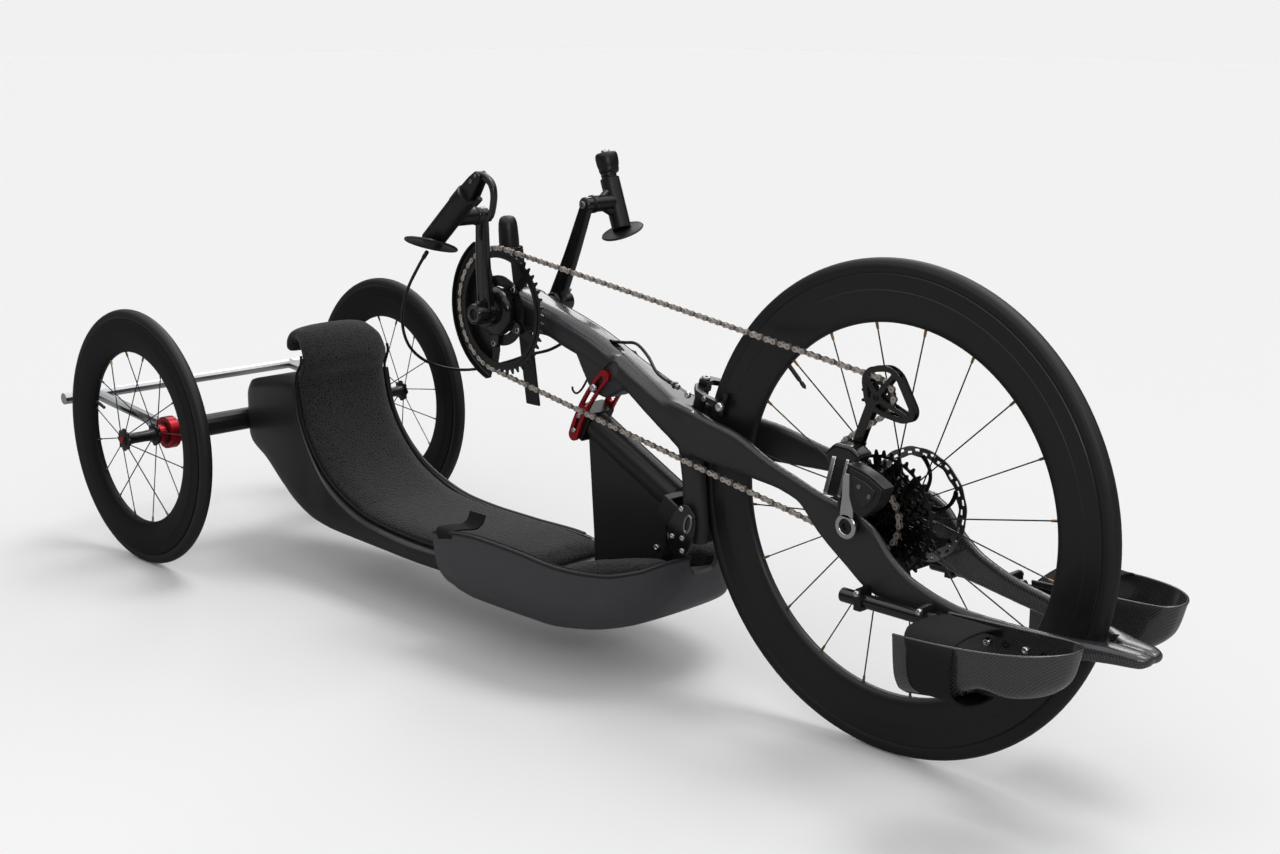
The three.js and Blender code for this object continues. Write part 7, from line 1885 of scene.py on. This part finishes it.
class HANDCYCLE_OT_derailleur(bpy.types.Operator):
    """Derailleur: hanger lever, body cover, parallelogram link, knuckle and the windowed cage"""

    bl_idname = "handcycle.derailleur"
    bl_label = "Derailleur"

    def execute(self, context):
        frame_body = body_with("derailleur_body")
        dress(revolve("hanger_ring", [(10, 98.3), (16, 98.3), (16.4, 99), (16.4, 101), (15.6, 101.8),
              (10.6, 101.8), (10, 101)], spot(HUB), RIGHTWARD, 56), frame_body, "silver")
        dress(finish_edges(side_plate("hanger_arm", soft_outline([(-10, 347.5), (-7, 372), (-6, 404),
              (9, 405), (10, 372), (12, 346)], 4), -101.8, -98.3), 0.8, 3), frame_body, "silver")
        dress(solid_turn("hanger_socket", [(0, 97), (9.6, 97), (9.6, 100.6), (8.6, 101.4), (5.2, 101.4),
              (4.8, 98.6), (0, 98.6)], spot(HUB), RIGHTWARD, 36), frame_body, "black alloy")
        dress(finish_edges(side_plate("derailleur_cover", soft_outline([(12, 418), (42, 410), (66, 398),
              (60, 380), (48, 366), (34, 355), (20, 361), (13, 380)], 5), -113, -88), 4, 4), frame_body,
              "plastic")
        dress(finish_edges(side_plate("derailleur_panel", soft_outline([(18, 409), (40, 403), (56, 394),
              (51, 383), (38, 370), (24, 378)], 3), -114.6, -112), 1, 3), frame_body, "gloss alloy")
        dress(finish_edges(side_plate("derailleur_ridge", strip([(8, 420), (30, 415.5), (50, 408),
              (68, 398)], [3, 4, 4, 3]), -112, -92), 1, 3), frame_body, "dark steel", slot="polished_alloy")
        dress(bolts("derailleur_screws", [(30, -114.4, 396), (46, -114.4, 386)], RIGHTWARD, 3, 1.6, 18),
              frame_body, "steel")
        self.link()
        self.knuckle()
        self.cage()
        return {"FINISHED"}

    def link(self):
        """Two polished side straps with dark gaps between them, from the body's pin to the knuckle's."""
        body = body_with("derailleur_link")
        foot, top = np.array([-92.0, 373.0]), np.array([-78.0, 413.0])
        along = (top - foot) / np.linalg.norm(top - foot)
        out = np.array([-along[1], along[0]])
        layers = ((-40, -33, 6.4, "silver"), (-33, -17, 4.6, "black alloy"), (-17, -12, 6.0, "silver"),
                  (-12, 1, 4.6, "black alloy"), (1, 6, 6.4, "silver"))
        for i, (low, high, half, finish) in enumerate(layers):
            corners = [foot - along * 5 - out * half, foot - along * 5 + out * half,
                       top + along * 4 + out * half, top + along * 4 - out * half]
            outline = np.asarray(soft_outline(corners, 3.5))
            points, faces = prism(outline, high - low)
            points = np.column_stack([low + points[:, 2], points[:, 0], points[:, 1]])
            strap = mesh_object(f"derailleur_link_{i}", points, faces, 30)
            nodes = ("derailleur_link",) if i == 0 else ()
            dress(finish_edges(strap, 0.8, 3), body, finish, *nodes)
        dress(rods("derailleur_pins", [(-43, *foot), (-43, *top)], [(9, *foot), (9, *top)], 2.6, 24), body,
              "steel")

    def knuckle(self):
        body = body_with("derailleur_knuckle")
        dress(finish_edges(side_plate("derailleur_knuckle_block", soft_outline([(-55, 419), (-46, 402),
              (-26, 403), (-2, 412), (4, 424), (-10, 434), (-38, 435)], 6), -82, -54), 5, 4), body,
              "gloss alloy", "derailleur_knuckle")
        dress(solid_turn("knuckle_cap", [(0, -6), (13, -6), (14, -5), (14, 0), (12.6, 1.4), (7, 2), (6, 0.4),
              (0, 0.4)], spot(GUIDE_PULLEY, -55), RIGHTWARD, 44), body, "black alloy")

    def cage(self):
        """Two plates round the pulleys: a long arm, three spokes and a closed frame each."""
        body = body_with("derailleur_cage")
        frame_line = soft_outline([(-19, 519), (-10, 531), (20, 536), (34, 529), (60, 486), (57, 476),
                                   (44, 472), (10, 477), (-12, 486)], 7, 4)
        loop = np.asarray(frame_line + frame_line[:2])
        x, z = TENSION_PULLEY
        spokes = [[(x, z), (x - 17, z + 27)], [(x, z), (x + 28, z + 35)], [(x, z), (x + 49, z - 18)]]
        arm = curve([(GUIDE_PULLEY[0] - 3, GUIDE_PULLEY[1] - 6), (-28, 428), (-17, 458), (x - 5, z - 4)], 6)
        widths = smooth_values(np.linspace(0, 1, len(arm)), [0, 0.5, 1], [20, 13, 15])
        for i, low in enumerate((-50.6, -40.4)):
            parts = [side_plate("frame", strip(loop, np.full(len(loop), 7.5)), low, low + 2.2)]
            parts += [side_plate("spoke", strip(s, (8, 5.5)), low, low + 2.2) for s in spokes]
            parts.append(side_plate("arm", strip(arm, widths), low, low + 2.2))
            parts += [solid_turn("hub", [(0, 0), (9, 0), (9, 2.2), (0, 2.2)], (x, low, z), (0, 1, 0), 32),
                      solid_turn("hub", [(0, 0), (11, 0), (11, 2.2), (0, 2.2)], spot(GUIDE_PULLEY, low),
                                 (0, 1, 0), 32)]
            dress(fused(f"derailleur_cage_{i}", parts, 0.7, 2), body, "gloss alloy",
                  *(("derailleur_cage",) if i == 0 else ()))
        dress(bolts("pulley_bolts", [(x, -50.4, z), spot(GUIDE_PULLEY, -50.4)], RIGHTWARD, 4.2, 2, 20), body,
              "dark steel")


class HANDCYCLE_OT_fittings(bpy.types.Operator):
    """Slotted height plates, hinge plates, head tube, cable hook and the spider's cover"""

    bl_idname = "handcycle.fittings"
    bl_label = "Fittings"

    def execute(self, context):
        for name, side in SIDES:
            self.height_plate(name, side)
            self.hinge_plate(name, side)
        for i, (_, side) in enumerate(SIDES):
            dress(bolts(f"height_bolt_head_{i}", spot(on_plate(LUG_ANGLE), side * 31), (0, side, 0), 6.4,
                  4.6, 24), body_with("height_bolt"), "silver", *([] if i else ["height_bolt"]),
                  slot="black_alloy")
        slope = math.radians(26)
        start = (TILT_PIVOT[0] - math.cos(slope) * 54, 0, TILT_PIVOT[1] + math.sin(slope) * 54)
        dress(solid_turn("head_tube", [(0, 0.2), (21, 0.2), (22.9, 2), (22.9, 190), (21, 191.8), (0, 191.8)],
              start, (-math.cos(slope), 0, math.sin(slope)), 72, 40), "rear_frame", "satin")
        dress(sweep("cable_hook", curve([(-566, -19, 430), (-574, -20, 417), (-583, -20, 408),
              (-591, -20, 405), (-597, -20, 409), (-598, -20, 414)], 6), circle(1.7, 10), up=(0, 1, 0)),
              "front_frame", "black alloy")
        dress(bolts("bracket_bolt", [(-421, -13, 196)], RIGHTWARD, 5.4, 3.6, 20), "rear_frame", "silver")
        dress(bolts("crank_clamp_screws", [(CRANK[0] + 14, 82, CRANK[1] + 24),
              (CRANK[0] + 3, 82, CRANK[1] + 27)], (0.5, 0, 0.86), 4.2, 5, 20), "crank", "silver")
        dress(solid_turn("spider_cover", [(0, 48), (37, 48), (38.5, 50), (38.5, 57), (36, 61), (30, 63.6),
              (22, 64.4), (0, 64.4)], spot(CRANK), RIGHTWARD, 64, 40), "crank", "gloss alloy",
              slot="black_plastic")
        return {"FINISHED"}

    def height_plate(self, name, side):
        """A curved plate: the long slot has teeth along its inner edge, the short one two screws."""
        low, high = sorted((side * 24.5, side * 30))
        plate = side_plate(f"height_plate_{name}_skin", arc_band(20.6, 47.4, 9.6), low, high)
        cutters = [side_plate("slot", arc_band(33.4, 45.6, 4.4), low - 4, high + 4),
                   side_plate("slot", arc_band(22.4, 29.4, 3.0), low - 4, high + 4)]
        teeth = [on_plate(34 + i, PLATE_RADIUS - 4.6) for i in range(12)]
        cutters.append(rods("teeth", [(x, low - 3, z) for x, z in teeth],
                            [(x, high + 3, z) for x, z in teeth], 1.5, 10))
        carve(plate, cutters)
        body = body_with(f"height_plate_{name}")
        dress(plate, body, "red", f"height_plate_{name}")
        places = [(x, side * 29.8, z) for x, z in (on_plate(28.2), on_plate(22.4))]
        dress(bolts(f"height_screws_{name}", places, (0, side, 0), 4.2, 3, 18), body, "silver")

    def hinge_plate(self, name, side):
        body = body_with("steering_shaft")
        dress(finish_edges(side_plate(f"hinge_plate_{name}", soft_outline([(-350, 281), (-330, 287),
              (-313, 270), (-315, 245), (-328, 213), (-345, 205), (-364, 213), (-368, 248)], 7), side * 42.2,
              side * 46.4), 1.4, 3), body, "gloss alloy")
        places = [(x, side * 46.2, z) for x, z in ((-340, 278), (-358, 234), (-338, 235), (-338, 216))]
        dress(bolts(f"hinge_bolts_{name}", places, (0, side, 0), 4.4, 3, 20), body, "silver")
        eye = np.array([(-327 + 6.5 * math.cos(a) + 3 * math.sin(a), side * 47.2, 258 + 13 * math.sin(a))
                        for a in np.linspace(0, 2 * math.pi, 40, endpoint=False)])
        dress(sweep(f"hinge_eye_{name}", eye, circle(2.3, 12), closed=True, up=(0, 1, 0)), body, "steel",
              slot="polished_alloy")


PIECES = [HANDCYCLE_OT_stage, HANDCYCLE_OT_carried_nodes, HANDCYCLE_OT_wheels, HANDCYCLE_OT_drive,
          HANDCYCLE_OT_front_frame, HANDCYCLE_OT_rear_shells, HANDCYCLE_OT_soft_pieces,
          HANDCYCLE_OT_foot_cups, HANDCYCLE_OT_cranks, HANDCYCLE_OT_grips, HANDCYCLE_OT_brake_cable,
          HANDCYCLE_OT_derailleur, HANDCYCLE_OT_fittings]


class HANDCYCLE_PT_panel(bpy.types.Panel):
    """The sizes, the finishes and one button for each group of pieces"""

    bl_label = "Handcycle"
    bl_idname = "HANDCYCLE_PT_panel"
    bl_space_type = "VIEW_3D"
    bl_region_type = "UI"
    bl_category = "Handcycle"

    def draw(self, context):
        for group in (context.scene.handcycle_sizes, context.scene.handcycle_finishes):
            for key in group.bl_rna.properties.keys():
                if key not in ("rna_type", "name"):
                    self.layout.prop(group, key)
        for piece in PIECES:
            self.layout.operator(piece.bl_idname)


CLASSES = [HandcycleFinishes, HandcycleSizes, *PIECES, HANDCYCLE_PT_panel]


def register():
    for item in CLASSES:
        bpy.utils.register_class(item)
    bpy.types.Scene.handcycle_sizes = bpy.props.PointerProperty(type=HandcycleSizes)
    bpy.types.Scene.handcycle_finishes = bpy.props.PointerProperty(type=HandcycleFinishes)


def unregister():
    del bpy.types.Scene.handcycle_sizes
    del bpy.types.Scene.handcycle_finishes
    for item in reversed(CLASSES):
        bpy.utils.unregister_class(item)


def main():
    register()
    make_materials(bpy.context.scene.handcycle_finishes)
    for piece in PIECES:
        group, name = piece.bl_idname.split(".")
        getattr(getattr(bpy.ops, group), name)()


if __name__ == "__main__":
    main()
